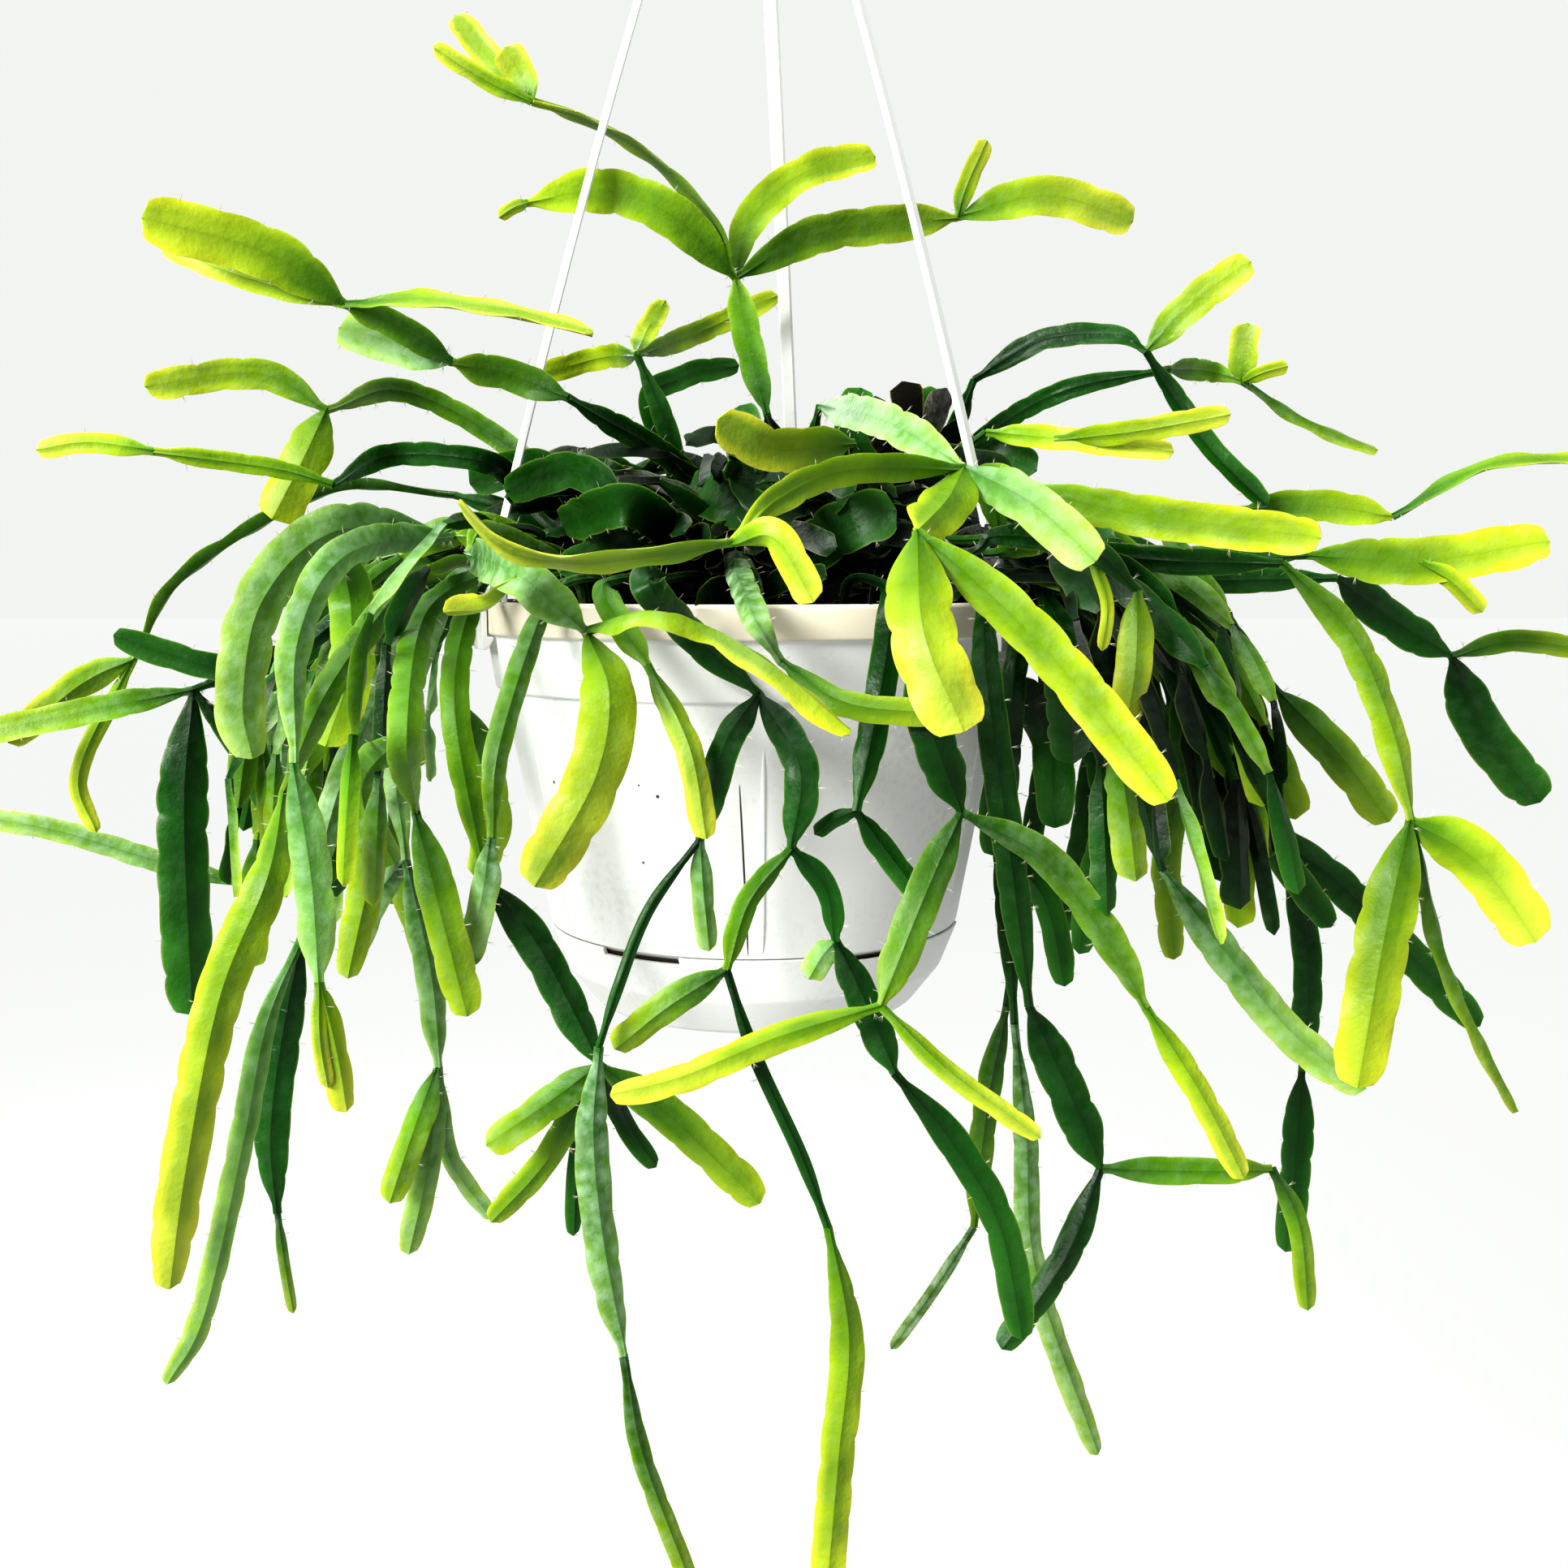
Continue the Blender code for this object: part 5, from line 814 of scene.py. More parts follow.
# Every stem is a name, its root in the soil (azimuth from the front towards +X, radius in mm), how high
# over the rim it leaves (azimuth, mm) or None where its own points say so, and its flat joints. Each joint
# is a width in mm, a turn about its own length in degrees, a tone, and picture points with their distance
# in mm behind the pot's axis. A point without a distance is one that the stem already has.
STEMS = (
    ("stem_front_long", (-13, 62), (-15, 8), (
        (10.5, 10, DARK, (800, 722, -99), (862, 790, -113), (935, 855, -119)),
        (9.5, -15, DARK, (935, 855), (893, 920, -121), (862, 1035, -120)),
        (7, 10, PALE, (862, 1035), (866, 1100, -117), (873, 1172, -114)),
        (3.6, 0, DARK, (862, 1035), (800, 1120, -124), (762, 1215, -130), (738, 1290, -133)),
        (11, 20, PALE, (738, 1290), (730, 1400, -135), (742, 1530, -136), (768, 1670, -137)),
        (6.5, 10, GREEN, (768, 1670), (790, 1790, -137), (842, 1930, -136), (866, 2000, -135)),
        (11, -8, DARK, (935, 855), (986, 945, -120), (975, 1045, -121)),
        (7.5, 20, GREEN, (975, 1045), (922, 1110, -124), (895, 1195, -126)),
        (10, 15, GREEN, (895, 1195), (822, 1240, -128), (757, 1292, -126)),
        (4.4, 0, DARK, (895, 1195), (930, 1300, -130), (985, 1420, -134), (1020, 1512, -138)),
        (11, 12, FRESH, (1020, 1512), (1045, 1650, -140), (1032, 1800, -142), (1016, 1990, -143)),
        (7.5, -15, DARK, (975, 1045), (1018, 1095, -123), (1030, 1160, -122)),
        (8.5, 0, PALE, (1030, 1160), (1012, 1180, -120), (996, 1206, -119)),
        (10.5, 8, DARK, (1030, 1160), (1068, 1240, -125), (1102, 1322, -128)),
        (10.5, -10, DARK, (1102, 1322), (1172, 1405, -132), (1232, 1510, -136), (1260, 1650, -140)),
    )),
    ("stem_front_right", (38, 80), (37, 8), (
        (9, 0, DARK, (1136, 740, -100), (1132, 800, -110)),
        (13, 5, DARK, (1132, 800), (1148, 900, -114), (1184, 1000, -116)),
        (12, 10, GREEN, (1184, 1000), (1140, 1100, -122), (1085, 1240, -133)),
        (9, -12, LIME, (1085, 1240), (960, 1278, -138), (840, 1328, -141), (752, 1350, -142)),
        (6.5, 10, LIME, (1085, 1240), (1168, 1320, -136), (1282, 1402, -138)),
        (11, -20, GREEN, (1184, 1000), (1288, 1058, -118), (1370, 1165, -121), (1412, 1242, -123)),
        (8.5, 10, LIME, (1412, 1242), (1480, 1350, -124), (1532, 1452, -125)),
    )),
    ("stem_front_mid", (22, 80), (22, 7), (
        (9.5, 0, DARK, (1098, 745, -100), (1085, 850, -112), (1055, 1000, -115)),
        (5, 0, DARK, (1055, 1000), (1028, 1010, -115), (1004, 1028, -113)),
        (8, 12, DARK, (1055, 1000), (1098, 1058, -118), (1140, 1112, -120)),
    )),
    ("stem_front_left", (-50, 78), None, (
        (8, 0, GREEN, (604, 655, -82), (576, 682, -102)),
        (13, -12, PALE, (576, 682), (640, 708, -122), (722, 778, -130)),
        (17, 8, LIME, (722, 778), (750, 855, -134), (732, 960, -136), (658, 1092, -138)),
        (12, 66, FRESH, (722, 778), (800, 757, -140), (880, 780, -147), (962, 832, -152), (1048, 904, -155)),
        (9, 60, LIME, (640, 708), (600, 744, -127), (546, 752, -128)),
    )),
    ("stem_front_lime", (-25, 82), (-26, 7), (
        (8.5, 0, GREEN, (748, 740, -106), (798, 820, -117)),
        (8.5, 15, LIME, (798, 820), (848, 920, -124), (870, 1034, -130)),
    )),
    ("stem_front_grey", (1, 78), None, (
        (9, -10, PALE, (905, 690, -97), (930, 760, -120), (962, 815, -128)),
        (8.5, 12, GREEN, (962, 815), (1040, 866, -132), (1164, 880, -136)),
    )),
    ("stem_front_cluster", (36, 36), None, (
        (8, 0, DARK, (990, 600, -10), (1010, 500, -30)),
        (12.5, 15, PALE, (1010, 500), (1090, 520, -70), (1188, 577, -112)),
        (15, -10, LIME, (1188, 577), (1168, 615, -135), (1130, 655, -154)),
        (18.5, 5, LIME, (1130, 655), (1138, 780, -172), (1187, 902, -180)),
        (9, 20, FRESH, (1188, 577), (1050, 577, -142), (960, 612, -162), (903, 668, -172)),
        (9, -15, LIME, (903, 668), (955, 662, -180), (1002, 742, -184)),
        (12, 66, LIME, (903, 668), (800, 682, -180), (700, 690, -184), (620, 670, -182), (566, 618, -178)),
        (13.5, 10, PALE, (1188, 577), (1270, 620, -136), (1350, 692, -150)),
        (13, -6, FRESH, (1130, 655), (1205, 718, -160), (1300, 812, -168), (1440, 987, -180)),
    )),
    ("stem_right_reach", (54, 56), (50, 22), (
        (9, 0, GREEN, (1215, 590, -84), (1262, 600, -96)),
        (13, -14, FRESH, (1262, 600), (1400, 632, -112), (1628, 662, -128)),
    )),
    ("stem_right_pair", (53, 35), None, (
        (8, 0, DARK, (1130, 600, -8), (1215, 533, -14)),
        (9, 18, LIME, (1215, 533), (1300, 541, -24), (1446, 557, -40)),
        (8.5, -18, LIME, (1300, 541), (1400, 530, -44), (1516, 510, -60)),
    )),
    ("stem_crown_lime", (20, 46), None, (
        (8, 0, DARK, (1010, 600, -50), (1052, 546, -72)),
        (14, 8, LIME, (1052, 546), (955, 553, -96), (884, 517, -108)),
    )),
    ("stem_upright", (160, 14), None, (
        (11, 10, DARK, (962, 580, 14), (945, 510, 12)),
        (11, 10, GREEN, (945, 510), (925, 430, 10), (906, 342, 6)),
        (15.5, -8, FRESH, (906, 342), (830, 268, -5), (745, 236, -15), (650, 250, -22)),
        (4.5, 0, LIME, (650, 250), (632, 256, -24), (614, 268, -26)),
        (11, 68, FRESH, (906, 342), (878, 268, 0), (800, 190, -8), (720, 145, -14), (655, 125, -18)),
        (11.5, 10, LIME, (655, 125), (642, 92, -20), (622, 58, -22)),
        (7, 20, LIME, (655, 125), (600, 98, -26), (534, 56, -30)),
        (10, -12, LIME, (655, 125), (604, 74, -12), (560, 20, -8)),
        (13, 14, FRESH, (906, 342), (925, 272, 14), (990, 215, 22), (1078, 193, 30)),
        (14, -12, FRESH, (906, 342), (1000, 290, 10), (1100, 275, 14), (1180, 268, 18)),
        (14.5, 10, LIME, (1180, 268), (1290, 242, 20), (1396, 272, 24)),
        (7.5, -10, LIME, (1180, 268), (1190, 230, 16), (1215, 172, 14)),
    )),
    ("stem_back_left_tips", (-144, 48), None, (
        (8, 0, DARK, (830, 560, 44), (785, 437, 45)),
        (9.5, 15, FRESH, (785, 437), (740, 440, 40), (660, 462, 34)),
        (9, -10, FRESH, (785, 437), (870, 405, 50), (958, 364, 55)),
        (9, 12, LIME, (785, 437), (800, 402, 44), (820, 370, 42)),
    )),
    ("stem_back_dark", (-176, 44), None, (
        (9, 10, DARK, (806, 515, 54), (838, 466, 56), (910, 450, 60)),
    )),
    ("stem_left_high", (-60, 26), None, (
        (9, 0, DARK, (850, 590, -30), (700, 490, -52)),
        (11, 12, GREEN, (700, 490), (630, 462, -62), (557, 446, -70)),
        (14, -10, PALE, (557, 446), (490, 424, -66), (418, 405, -60)),
        (9, 10, GREEN, (557, 446), (490, 402, -78), (425, 375, -86)),
        (16, 6, FRESH, (425, 375), (330, 312, -94), (175, 268, -102)),
        (8, -14, LIME, (425, 375), (300, 342, -84), (200, 303, -80)),
        (10, 62, FRESH, (425, 375), (520, 372, -96), (640, 390, -104), (730, 412, -110)),
    )),
    ("stem_left_wide", (-100, 44), None, (
        (9, 0, GREEN, (640, 560, -4), (500, 482, -16), (402, 505, -25)),
        (11, 14, FRESH, (402, 505), (320, 460, -30), (178, 475, -36)),
        (16, -10, FRESH, (402, 505), (372, 570, -32), (336, 640, -36)),
    )),
    ("stem_left_arch", (-80, 58), None, (
        (9, 20, DARK, (640, 598, -26), (590, 566, -34), (480, 560, -46), (410, 597, -56)),
        (6.5, 10, FRESH, (410, 597), (340, 577, -60), (190, 556, -66)),
        (7, -15, LIME, (190, 556), (110, 546, -68), (45, 555, -70)),
    )),
    ("stem_left_fold", (-62, 58), None, (
        (9, 0, GREEN, (604, 648, -56), (540, 656, -72)),
        (16, 12, PALE, (540, 656), (410, 655, -94), (322, 740, -104), (298, 862, -110), (310, 935, -112)),
        (15, -10, GREEN, (410, 655), (432, 740, -92), (430, 830, -92), (402, 920, -92)),
    )),
    ("stem_left_ribbon", (-54, 62), None, (
        (9, 0, GREEN, (612, 668, -76), (560, 660, -92)),
        (11, 20, PALE, (560, 660), (430, 680, -114), (366, 785, -126), (362, 940, -132)),
        (11.5, -10, PALE, (362, 940), (384, 1080, -136), (393, 1210, -138)),
        (8.5, 15, LIME, (393, 1210), (412, 1290, -139), (426, 1370, -140)),
        (4.5, 0, LIME, (393, 1210), (394, 1280, -141), (404, 1340, -142)),
    )),
    ("stem_left_lime", (-79, 80), (-80, 10), (
        (9, 0, GREEN, (520, 700, -62), (410, 840, -98), (350, 975, -112)),
        (14, 6, LIME, (350, 975), (330, 1080, -116), (270, 1230, -120), (228, 1440, -124), (208, 1588, -126)),
    )),
    ("stem_left_grey", (-88, 82), (-89, 8), (
        (9, 10, PALE, (520, 760, -44), (425, 950, -76), (372, 1155, -92)),
        (8.5, 18, PALE, (372, 1155), (328, 1260, -102), (300, 1400, -106), (250, 1620, -110),
         (205, 1705, -112)),
        (11.5, -10, DARK, (372, 1155), (348, 1280, -88), (334, 1400, -88), (342, 1495, -90)),
        (3.6, 0, GREEN, (342, 1495), (350, 1555, -91), (361, 1618, -92)),
        (10, 20, GREEN, (425, 950), (462, 1020, -62), (500, 1100, -60), (548, 1232, -58)),
    )),
    ("stem_left_fan", (-98, 82), (-98, 8), (
        (9, 0, DARK, (500, 735, -4), (380, 795, -12), (238, 850, -22)),
        (18, 10, DARK, (238, 850), (226, 1000, -26), (236, 1250, -30)),
        (10, -14, GREEN, (238, 850), (150, 868, -28), (0, 900, -36), (-44, 906, -38)),
        (7.5, 12, DARK, (238, 850), (290, 918, -18), (330, 1000, -14)),
        (10, 10, DARK, (380, 795), (285, 822, -30), (210, 806, -34), (140, 782, -38)),
    )),
    ("stem_left_wire", (-118, 62), None, (
        (8, 0, DARK, (650, 640, 30), (560, 610, 22)),
        (11, 66, GREEN, (560, 610), (430, 600, 10), (330, 640, 0), (216, 720, -10), (165, 812, -16)),
        (11.5, 12, LIME, (165, 812), (100, 842, -22), (10, 915, -30)),
        (6.5, -10, LIME, (165, 812), (98, 950, -14), (118, 1026, -12)),
    )),
    ("stem_left_low", (-120, 82), (-118, 9), (
        (9, 0, DARK, (500, 800, 60), (400, 980, 36), (312, 1092, 20)),
        (9, 16, PALE, (312, 1092), (200, 1062, 10), (70, 1022, 2), (-36, 1005, -2)),
    )),
    ("stem_left_inner", (-44, 82), (-44, 8), (
        (10, 10, GREEN, (585, 712, -98), (522, 760, -106), (500, 900, -114), (512, 1000, -118)),
        (12, -12, GREEN, (512, 1000), (540, 1110, -120), (576, 1252, -122)),
        (11, 16, GREEN, (500, 900), (446, 965, -106), (456, 1060, -104), (428, 1205, -104)),
    )),
    ("stem_left_scar", (-35, 80), (-35, 7), (
        (8, 10, GREEN, (668, 752, -108), (614, 920, -116), (606, 1032, -118)),
        (9, -14, PALE, (606, 1032), (594, 1110, -119), (574, 1190, -120)),
    )),
    ("stem_left_spray", (-61, 82), (-60, 8), (
        (9, 0, PALE, (556, 720, -80), (490, 900, -92), (500, 1060, -98)),
        (9, 14, PALE, (500, 1060), (530, 1200, -100), (540, 1315, -102)),
        (9, -18, PALE, (500, 1060), (462, 1110, -94), (424, 1200, -92)),
        (9.5, -12, GREEN, (540, 1315), (508, 1400, -106), (480, 1482, -108)),
        (9, 12, PALE, (540, 1315), (528, 1430, -98), (503, 1545, -96)),
        (6.5, -20, PALE, (540, 1315), (552, 1420, -92), (606, 1502, -88)),
    )),
    ("stem_left_star", (-52, 82), (-52, 8), (
        (9, 0, GREEN, (588, 728, -96), (560, 860, -104), (598, 1085, -108)),
        (12, 10, DARK, (598, 1085), (662, 1165, -110), (738, 1312, -114)),
        (12, -14, GREEN, (560, 860), (590, 930, -98), (606, 1010, -96), (586, 1080, -96)),
        (11, -12, GREEN, (738, 1312), (672, 1362, -118), (600, 1412, -120)),
        (9, 14, GREEN, (738, 1312), (676, 1425, -106), (605, 1505, -102)),
        (6, 0, DARK, (738, 1312), (712, 1425, -100), (706, 1522, -96)),
        (7, 10, DARK, (738, 1312), (770, 1385, -98), (808, 1438, -96)),
        (12, -10, GREEN, (738, 1312), (832, 1382, -112), (937, 1482, -116)),
    )),
    ("stem_right_arch", (115, 42), None, (
        (8, 0, DARK, (1160, 560, 26), (1200, 468, 24)),
        (9, 22, DARK, (1200, 468), (1285, 420, 16), (1375, 414, 8), (1412, 433, 4)),
        (12.5, 10, FRESH, (1412, 433), (1470, 374, -2), (1541, 322, -8)),
        (8, -16, DARK, (1412, 433), (1442, 480, 2), (1492, 552, -4), (1562, 622, -12)),
    )),
    ("stem_right_tips", (132, 58), None, (
        (8, 0, DARK, (1190, 560, 60), (1300, 486, 66), (1440, 455, 62)),
        (9, 12, GREEN, (1440, 455), (1490, 458, 60), (1530, 470, 58)),
        (12, 10, LIME, (1530, 470), (1532, 440, 57), (1537, 398, 56)),
        (6, -10, LIME, (1530, 470), (1558, 458, 52), (1587, 451, 50)),
        (10, 64, GREEN, (1530, 470), (1610, 520, 62), (1697, 556, 60)),
    )),
    ("stem_right_thread", (100, 60), (98, 20), (
        (9, 0, DARK, (1270, 648, 16), (1400, 640, 8), (1530, 628, -2)),
        (12, 12, FRESH, (1530, 628), (1620, 624, -8), (1716, 637, -14)),
        (10, 64, GREEN, (1716, 637), (1830, 577, -22), (1932, 568, -28), (1966, 570, -30)),
    )),
    ("stem_right_broad", (78, 60), (76, 20), (
        (10, 0, DARK, (1270, 668, -34), (1430, 690, -44), (1610, 684, -52)),
        (16, 8, FRESH, (1610, 684), (1750, 692, -58), (1909, 667, -64)),
        (7, -16, LIME, (1750, 692), (1790, 716, -62), (1827, 754, -64)),
    )),
    ("stem_right_dark", (88, 72), (87, 13), (
        (10, 0, DARK, (1290, 720, 0), (1450, 716, -6), (1648, 712, -10)),
        (14, 10, DARK, (1648, 712), (1714, 762, -12), (1788, 808, -14)),
        (8.5, -12, GREEN, (1788, 808), (1860, 789, -18), (1932, 796, -22), (1968, 800, -24)),
        (17, 8, DARK, (1788, 808), (1828, 900, -14), (1898, 988, -18)),
    )),
    ("stem_right_drape", (67, 62), (66, 19), (
        (9, 0, DARK, (1280, 676, -76), (1430, 690, -92), (1580, 694, -98)),
        (10.5, 22, FRESH, (1580, 694), (1664, 782, -102), (1714, 900, -106), (1738, 1010, -108)),
        (17, 8, FRESH, (1738, 1010), (1706, 1150, -112), (1672, 1340, -116)),
        (17, -8, LIME, (1738, 1010), (1822, 1062, -112), (1893, 1160, -118)),
        (9, 62, GREEN, (1738, 1010), (1782, 1190, -100), (1868, 1370, -96)),
    )),
    ("stem_right_bank", (84, 46), (82, 27), (
        (9, 0, DARK, (1290, 640, -22), (1440, 700, -30), (1572, 850, -36)),
        (14, 12, GREEN, (1572, 850), (1650, 930, -42), (1712, 1012, -46)),
        (11, -12, DARK, (1440, 700), (1494, 790, -26), (1512, 905, -26)),
        (11, 10, DARK, (1512, 905), (1550, 1010, -26), (1640, 1142, -28)),
    )),
    ("stem_right_slope", (70, 82), (69, 9), (
        (9, 0, DARK, (1290, 740, -56), (1380, 900, -72), (1432, 1072, -80)),
        (12.5, 14, PALE, (1432, 1072), (1500, 1162, -84), (1590, 1272, -88), (1682, 1342, -92)),
        (16, 14, DARK, (1290, 740), (1316, 830, -62), (1322, 940, -64)),
        (11, -10, DARK, (1380, 900), (1372, 990, -62), (1346, 1080, -60), (1330, 1175, -58)),
    )),
    ("stem_right_stout", (97, 82), (96, 8), (
        (10, 0, DARK, (1290, 735, 16), (1400, 850, 18), (1492, 990, 18)),
        (14, 8, DARK, (1492, 990), (1622, 1066, 14), (1722, 1160, 12), (1823, 1264, 10)),
        (12, -16, DARK, (1400, 850), (1352, 930, 10), (1334, 1040, 6), (1304, 1150, 4)),
    )),
    ("stem_right_plumb", (106, 82), (105, 8), (
        (10, 0, DARK, (1300, 730, 40), (1490, 840, 44), (1588, 1058, 42)),
        (12, 12, DARK, (1588, 1058), (1612, 1180, 42), (1604, 1320, 41)),
        (13, -10, DARK, (1604, 1320), (1596, 1430, 41), (1584, 1542, 40)),
        (12, 18, GREEN, (1490, 840), (1462, 930, 42), (1440, 1050, 40), (1446, 1182, 40)),
    )),
    ("stem_right_fork", (47, 82), (46, 8), (
        (10, 0, DARK, (1215, 830, -98), (1240, 1020, -100), (1268, 1240, -102)),
        (13.5, 10, DARK, (1268, 1240), (1316, 1345, -104), (1356, 1440, -106)),
        (9, -14, GREEN, (1356, 1440), (1460, 1442, -108), (1567, 1440, -110)),
        (7, 12, GREEN, (1567, 1440), (1600, 1510, -110), (1611, 1614, -110)),
        (9.5, 10, DARK, (1356, 1440), (1312, 1550, -112), (1234, 1662, -116)),
    )),
    ("stem_right_pale", (79, 82), (78, 8), (
        (9, 0, DARK, (1250, 830, -36), (1238, 1050, -46), (1250, 1262, -52)),
        (9.5, 16, PALE, (1250, 1262), (1264, 1400, -54), (1276, 1570, -56), (1352, 1792, -58)),
        (10, -14, DARK, (1238, 1050), (1288, 1110, -46), (1312, 1215, -48)),
        (15, -12, DARK, (1250, 830), (1292, 910, -40), (1300, 1020, -42)),
    )),
    ("stem_right_fine", (88, 84), (87, 7), (
        (9, 0, DARK, (1298, 850, 0), (1268, 1050, -14), (1240, 1240, -18)),
        (10, 14, GREEN, (1240, 1240), (1216, 1360, -20), (1200, 1512, -22)),
        (4.8, 0, PALE, (1200, 1512), (1150, 1590, -24), (1098, 1662, -26)),
        (14, 18, DARK, (1298, 850), (1356, 930, -4), (1376, 1050, -8)),
    )),
    ("stem_right_leaf", (45, 62), (43, 16), (
        (8, 0, DARK, (1230, 660, -112), (1340, 676, -118), (1402, 728, -120)),
        (11, 12, LIME, (1402, 728), (1398, 820, -122), (1384, 902, -124)),
        (4, 0, LIME, (1340, 676), (1364, 742, -120), (1358, 802, -121)),
    )),
    ("crown_front_left", (-30, 58), None, (
        (9, 0, DARK, (850, 676, -62)),
        (14, 14, DARK, (850, 676), (778, 622, -66), (694, 646, -72)),
        (12, -16, DARK, (850, 676), (770, 668, -76), (690, 706, -80)),
        (13, 20, DARK, (778, 622), (706, 578, -60), (622, 604, -62)),
    )),
    ("crown_front_right", (8, 58), None, (
        (10, 0, DARK, (986, 690, -62)),
        (18, 12, DARK, (986, 690), (1040, 650, -70), (1104, 628, -78)),
        (17, -14, DARK, (986, 690), (934, 640, -60), (850, 600, -58)),
        (15, 18, DARK, (934, 640), (924, 566, -50), (912, 500, -44)),
    )),
    ("crown_back", (154, 50), None, (
        (10, 0, DARK, (1090, 610, 26)),
        (14, 10, DARK, (1090, 610), (1116, 545, 22), (1160, 482, 20)),
        (14, -12, DARK, (1090, 610), (1050, 545, 30), (1060, 478, 34)),
    )),
)

# Stems that the front view hides or shows as one dark mass grow by a rule: a name, the root (azimuth,
# radius in mm), how high over the rim they leave (azimuth, mm) or None, the least and most length of a
# joint in mm, each joint's climb in degrees, how many side joints it ends in, and a tone.
GROWN = (
    ("crown_left", (-78, 33), None, (28, 40), (72, 26, -10), (1, 1, 0), DARK),
    ("crown_right", (96, 34), None, (30, 42), (74, 30, -14), (1, 1, 0), DARK),
    ("stem_side_left", (-106, 80), (-106, 8), (50, 70), (0, -42, -74, -86), (0, 1, 1, 0), GREEN),
    ("stem_back_1", (130, 80), (128, 8), (48, 70), (4, -40, -72, -84), (0, 1, 1, 0), GREEN),
    ("stem_back_2", (152, 78), (150, 12), (48, 70), (10, -30, -64, -82), (0, 1, 0, 0), DARK),
    ("stem_back_3", (182, 80), (182, 8), (48, 66), (0, -46, -76, -86), (0, 1, 1, 0), GREEN),
    ("stem_back_4", (-158, 78), (-159, 10), (48, 70), (8, -34, -70, -84), (0, 1, 0, 0), DARK),
    ("stem_back_5", (-137, 80), (-136, 8), (48, 70), (2, -40, -74, -86), (0, 1, 1, 0), GREEN),
    ("stem_back_6", (116, 80), (117, 10), (48, 70), (4, -44, -76, -86), (0, 0, 1, 0), DARK),
)
GROWN_WIDTH = (10, 15)
GROWN_TURN = 24
GROWN_VEER = 14
GROWN_SIDE_VEER = (26, 50)
GROWN_SEED = 7


def seen(across, down, behind):
    """The place at this picture point and this many millimetres behind the pot's axis."""
    forward = Vector((
        math.sin(EYE_YAW) * math.cos(EYE_PITCH),
        math.cos(EYE_YAW) * math.cos(EYE_PITCH),
        -math.sin(EYE_PITCH),
    ))
    right = Vector((math.cos(EYE_YAW), -math.sin(EYE_YAW), 0))
    up = right.cross(forward)
    sight = (
        forward
        + right * ((across - PICTURE_MIDDLE) / PICTURE_FOCAL)
        + up * ((PICTURE_MIDDLE - down) / PICTURE_FOCAL)
    )
    return EYE + sight * ((behind * MM - EYE.y) / sight.y)


class Stem:
    """One rooted stem: its control points, and its flat joints as runs of those points."""

    def __init__(self, name, root, leave):
        self.name = name
        self.points = []
        self.fixed = []
        self.blades = []
        self.keys = {}
        azimuth, radius = root
        radius *= MM
        soil = RIM_Z - SOIL_DEPTH
        lift = (leave[1] if leave else 8) * MM
        self.add("peg", around(azimuth, radius, soil - PEG_DEPTH), True)
        self.add("soil", around(azimuth, radius, soil), True)
        self.start = ["soil", "neck"]
        self.add("neck", around(azimuth, radius, RIM_Z + LIFT_SHARE * lift), True)
        if leave:
            self.add("rim", around(leave[0], RIM_RADIUS + 0.002, RIM_Z + lift), True)
            self.start.append("rim")

    def add(self, key, place, fixed=False):
        self.keys[key] = len(self.points)
        self.points.append(place)
        self.fixed.append(fixed)

    def blade(self, width, turn, tone, keys):
        self.blades.append((width, turn, tone, [self.keys[key] for key in keys]))


def traced_stem(row):
    name, root, leave, joints = row
    stem = Stem(name, root, leave)
    for number, (width, turn, tone, *route) in enumerate(joints):
        keys = list(stem.start) if number == 0 else []
        for spot in route:
            if len(spot) == 3:
                stem.add(spot[:2], seen(*spot))
            keys.append(spot[:2])
        stem.blade(width, turn, tone, keys)
    return stem


def grown_stem(row):
    """A stem whose joints droop more and more, with side joints that fan out from each joint's end."""
    name, root, leave, lengths, climbs, sides, tone = row
    draw = random.Random(f"{GROWN_SEED} {name}")
    stem = Stem(name, root, leave)
    azimuth = leave[0] if leave else root[0]
    last = stem.start[-1]
    base = list(stem.start)
    for number, (climb, side) in enumerate(zip(climbs, sides)):
        heading = azimuth + draw.uniform(-GROWN_VEER, GROWN_VEER)
        shoots = [(number, heading, climb)]
        for extra in range(side):
            veer = draw.uniform(*GROWN_SIDE_VEER) * (-1) ** (extra + number)
            shoots.append((f"{number}.{extra}", heading + veer, climb + draw.uniform(-24, 10)))
        begin = stem.points[stem.keys[last]]
        for key, way, rise in shoots:
            length = draw.uniform(*lengths) * MM
            ahead = around(way, math.cos(math.radians(rise)), math.sin(math.radians(rise)))
            middle = begin + ahead * length / 2 + Vector((0, 0, length * 0.07))
            stem.add((key, "middle"), middle)
            stem.add((key, "end"), begin + ahead * length)
            run = base if base else [last]
            stem.blade(
                draw.uniform(*GROWN_WIDTH), draw.uniform(-GROWN_TURN, GROWN_TURN), tone,
                [*run, (key, "middle"), (key, "end")],
            )
            base = []
        last = (number, "end")
        azimuth = heading
    return stem


def spline_steps(places, spacing):
    """Where the stations of a run of points lie: its whole-number parts are the points themselves."""
    steps = []
    for number in range(len(places) - 1):
        length = (places[number + 1] - places[number]).length / MM
        count = max(1, round(length / spacing))
        steps += [number + part / count for part in range(count)]
    return steps + [len(places) - 1.0]


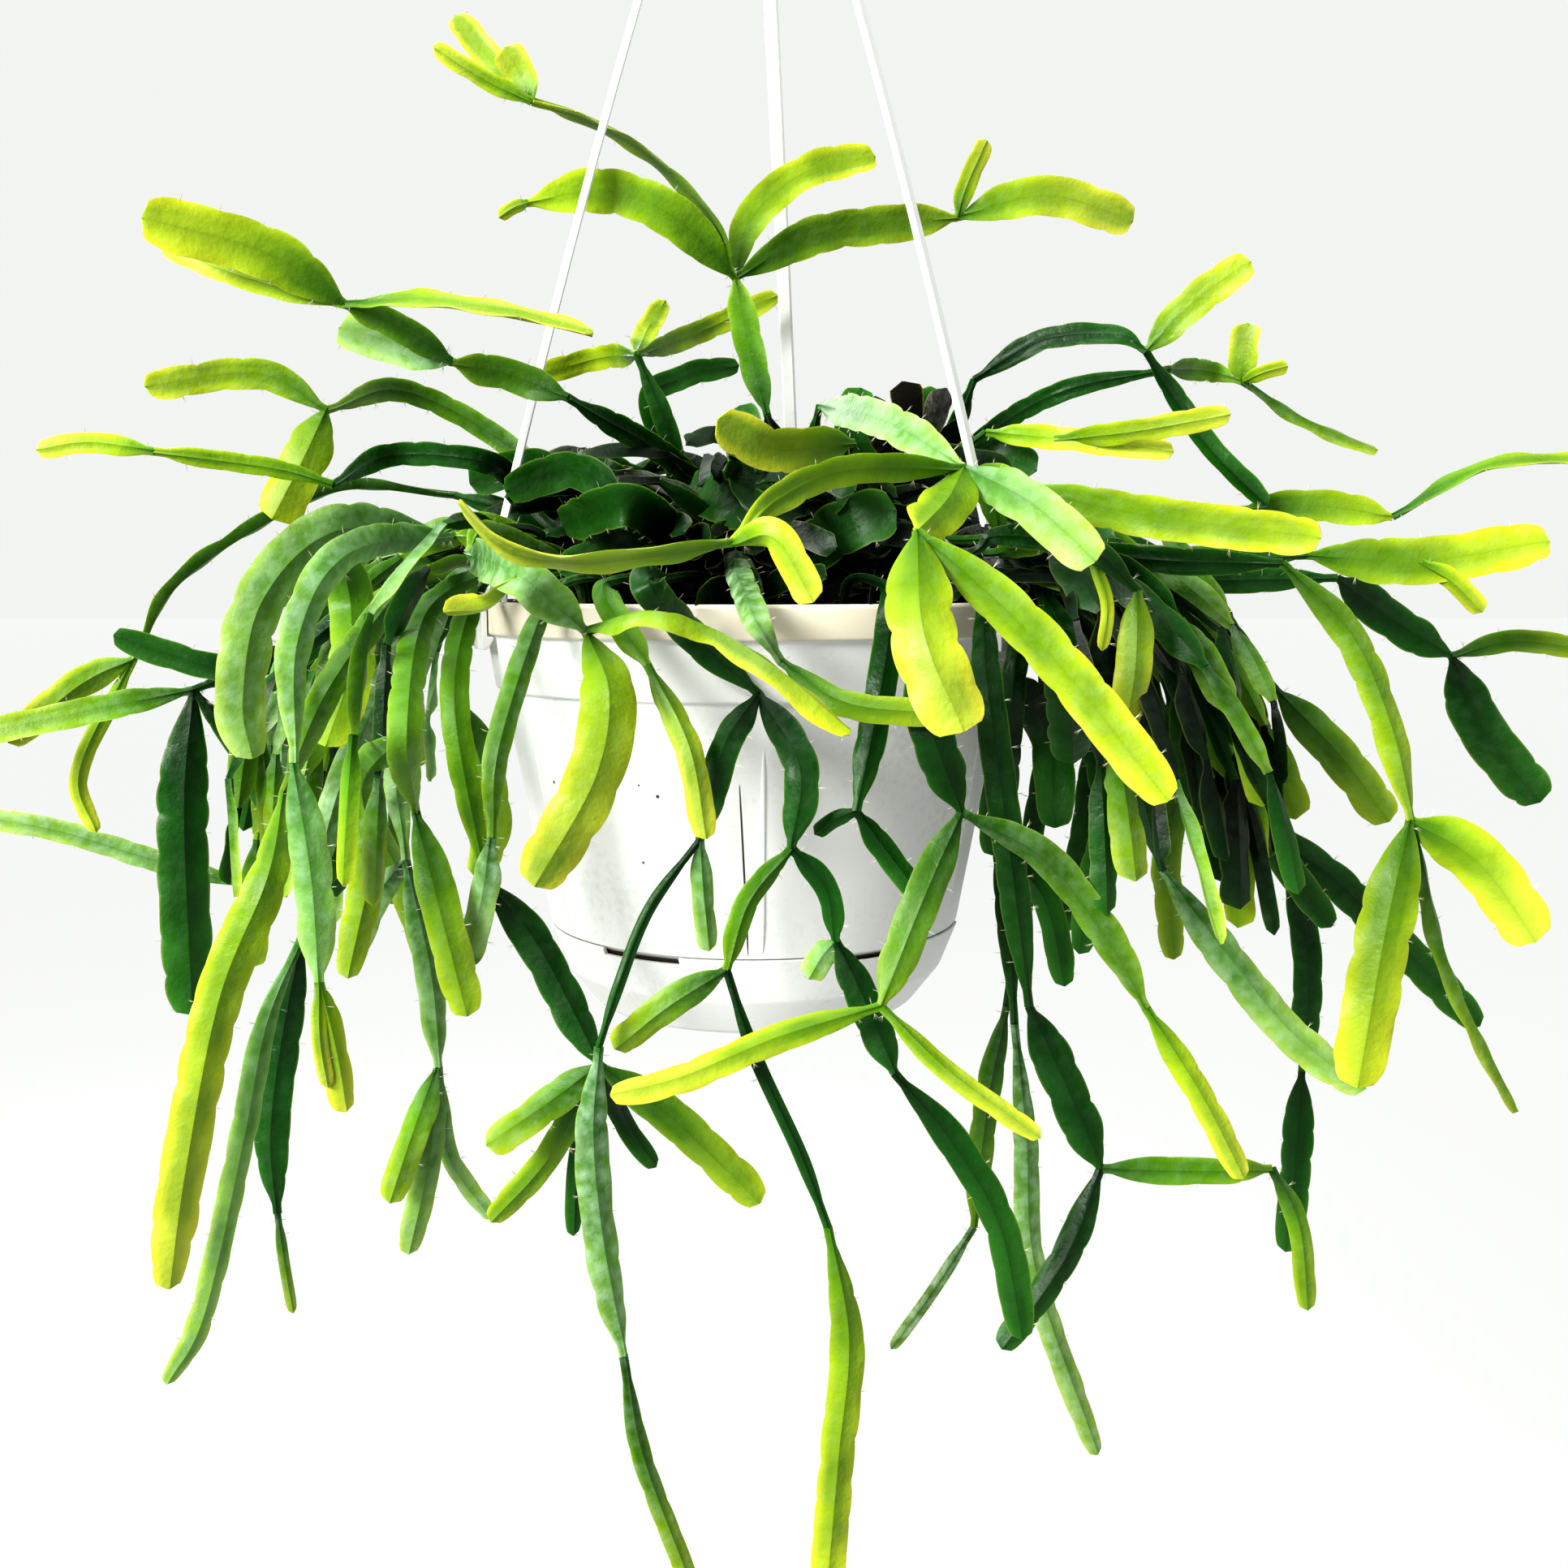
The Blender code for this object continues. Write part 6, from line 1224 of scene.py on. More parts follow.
def spline_weights(count, step):
    """Catmull-Rom weights of each of a run's points at this step along it."""
    number = min(int(step), count - 2)
    t = step - number
    basis = (
        (-t + 2 * t**2 - t**3) / 2,
        (2 - 5 * t**2 + 3 * t**3) / 2,
        (t + 4 * t**2 - 3 * t**3) / 2,
        (-(t**2) + t**3) / 2,
    )
    weights = [0.0] * count
    for offset, share in zip((-1, 0, 1, 2), basis):
        at = number + offset
        if at < 0:
            weights[0] += 2 * share
            weights[1] -= share
        elif at >= count:
            weights[-1] += 2 * share
            weights[-2] -= share
        else:
            weights[at] += share
    return weights


def breadth(share, tip):
    """Half width at this share of a flat joint's length, as a part of its widest."""
    rise = math.sin(math.pi / 2 * min(1.0, share / SHOULDER_SHARE)) ** SHOULDER_POWER
    if tip:
        ease = min(1.0, (1 - share) / ROUND_SHARE)
        fall = TIP_SHARE + (1 - TIP_SHARE) * math.sqrt(1 - (1 - ease) ** 2)
    else:
        fall = math.sin(math.pi / 2 * min(1.0, (1 - share) / NECK_SHARE)) ** SHOULDER_POWER
    return rise * fall


def pot_reach(height):
    """The pot's or saucer's outer radius at this height, and nothing above or under them."""
    depth = RIM_Z - height
    if depth < -CLEAR_OVER or depth > SAUCER_BASE_DEPTH + CLEAR_OVER:
        return 0.0
    if depth < RIM_BAND + BAND_FOOT:
        return RIM_RADIUS + BAND_CLEAR
    if depth < COLLAR_DEPTH:
        return COLLAR_RADIUS
    if depth < SEAM_DEPTH:
        share = (depth - COLLAR_DEPTH) / (SEAM_DEPTH - COLLAR_DEPTH)
        return BODY_TOP_RADIUS + (BODY_FOOT_RADIUS - BODY_TOP_RADIUS) * share
    share = min(1.0, (depth - SEAM_DEPTH) / (SAUCER_BASE_DEPTH - SEAM_DEPTH))
    return SAUCER_RADIUS + (SAUCER_FOOT_RADIUS - SAUCER_RADIUS) * share


def settle(stems):
    """Moves the stems' points along the line of sight until nothing crosses, so the view stays the same."""
    rows, owners, blades, halves, turns = [], [], [], [], []
    first = 0
    for number, stem in enumerate(stems):
        for width, turn, _, run in stem.blades:
            places = [stem.points[at] for at in run]
            steps = spline_steps(places, SETTLE_SPACING)
            for step in steps:
                row = [(first + at, share) for at, share in zip(run, spline_weights(len(run), step))]
                rows.append(row)
                owners.append(number)
                blades.append(len(turns))
                halves.append(max(JOINT_HALF, width / 2 * breadth(step / (len(run) - 1), True)))
            turns.append(math.radians(turn))
        first += len(stem.points)
    weights = np.zeros((len(rows), first))
    for at, row in enumerate(rows):
        for column, share in row:
            weights[at, column] += share
    owners, blades = np.array(owners), np.array(blades)
    halves, turn = np.array(halves), np.array(turns)[blades]
    points = np.array([place for stem in stems for place in stem.points]) / MM
    loose = ~np.array([held for stem in stems for held in stem.fixed])
    eye = np.array(EYE) / MM
    rays = (points - eye) / (points[:, 1:2] - eye[1])

    legs = [place for azimuth in LEG_AZIMUTHS.values() for place in leg_line(azimuth, LEG_SPOTS)]
    legs = np.array(legs) / MM
    leg_half = np.where(legs[:, 2] < (RIM_Z + FOOT_SHOULDER[1]) / MM, FOOT_HALF, LEG_HALF)

    spots = np.vstack((weights @ points, legs))
    owners = np.concatenate((owners, np.full(len(legs), -1)))
    blades = np.concatenate((blades, len(turns) + np.repeat(range(len(LEG_AZIMUTHS)), LEG_SPOTS + 1)))
    away = spots[:, 1] - eye[1]
    picture = (spots[:, [0, 2]] - eye[[0, 2]]) / away[:, None]
    radius = np.concatenate((halves * np.abs(np.cos(turn)) + BESIDE_MARGIN, leg_half)) / away
    deep = np.concatenate((halves * np.abs(np.sin(turn)) + DEPTH_MARGIN, np.full(len(legs), LEG_DEEP)))

    firsts, seconds = [], []
    for at in range(len(spots)):
        apart = np.hypot(*(picture[at + 1:] - picture[at]).T)
        near = np.nonzero((apart < radius[at] + radius[at + 1:]) & (owners[at + 1:] != owners[at]))[0]
        firsts += [at] * len(near)
        seconds += list(near + at + 1)
    firsts, seconds = np.array(firsts), np.array(seconds)
    pair = blades[firsts] * 10000 + blades[seconds]
    kinds, kind = np.unique(pair, return_inverse=True)
    lean = np.bincount(kind, spots[firsts, 1] - spots[seconds, 1])
    order = np.where(lean >= 0, 1.0, -1.0)[kind]
    need = deep[firsts] + deep[seconds] + SETTLE_GAP

    moved = np.zeros(len(points))
    count = len(rows)
    for _ in range(SETTLE_ROUNDS):
        depth = spots[:, 1]
        lack = np.maximum(0, need - order * (depth[firsts] - depth[seconds]))
        back, fore = np.zeros(len(spots)), np.zeros(len(spots))
        np.maximum.at(back, firsts, np.where(order > 0, lack, 0))
        np.maximum.at(fore, firsts, np.where(order < 0, lack, 0))
        np.maximum.at(fore, seconds, np.where(order > 0, lack, 0))
        np.maximum.at(back, seconds, np.where(order < 0, lack, 0))
        shift = (back - fore)[:count] / 2
        from_axis = np.hypot(spots[:count, 0], spots[:count, 1])
        reach = np.array([pot_reach(height * MM) for height in spots[:count, 2]]) / MM
        inside = np.maximum(0, reach + deep[:count] + POT_MARGIN - from_axis) * (reach > 0)
        side = np.where(spots[:count, 1] > BACK_SIDE, 1.0, -1.0)
        shift = np.where(inside > 0, side * inside, shift)
        pulled = weights.T @ shift
        active = np.abs(weights).T @ (shift != 0) + 1e-6
        moved = np.clip(moved + SETTLE_STEP * loose * pulled / active, -SETTLE_REACH, SETTLE_REACH)
        spots[:count] = weights @ (points + rays * moved[:, None])
    points = (points + rays * moved[:, None]) * MM
    first = 0
    for stem in stems:
        stem.points = [Vector(place) for place in points[first:first + len(stem.points)]]
        first += len(stem.points)


FINE_STATION = 1.2
TOOTH_LENGTH = 13.0
TOOTH_DEPTH = 0.14
TUFT_SHARE = {LIME: 0.25, FRESH: 0.5, GREEN: 0.7, DARK: 0.85, PALE: 0.8}
FACE_BLEND = 0.02
NECK_HALF = 1.5
SECTION_POINTS = 9
EDGE_SHARE = 0.36
VEIN_SHARE = 0.42
VEIN_WIDTH = 0.13
END_ROUND = 1.6
RIPPLE = 0.10
RIPPLE_LENGTH = 23.0
TONE_SPREAD = 0.16
JOINT_FOLD = (0.16, 0.34)
JOINT_ROLL = 14
HANGING = -0.25
FOLD_POWER = 1.35
# Painted shade in the crown: how much the joints darken near the axis and low over the rim, and where it
# fades.
CROWN_SHADE = 0.62
CROWN_SHADE_REACH = (0.070, 0.115)
CROWN_SHADE_HEIGHT = (0.018, 0.060)
SCARRED = ("stem_left_scar", 1)
SCAR_START = 0.90
SCAR_BROWN = (0.022, 0.012, 0.006)
PAINTED_SHEEN = (0.36, 0.52, 0.34)
SHEEN_SHARES = {LIME: (0.0, 0.15), FRESH: (0.0, 0.2), GREEN: (0.0, 0.35), DARK: (0.0, 0.06), PALE: (0.4, 1.0)}
EDGE_TINT = (0.34, 0.38, 0.10)
GROWTH_SEED = 21


def fine_joint(stem, number, draw, spacing):
    """The fine stations of one flat joint: places, frames, half widths and colours, as arrays by name."""
    width, turn, tone, run = stem.blades[number]
    places = [stem.points[at] for at in run]
    rooted = run[0] == stem.keys["soil"]
    tip = all(other[3][0] != run[-1] for other in stem.blades)
    steps = spline_steps(places, spacing)
    weights = np.array([spline_weights(len(run), step) for step in steps])
    middles = weights @ np.array(places)
    start = steps.index(float(len(stem.start) - 1)) if rooted else 0
    if rooted:
        peg = np.array(stem.points[stem.keys["peg"]])
        feet = peg + (middles[0] - peg) * np.linspace(0, 1, 5)[:-1, None]
        middles = np.vstack((feet, middles))
        start += len(feet)
    along = np.gradient(middles, axis=0)
    along /= np.linalg.norm(along, axis=1)[:, None]
    gone = np.concatenate(([0], np.cumsum(np.linalg.norm(np.diff(middles, axis=0), axis=1)))) / MM
    front = np.array(EYE) - middles
    front /= np.linalg.norm(front, axis=1)[:, None]
    rear = np.stack((middles[:, 0], middles[:, 1], middles[:, 1]), axis=1)
    rear /= np.linalg.norm(rear, axis=1)[:, None] + 1e-9
    turned_back = np.clip((middles[:, 1] - BACK_FACE) / FACE_BLEND + 0.5, 0, 1)[:, None]
    facing = front * (1 - turned_back) + rear * turned_back
    facing -= along * np.sum(facing * along, axis=1)[:, None]
    facing /= np.linalg.norm(facing, axis=1)[:, None] + 1e-9
    across = np.cross(along, facing)
    length = gone[-1] - gone[start]
    share = np.clip((gone - gone[start]) / length, 0, 1)
    roll = draw.uniform(-JOINT_ROLL, JOINT_ROLL)
    angle = np.radians(turn + roll * (2 * share - 1))[:, None]
    across, facing = (
        across * np.cos(angle) + facing * np.sin(angle),
        facing * np.cos(angle) - across * np.sin(angle),
    )
    wide = width / 2 * np.array([breadth(s, tip) for s in share])
    neck = min(NECK_HALF, width * 0.3)
    half = np.maximum(np.where((share > 0.5) & tip, 0, neck), wide)
    if tip:
        left_over = np.clip((gone[-1] - gone) / END_ROUND, 0, 1)
        half *= 0.25 + 0.75 * np.sqrt(1 - (1 - left_over) ** 2)
    flat = np.clip((half - neck) / (2 * neck), 0, 1)
    thick = JOINT_THICK * (1 - flat) + BLADE_THICK * flat
    thick *= np.where((share > 0.5) & tip, TIP_THICK + (1 - TIP_THICK) * np.clip((1 - share) * 4, 0, 1), 1)
    body = np.clip((share - 0.06) / 0.12, 0, 1) * np.clip((1 - share) / 0.08, 0, 1) * (width > THIN_WIDTH)
    phase = draw.random()
    wave = np.sin(2 * math.pi * (gone / RIPPLE_LENGTH + phase)) * RIPPLE * half * flat
    beat = gone / TOOTH_LENGTH + phase + 0.22 * np.sin(gone / 17 + 6 * phase)
    body *= 0.75 + 0.45 * np.sin(gone / 9.5 + 11 * phase)
    tuft = np.zeros(len(gone))
    for side, shift in ((-1, 0), (1, 0.5)):
        for at in np.nonzero(np.diff(np.floor(beat + shift)))[0] + 1:
            if share[at] > 0 and draw.random() < TUFT_SHARE[tone]:
                tuft[at] = side
    tuft[start + 2] = 2
    hangs = middles[-1, 2] - middles[start, 2] < HANGING * length * MM
    fold = draw.uniform(*JOINT_FOLD) * (-1 if hangs else 1)
    # Colour from neck to tip; the darker necks are partly older skin and partly painted shade.
    towards_tip = share if tip else share * 0.55
    colour = np.stack([
        np.interp(towards_tip, (0, 0.35, 1), channel) for channel in np.array(TONES[tone]).T
    ], axis=1) * (1 + draw.uniform(-TONE_SPREAD, TONE_SPREAD))
    # Painted shade: joints close to the axis and low over the rim are darkened, as the crown shades them.
    reach = np.hypot(middles[:, 0], middles[:, 1])
    inner = np.interp(reach, CROWN_SHADE_REACH, (1, 0)) * np.interp(middles[:, 2] - RIM_Z, CROWN_SHADE_HEIGHT, (1, 0))
    colour *= (1 - CROWN_SHADE * inner)[:, None]
    if (stem.name, number) == SCARRED:
        dead = np.clip((share - SCAR_START) * 25, 0, 1)[:, None]
        colour = colour * (1 - dead) + np.array(SCAR_BROWN) * dead
    return {
        "place": middles, "across": across, "facing": facing,
        "half": half * MM, "thick": thick * MM, "fold": fold * half * flat * MM,
        "ripple": wave * MM, "tooth": body,
        "beat": beat, "tuft": tuft, "bloom": np.full(len(share), draw.uniform(*SHEEN_SHARES[tone])),
        "colour": np.concatenate((colour, np.ones((len(share), 1))), axis=1),
    }


SPINE_KINDS = {
    "across": "FLOAT_VECTOR", "facing": "FLOAT_VECTOR", "half": "FLOAT", "thick": "FLOAT", "fold": "FLOAT",
    "ripple": "FLOAT", "tooth": "FLOAT", "beat": "FLOAT", "bloom": "FLOAT",
    "tuft": "FLOAT", "colour": "FLOAT_COLOR",
}
VALUE_NAMES = {"FLOAT": "value", "FLOAT_VECTOR": "vector", "FLOAT_COLOR": "color"}


def spine_mesh(stem, draw, spacing):
    """The middle lines of all the stem's joints, one chain of edges for each, with what the sweep needs."""
    joints = [fine_joint(stem, number, draw, spacing) for number in range(len(stem.blades))]
    mesh = bpy.data.meshes.new(stem.name + "_spine")
    places = np.vstack([joint["place"] for joint in joints])
    edges, first = [], 0
    for joint in joints:
        count = len(joint["place"])
        edges += [(first + at, first + at + 1) for at in range(count - 1)]
        first += count
    mesh.from_pydata(places.tolist(), edges, [])
    for name, kind in SPINE_KINDS.items():
        values = np.concatenate([joint[name] for joint in joints])
        mesh.attributes.new(name, kind, "POINT").data.foreach_set(VALUE_NAMES[kind], values.ravel())
    return mesh


def section_outline(count):
    """The flat joint's section, with this many points on each face: its middle vein, faces and thin edge."""
    points = []
    for number in range(count):
        turn = math.pi * number / (count - 1)
        points.append((math.copysign(abs(math.cos(turn)) ** 1.6, math.cos(turn)), math.sin(turn)))
    ring = points + [(x, -y) for x, y in points[-2:0:-1]]
    mesh = bpy.data.meshes.new("joint_section")
    places = []
    for x, y in ring:
        vein = VEIN_SHARE * math.exp(-((x / VEIN_WIDTH) ** 2))
        thick = EDGE_SHARE * math.sqrt(abs(y)) + (1 - EDGE_SHARE - VEIN_SHARE) * (1 - abs(x)) + vein
        places.append((x, math.copysign(thick, y) if abs(y) > 1e-6 else 0, 0))
    mesh.from_pydata(places, [(at, (at + 1) % len(ring)) for at in range(len(ring))], [])
    made = bpy.data.objects.new("joint_section", mesh)
    bpy.context.scene.collection.objects.link(made)
    return made


def joint_tree(section, finish):
    """Sweeps the section along each joint's middle line, and cuts the scalloped edge."""
    tree = Tree("flat_joint", **{"Notch Power": 0.55, "Tooth Depth": TOOTH_DEPTH})
    shape = tree.node("GeometryNodeObjectInfo", Object=section).outputs["Geometry"]
    ring = tree.node("GeometryNodeMeshToCurve", shape).outputs[0]
    place = tree.node("GeometryNodeInputPosition").outputs[0]
    split = tree.node("ShaderNodeSeparateXYZ", place).outputs
    ring = tree.store(tree.store(ring, "side", split["X"]), "up", split["Y"])
    line = tree.node("GeometryNodeMeshToCurve", tree.given["Geometry"]).outputs[0]
    line = tree.store(line, "middle", place, "FLOAT_VECTOR")
    swept = tree.node("GeometryNodeCurveToMesh", line, Profile_Curve=ring, Fill_Caps=True).outputs[0]
    side, up = tree.read("side"), tree.read("up")
    away = tree.maths("ABSOLUTE", side)
    other_edge = tree.product(tree.maths("GREATER_THAN", side, 0.0), 0.5)
    beat = tree.maths("FRACT", tree.maths("ADD", tree.read("beat"), other_edge))
    lobe = tree.product(beat, tree.maths("SUBTRACT", 1.0, beat), 4.0)
    notch = tree.maths("SUBTRACT", 1.0, tree.maths("POWER", lobe, tree.given["Notch Power"]))
    depth = tree.product(notch, tree.read("tooth"), tree.given["Tooth Depth"], away, away)
    wide = tree.product(side, tree.read("half"), tree.maths("SUBTRACT", 1.0, depth))
    wave = tree.product(tree.read("ripple"), tree.maths("SIGN", side), away)
    rise = tree.product(tree.maths("ADD", tree.read("fold"), wave), tree.maths("POWER", away, FOLD_POWER))
    deep = tree.maths("ADD", rise, tree.product(up, tree.read("thick")))
    moved = tree.plus(tree.read("middle", "FLOAT_VECTOR"), tree.plus(
        tree.scaled(tree.read("across", "FLOAT_VECTOR"), wide),
        tree.scaled(tree.read("facing", "FLOAT_VECTOR"), deep)))
    tree.ends(tree.node("GeometryNodeSetPosition", swept, Position=moved).outputs[0], finish)
    return tree


def stem_skin():
    """Waxy green skin: its own colour, clouded, a pale painted sheen for reflected light, a vein line, a fine
    puckered grain.
    """
    made, tree, shader, place = new_finish("stem_skin", 0.4)
    shader.inputs["Subsurface Weight"].default_value = 0.12
    shader.inputs["Subsurface Radius"].default_value = (0.5, 1.0, 0.12)
    shader.inputs["Subsurface Scale"].default_value = 0.004
    shader.inputs["Specular IOR Level"].default_value = 0.14
    shader.inputs["Coat Weight"].default_value = 0.04
    shader.inputs["Coat Roughness"].default_value = 0.25
    own = add(tree, "ShaderNodeAttribute", settings={"attribute_name": "colour"}).outputs["Color"]
    side = add(tree, "ShaderNodeAttribute", settings={"attribute_name": "side"}).outputs["Fac"]
    away = sums(tree, "ABSOLUTE", side)
    cloud, mottle, grain = noise(tree, place, 38, 3), noise(tree, place, 240, 3), noise(tree, place, 700, 3)
    deeper = blended(tree, 1.0, own, (0.45, 0.58, 0.5), "MULTIPLY")
    lighter = blended(tree, 1.0, own, (1.5, 1.22, 1.1), "MULTIPLY")
    skin = blended(tree, spread(tree, cloud, 0.36, 0.62), deeper, own)
    # Painted light: the joint lightens towards its thin edges, as if light shone through them.
    skin = blended(tree, spread(tree, away, 0.45, 0.98, 0.0, 0.85), skin, lighter)
    # Painted sheen: a pale grey-green mottled over each joint as far as its sheen share, standing in for
    # reflected window light.
    sheen_share = add(tree, "ShaderNodeAttribute", settings={"attribute_name": "bloom"}).outputs["Fac"]
    bloom = sums(tree, "MULTIPLY", spread(tree, mottle, 0.38, 0.72, 0.0, 0.6), sheen_share)
    skin = blended(tree, bloom, skin, PAINTED_SHEEN)
    skin = blended(tree, spread(tree, away, 0.0, 0.45, 0.45, 0.0), skin, deeper)
    skin = blended(tree, spread(tree, away, 0.0, 0.08, 0.35, 0.0), skin, deeper)
    skin = blended(tree, spread(tree, away, 0.90, 1.0, 0.0, 0.18), skin, EDGE_TINT)
    tree.links.new(skin, shader.inputs["Base Color"])
    tree.links.new(spread(tree, mottle, 0.3, 0.7, 0.30, 0.52), shader.inputs["Roughness"])
    height = sums(tree, "ADD", sums(tree, "MULTIPLY", mottle, 0.8), sums(tree, "MULTIPLY", grain, 0.25))
    pucker = add(tree, "ShaderNodeBump", Strength=0.55, Distance=0.0011, Height=height)
    tree.links.new(pucker.outputs["Normal"], shader.inputs["Normal"])
    return made


stems = [traced_stem(row) for row in STEMS] + [grown_stem(row) for row in GROWN]
settle(stems)
skin = stem_skin()
section = section_outline(SECTION_POINTS)
sweep = joint_tree(section, skin)
joint_meshes = []
for stem in stems:
    draw = random.Random(f"{GROWTH_SEED} {stem.name}")
    joints = bpy.data.objects.new(stem.name + "_joints", spine_mesh(stem, draw, FINE_STATION))
    sweep.run(joints)
    outward(joints.data)
    joint_meshes.append(joints.data)
    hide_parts(stem.name)
    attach(joints, "root")


# The inner growth. Behind the stems that can be followed one by one, older joints crowd the crown and hang
# in the shade on both sides, with a few black dried ones among them. They grow from the soil by rule,
# wherever the followed stems leave them room.
DEEP, DRIED = "deep", "dried"
# The deep tone is near black: partly old stems, partly painted shade for the shadow inside the crown and
# among the hanging masses.
TONES[DEEP] = ((0.0004, 0.003, 0.0005), (0.001, 0.010, 0.001), (0.004, 0.034, 0.003))
TONES[DRIED] = ((0.001, 0.001, 0.001), (0.002, 0.002, 0.0015), (0.005, 0.0035, 0.0025))
SHEEN_SHARES[DEEP] = SHEEN_SHARES[DRIED] = (0.0, 0.05)
TUFT_SHARE[DEEP] = TUFT_SHARE[DRIED] = 0.12
DRIED_STEM = ("dried_stem", (160, 36), None, (
    (9, 0, DRIED, (1098, 620, 24), (1108, 570, 22)),
    (11, 30, DRIED, (1108, 570), (1086, 530, 20), (1078, 488, 18)),
    (14, -35, DRIED, (1108, 570), (1118, 520, 14), (1112, 470, 10)),
    (12, 40, DRIED, (1108, 570), (1146, 530, 10), (1166, 478, 6)),
    (10, -20, DRIED, (1108, 570), (1150, 552, 16), (1188, 520, 14)),
))
CROWN = {
    "azimuths": (-180, 180), "radii": (8, 88), "lift": None, "rises": (0, 34), "climbs": (26, -8),
    "lengths": (22, 38), "widths": (6, 10), "tones": (DEEP, DEEP, DARK, DEEP), "most": 120,
}
LITTER = {
    "azimuths": (-180, 180), "radii": (6, 90), "lift": None, "rises": (-7, 9), "climbs": (5, 2),
    "lengths": (26, 44), "widths": (6, 12), "tones": (DEEP, DRIED, DEEP, DRIED), "most": 80,
}
LEFT = {
    "azimuths": (-112, -46), "radii": (70, 86), "lift": (8, 26), "rises": (0, 0),
    "climbs": (-6, -44, -74, -84), "lengths": (24, 46), "widths": (5, 11),
    "tones": (DARK, GREEN, PALE, GREEN), "most": 34,
}
RIGHT = {
    "azimuths": (50, 124), "radii": (70, 86), "lift": (8, 26), "rises": (0, 0), "climbs": (-2, -36, -64, -76),
    "lengths": (24, 46), "widths": (5, 13), "tones": (DEEP, DARK, DEEP, GREEN), "most": 64,
}
INNER_TRIES = 3600
INNER_VEER = 40
INNER_LEAN = 12
INNER_TURN = 65
INNER_SAG = 0.08
INNER_CLEAR = 0.52
INNER_CROWDED = 0.28
INNER_POT_GAP = 0.004
INNER_STATION = 2.2
INNER_SPAN = 0.13
INNER_SECTION_POINTS = 5
INNER_SEED = 5


def inner_stem(kind, draw):
    """One stem of the inner growth, of this kind: each joint climbs less, or hangs more, than the last."""
    azimuth = draw.uniform(*kind["azimuths"])
    leave = (azimuth, draw.uniform(*kind["lift"])) if kind["lift"] else None
    stem = Stem("inner_growth", (azimuth, draw.uniform(*kind["radii"])), leave)
    run = list(stem.start)
    if not leave:
        stem.add("rise", stem.points[-1] + Vector((0, 0, draw.uniform(*kind["rises"]) * MM)))
        run.append("rise")
    heading = azimuth + draw.uniform(-INNER_VEER, INNER_VEER) * (1 if leave else 2)
    for joint, climb in enumerate(kind["climbs"]):
        lean = math.radians(climb + draw.uniform(-INNER_LEAN, INNER_LEAN))
        ahead = around(heading + draw.uniform(-INNER_LEAN, INNER_LEAN), math.cos(lean), math.sin(lean))
        length = draw.uniform(*kind["lengths"]) * MM
        begin = stem.points[stem.keys[run[-1]]]
        stem.add((joint, "middle"), begin + ahead * length / 2)
        stem.add((joint, "end"), begin + ahead * length - Vector((0, 0, length * INNER_SAG)))
        width, turn = draw.uniform(*kind["widths"]), draw.uniform(-INNER_TURN, INNER_TURN)
        stem.blade(width, turn, draw.choice(kind["tones"]), [*run, (joint, "middle"), (joint, "end")])
        run = [(joint, "end")]
    return stem


def joint_spots(stem):
    """Places along all the stem's joints with their half widths, for keeping clear of them."""
    places, halves = [], []
    for width, _, _, run in stem.blades:
        way = [stem.points[at] for at in run]
        for step in spline_steps(way, SETTLE_SPACING):
            shares = spline_weights(len(run), step)
            places.append(sum((place * share for place, share in zip(way, shares)), Vector()))
            halves.append(max(JOINT_HALF, width / 2 * breadth(step / (len(run) - 1), True)) * MM)
    return np.array(places), np.array(halves)


def keeps_clear(places, wide, others, others_wide, share):
    near = (np.abs(others - places.mean(axis=0)) < INNER_SPAN).all(axis=1)
    gaps = np.linalg.norm(places[:, None] - others[near][None], axis=2)
    return (gaps > (wide[:, None] + others_wide[near][None]) * share).all()


taken = [joint_spots(stem) for stem in stems]
followed = [np.concatenate(side) for side in zip(*taken)]
inner_sweep = joint_tree(section_outline(INNER_SECTION_POINTS), skin)
for name, kind in {"crown": CROWN, "litter": LITTER, "left": LEFT, "right": RIGHT}.items():
    draw = random.Random(f"{INNER_SEED} {name}")
    kept = [traced_stem(DRIED_STEM)] if kind is CROWN else []
    crowd = joint_spots(kept[0]) if kept else (np.zeros((1, 3)), np.zeros(1))
    for _ in range(INNER_TRIES):
        stem = inner_stem(kind, draw)
        places, wide = joint_spots(stem)
        over = places[:, 2] > RIM_Z - INNER_POT_GAP
        reach = np.hypot(places[:, 0], places[:, 1])
        if not kind["lift"]:
            fits = reach.max() < RIM_RADIUS and over[-1]
        else:
            pot = np.array([pot_reach(height) for height in places[:, 2]])
            beside = reach > pot + INNER_POT_GAP + wide / 2
            fits = (over | beside | (places[:, 2] > RIM_Z - SOIL_DEPTH)).all()
        places, wide = places[over | (reach > RIM_RADIUS)], wide[over | (reach > RIM_RADIUS)]
        if fits and keeps_clear(places, wide, *followed, INNER_CLEAR) and keeps_clear(
            places, wide, *crowd, INNER_CROWDED
        ):
            kept.append(stem)
            crowd = np.vstack((crowd[0], places)), np.concatenate((crowd[1], wide))
        if len(kept) == kind["most"]:
            break
    spines = [spine_mesh(stem, draw, INNER_STATION) for stem in kept]
    grown = joined("inner_growth_" + name, [bpy.data.objects.new("inner", mesh) for mesh in spines])
    inner_sweep.run(grown)
    outward(grown.data)
    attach(grown, "root")
for outline in [thing for thing in bpy.data.objects if thing.name.startswith("joint_section")]:
    bpy.data.objects.remove(outline, do_unlink=True)


# The bristles. Each notch of a joint's edge, and each neck, has a tuft of short pale hairs. The newest
# joints have hardly any, and the shaded inner growth has lost its own.
HAIR_LENGTH = 0.0023
HAIR_RADIUS = 0.00006
HAIR_SPLAY = (0.0, 0.55, -0.5, 0.35, -0.25)
HAIR_SEED = 11


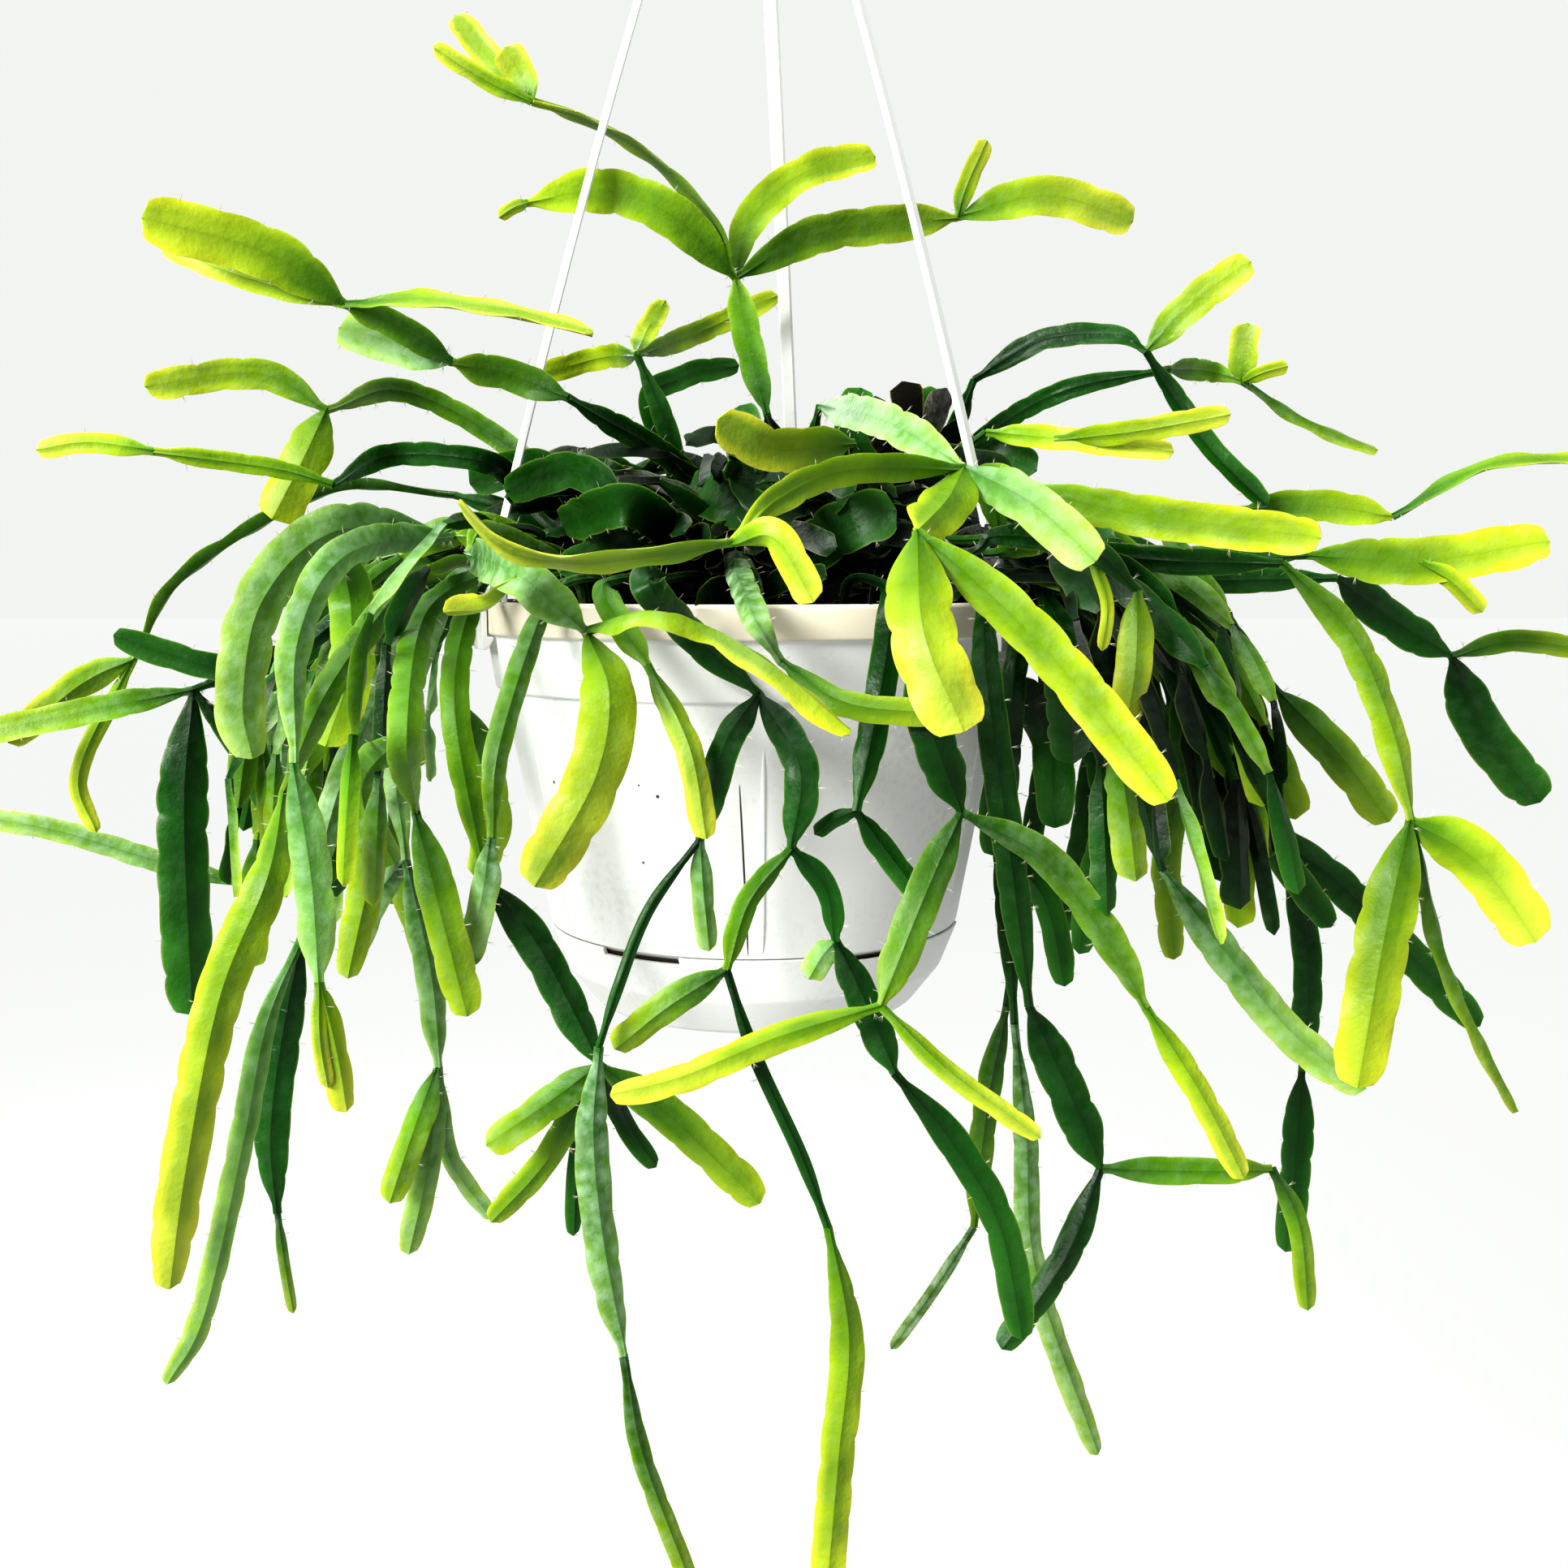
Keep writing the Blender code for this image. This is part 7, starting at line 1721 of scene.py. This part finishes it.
def tuft_object():
    """A tuft of a few tapering hairs, standing along Z."""
    draw = random.Random(HAIR_SEED)
    form = bmesh.new()
    for lean in HAIR_SPLAY:
        hair = bmesh.ops.create_cone(
            form, cap_ends=True, segments=3, radius1=HAIR_RADIUS, radius2=HAIR_RADIUS / 8,
            depth=HAIR_LENGTH * draw.uniform(0.6, 1.2),
        )["verts"]
        bmesh.ops.translate(form, verts=hair, vec=(0, 0, HAIR_LENGTH * 0.45))
        turn = Vector((draw.uniform(-0.3, 0.3), lean, 1)).to_track_quat("Z", "Y").to_matrix()
        bmesh.ops.rotate(form, verts=hair, matrix=turn)
    mesh = bpy.data.meshes.new("tuft")
    form.to_mesh(mesh)
    form.free()
    made = bpy.data.objects.new("tuft", mesh)
    bpy.context.scene.collection.objects.link(made)
    return made


def hair_finish():
    made, tree, shader, place = new_finish("bristle", 0.6)
    colour = blended(tree, noise(tree, place, 90), (0.70, 0.67, 0.55), (0.34, 0.29, 0.18))
    tree.links.new(colour, shader.inputs["Base Color"])
    return made


edges = joined("bristles", [bpy.data.objects.new("edge", mesh.copy()) for mesh in joint_meshes])
tuft = tuft_object()
hairs = Tree("bristles", **{"Least Size": 0.5, "Most Size": 1.25})
side, mark = hairs.read("side"), hairs.read("tuft")
at_edge = hairs.maths("GREATER_THAN", hairs.maths("ABSOLUTE", side), 0.999)
marked = hairs.maths("MAXIMUM", hairs.product(mark, side), hairs.maths("SUBTRACT", mark, 1.0))
spots = hairs.node(
    "GeometryNodeMeshToPoints", hairs.given["Geometry"],
    Selection=hairs.product(at_edge, hairs.maths("GREATER_THAN", marked, 0.5)),
).outputs[0]
outwards = hairs.scaled(hairs.read("across", "FLOAT_VECTOR"), hairs.maths("SIGN", side))
stand = hairs.node("FunctionNodeAlignRotationToVector", Vector=outwards, settings={"axis": "Z"}).outputs[0]
size = hairs.node("FunctionNodeRandomValue", settings={"data_type": "FLOAT"}, Seed=HAIR_SEED)
hairs.group.links.new(hairs.given["Least Size"], size.inputs[2])
hairs.group.links.new(hairs.given["Most Size"], size.inputs[3])
grown = hairs.node(
    "GeometryNodeInstanceOnPoints", spots, Rotation=stand, Scale=size.outputs[1],
    Instance=hairs.node("GeometryNodeObjectInfo", Object=tuft).outputs["Geometry"],
).outputs[0]
hairs.ends(grown, hair_finish())
hairs.run(edges)
bpy.data.objects.remove(tuft, do_unlink=True)
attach(edges, "root")
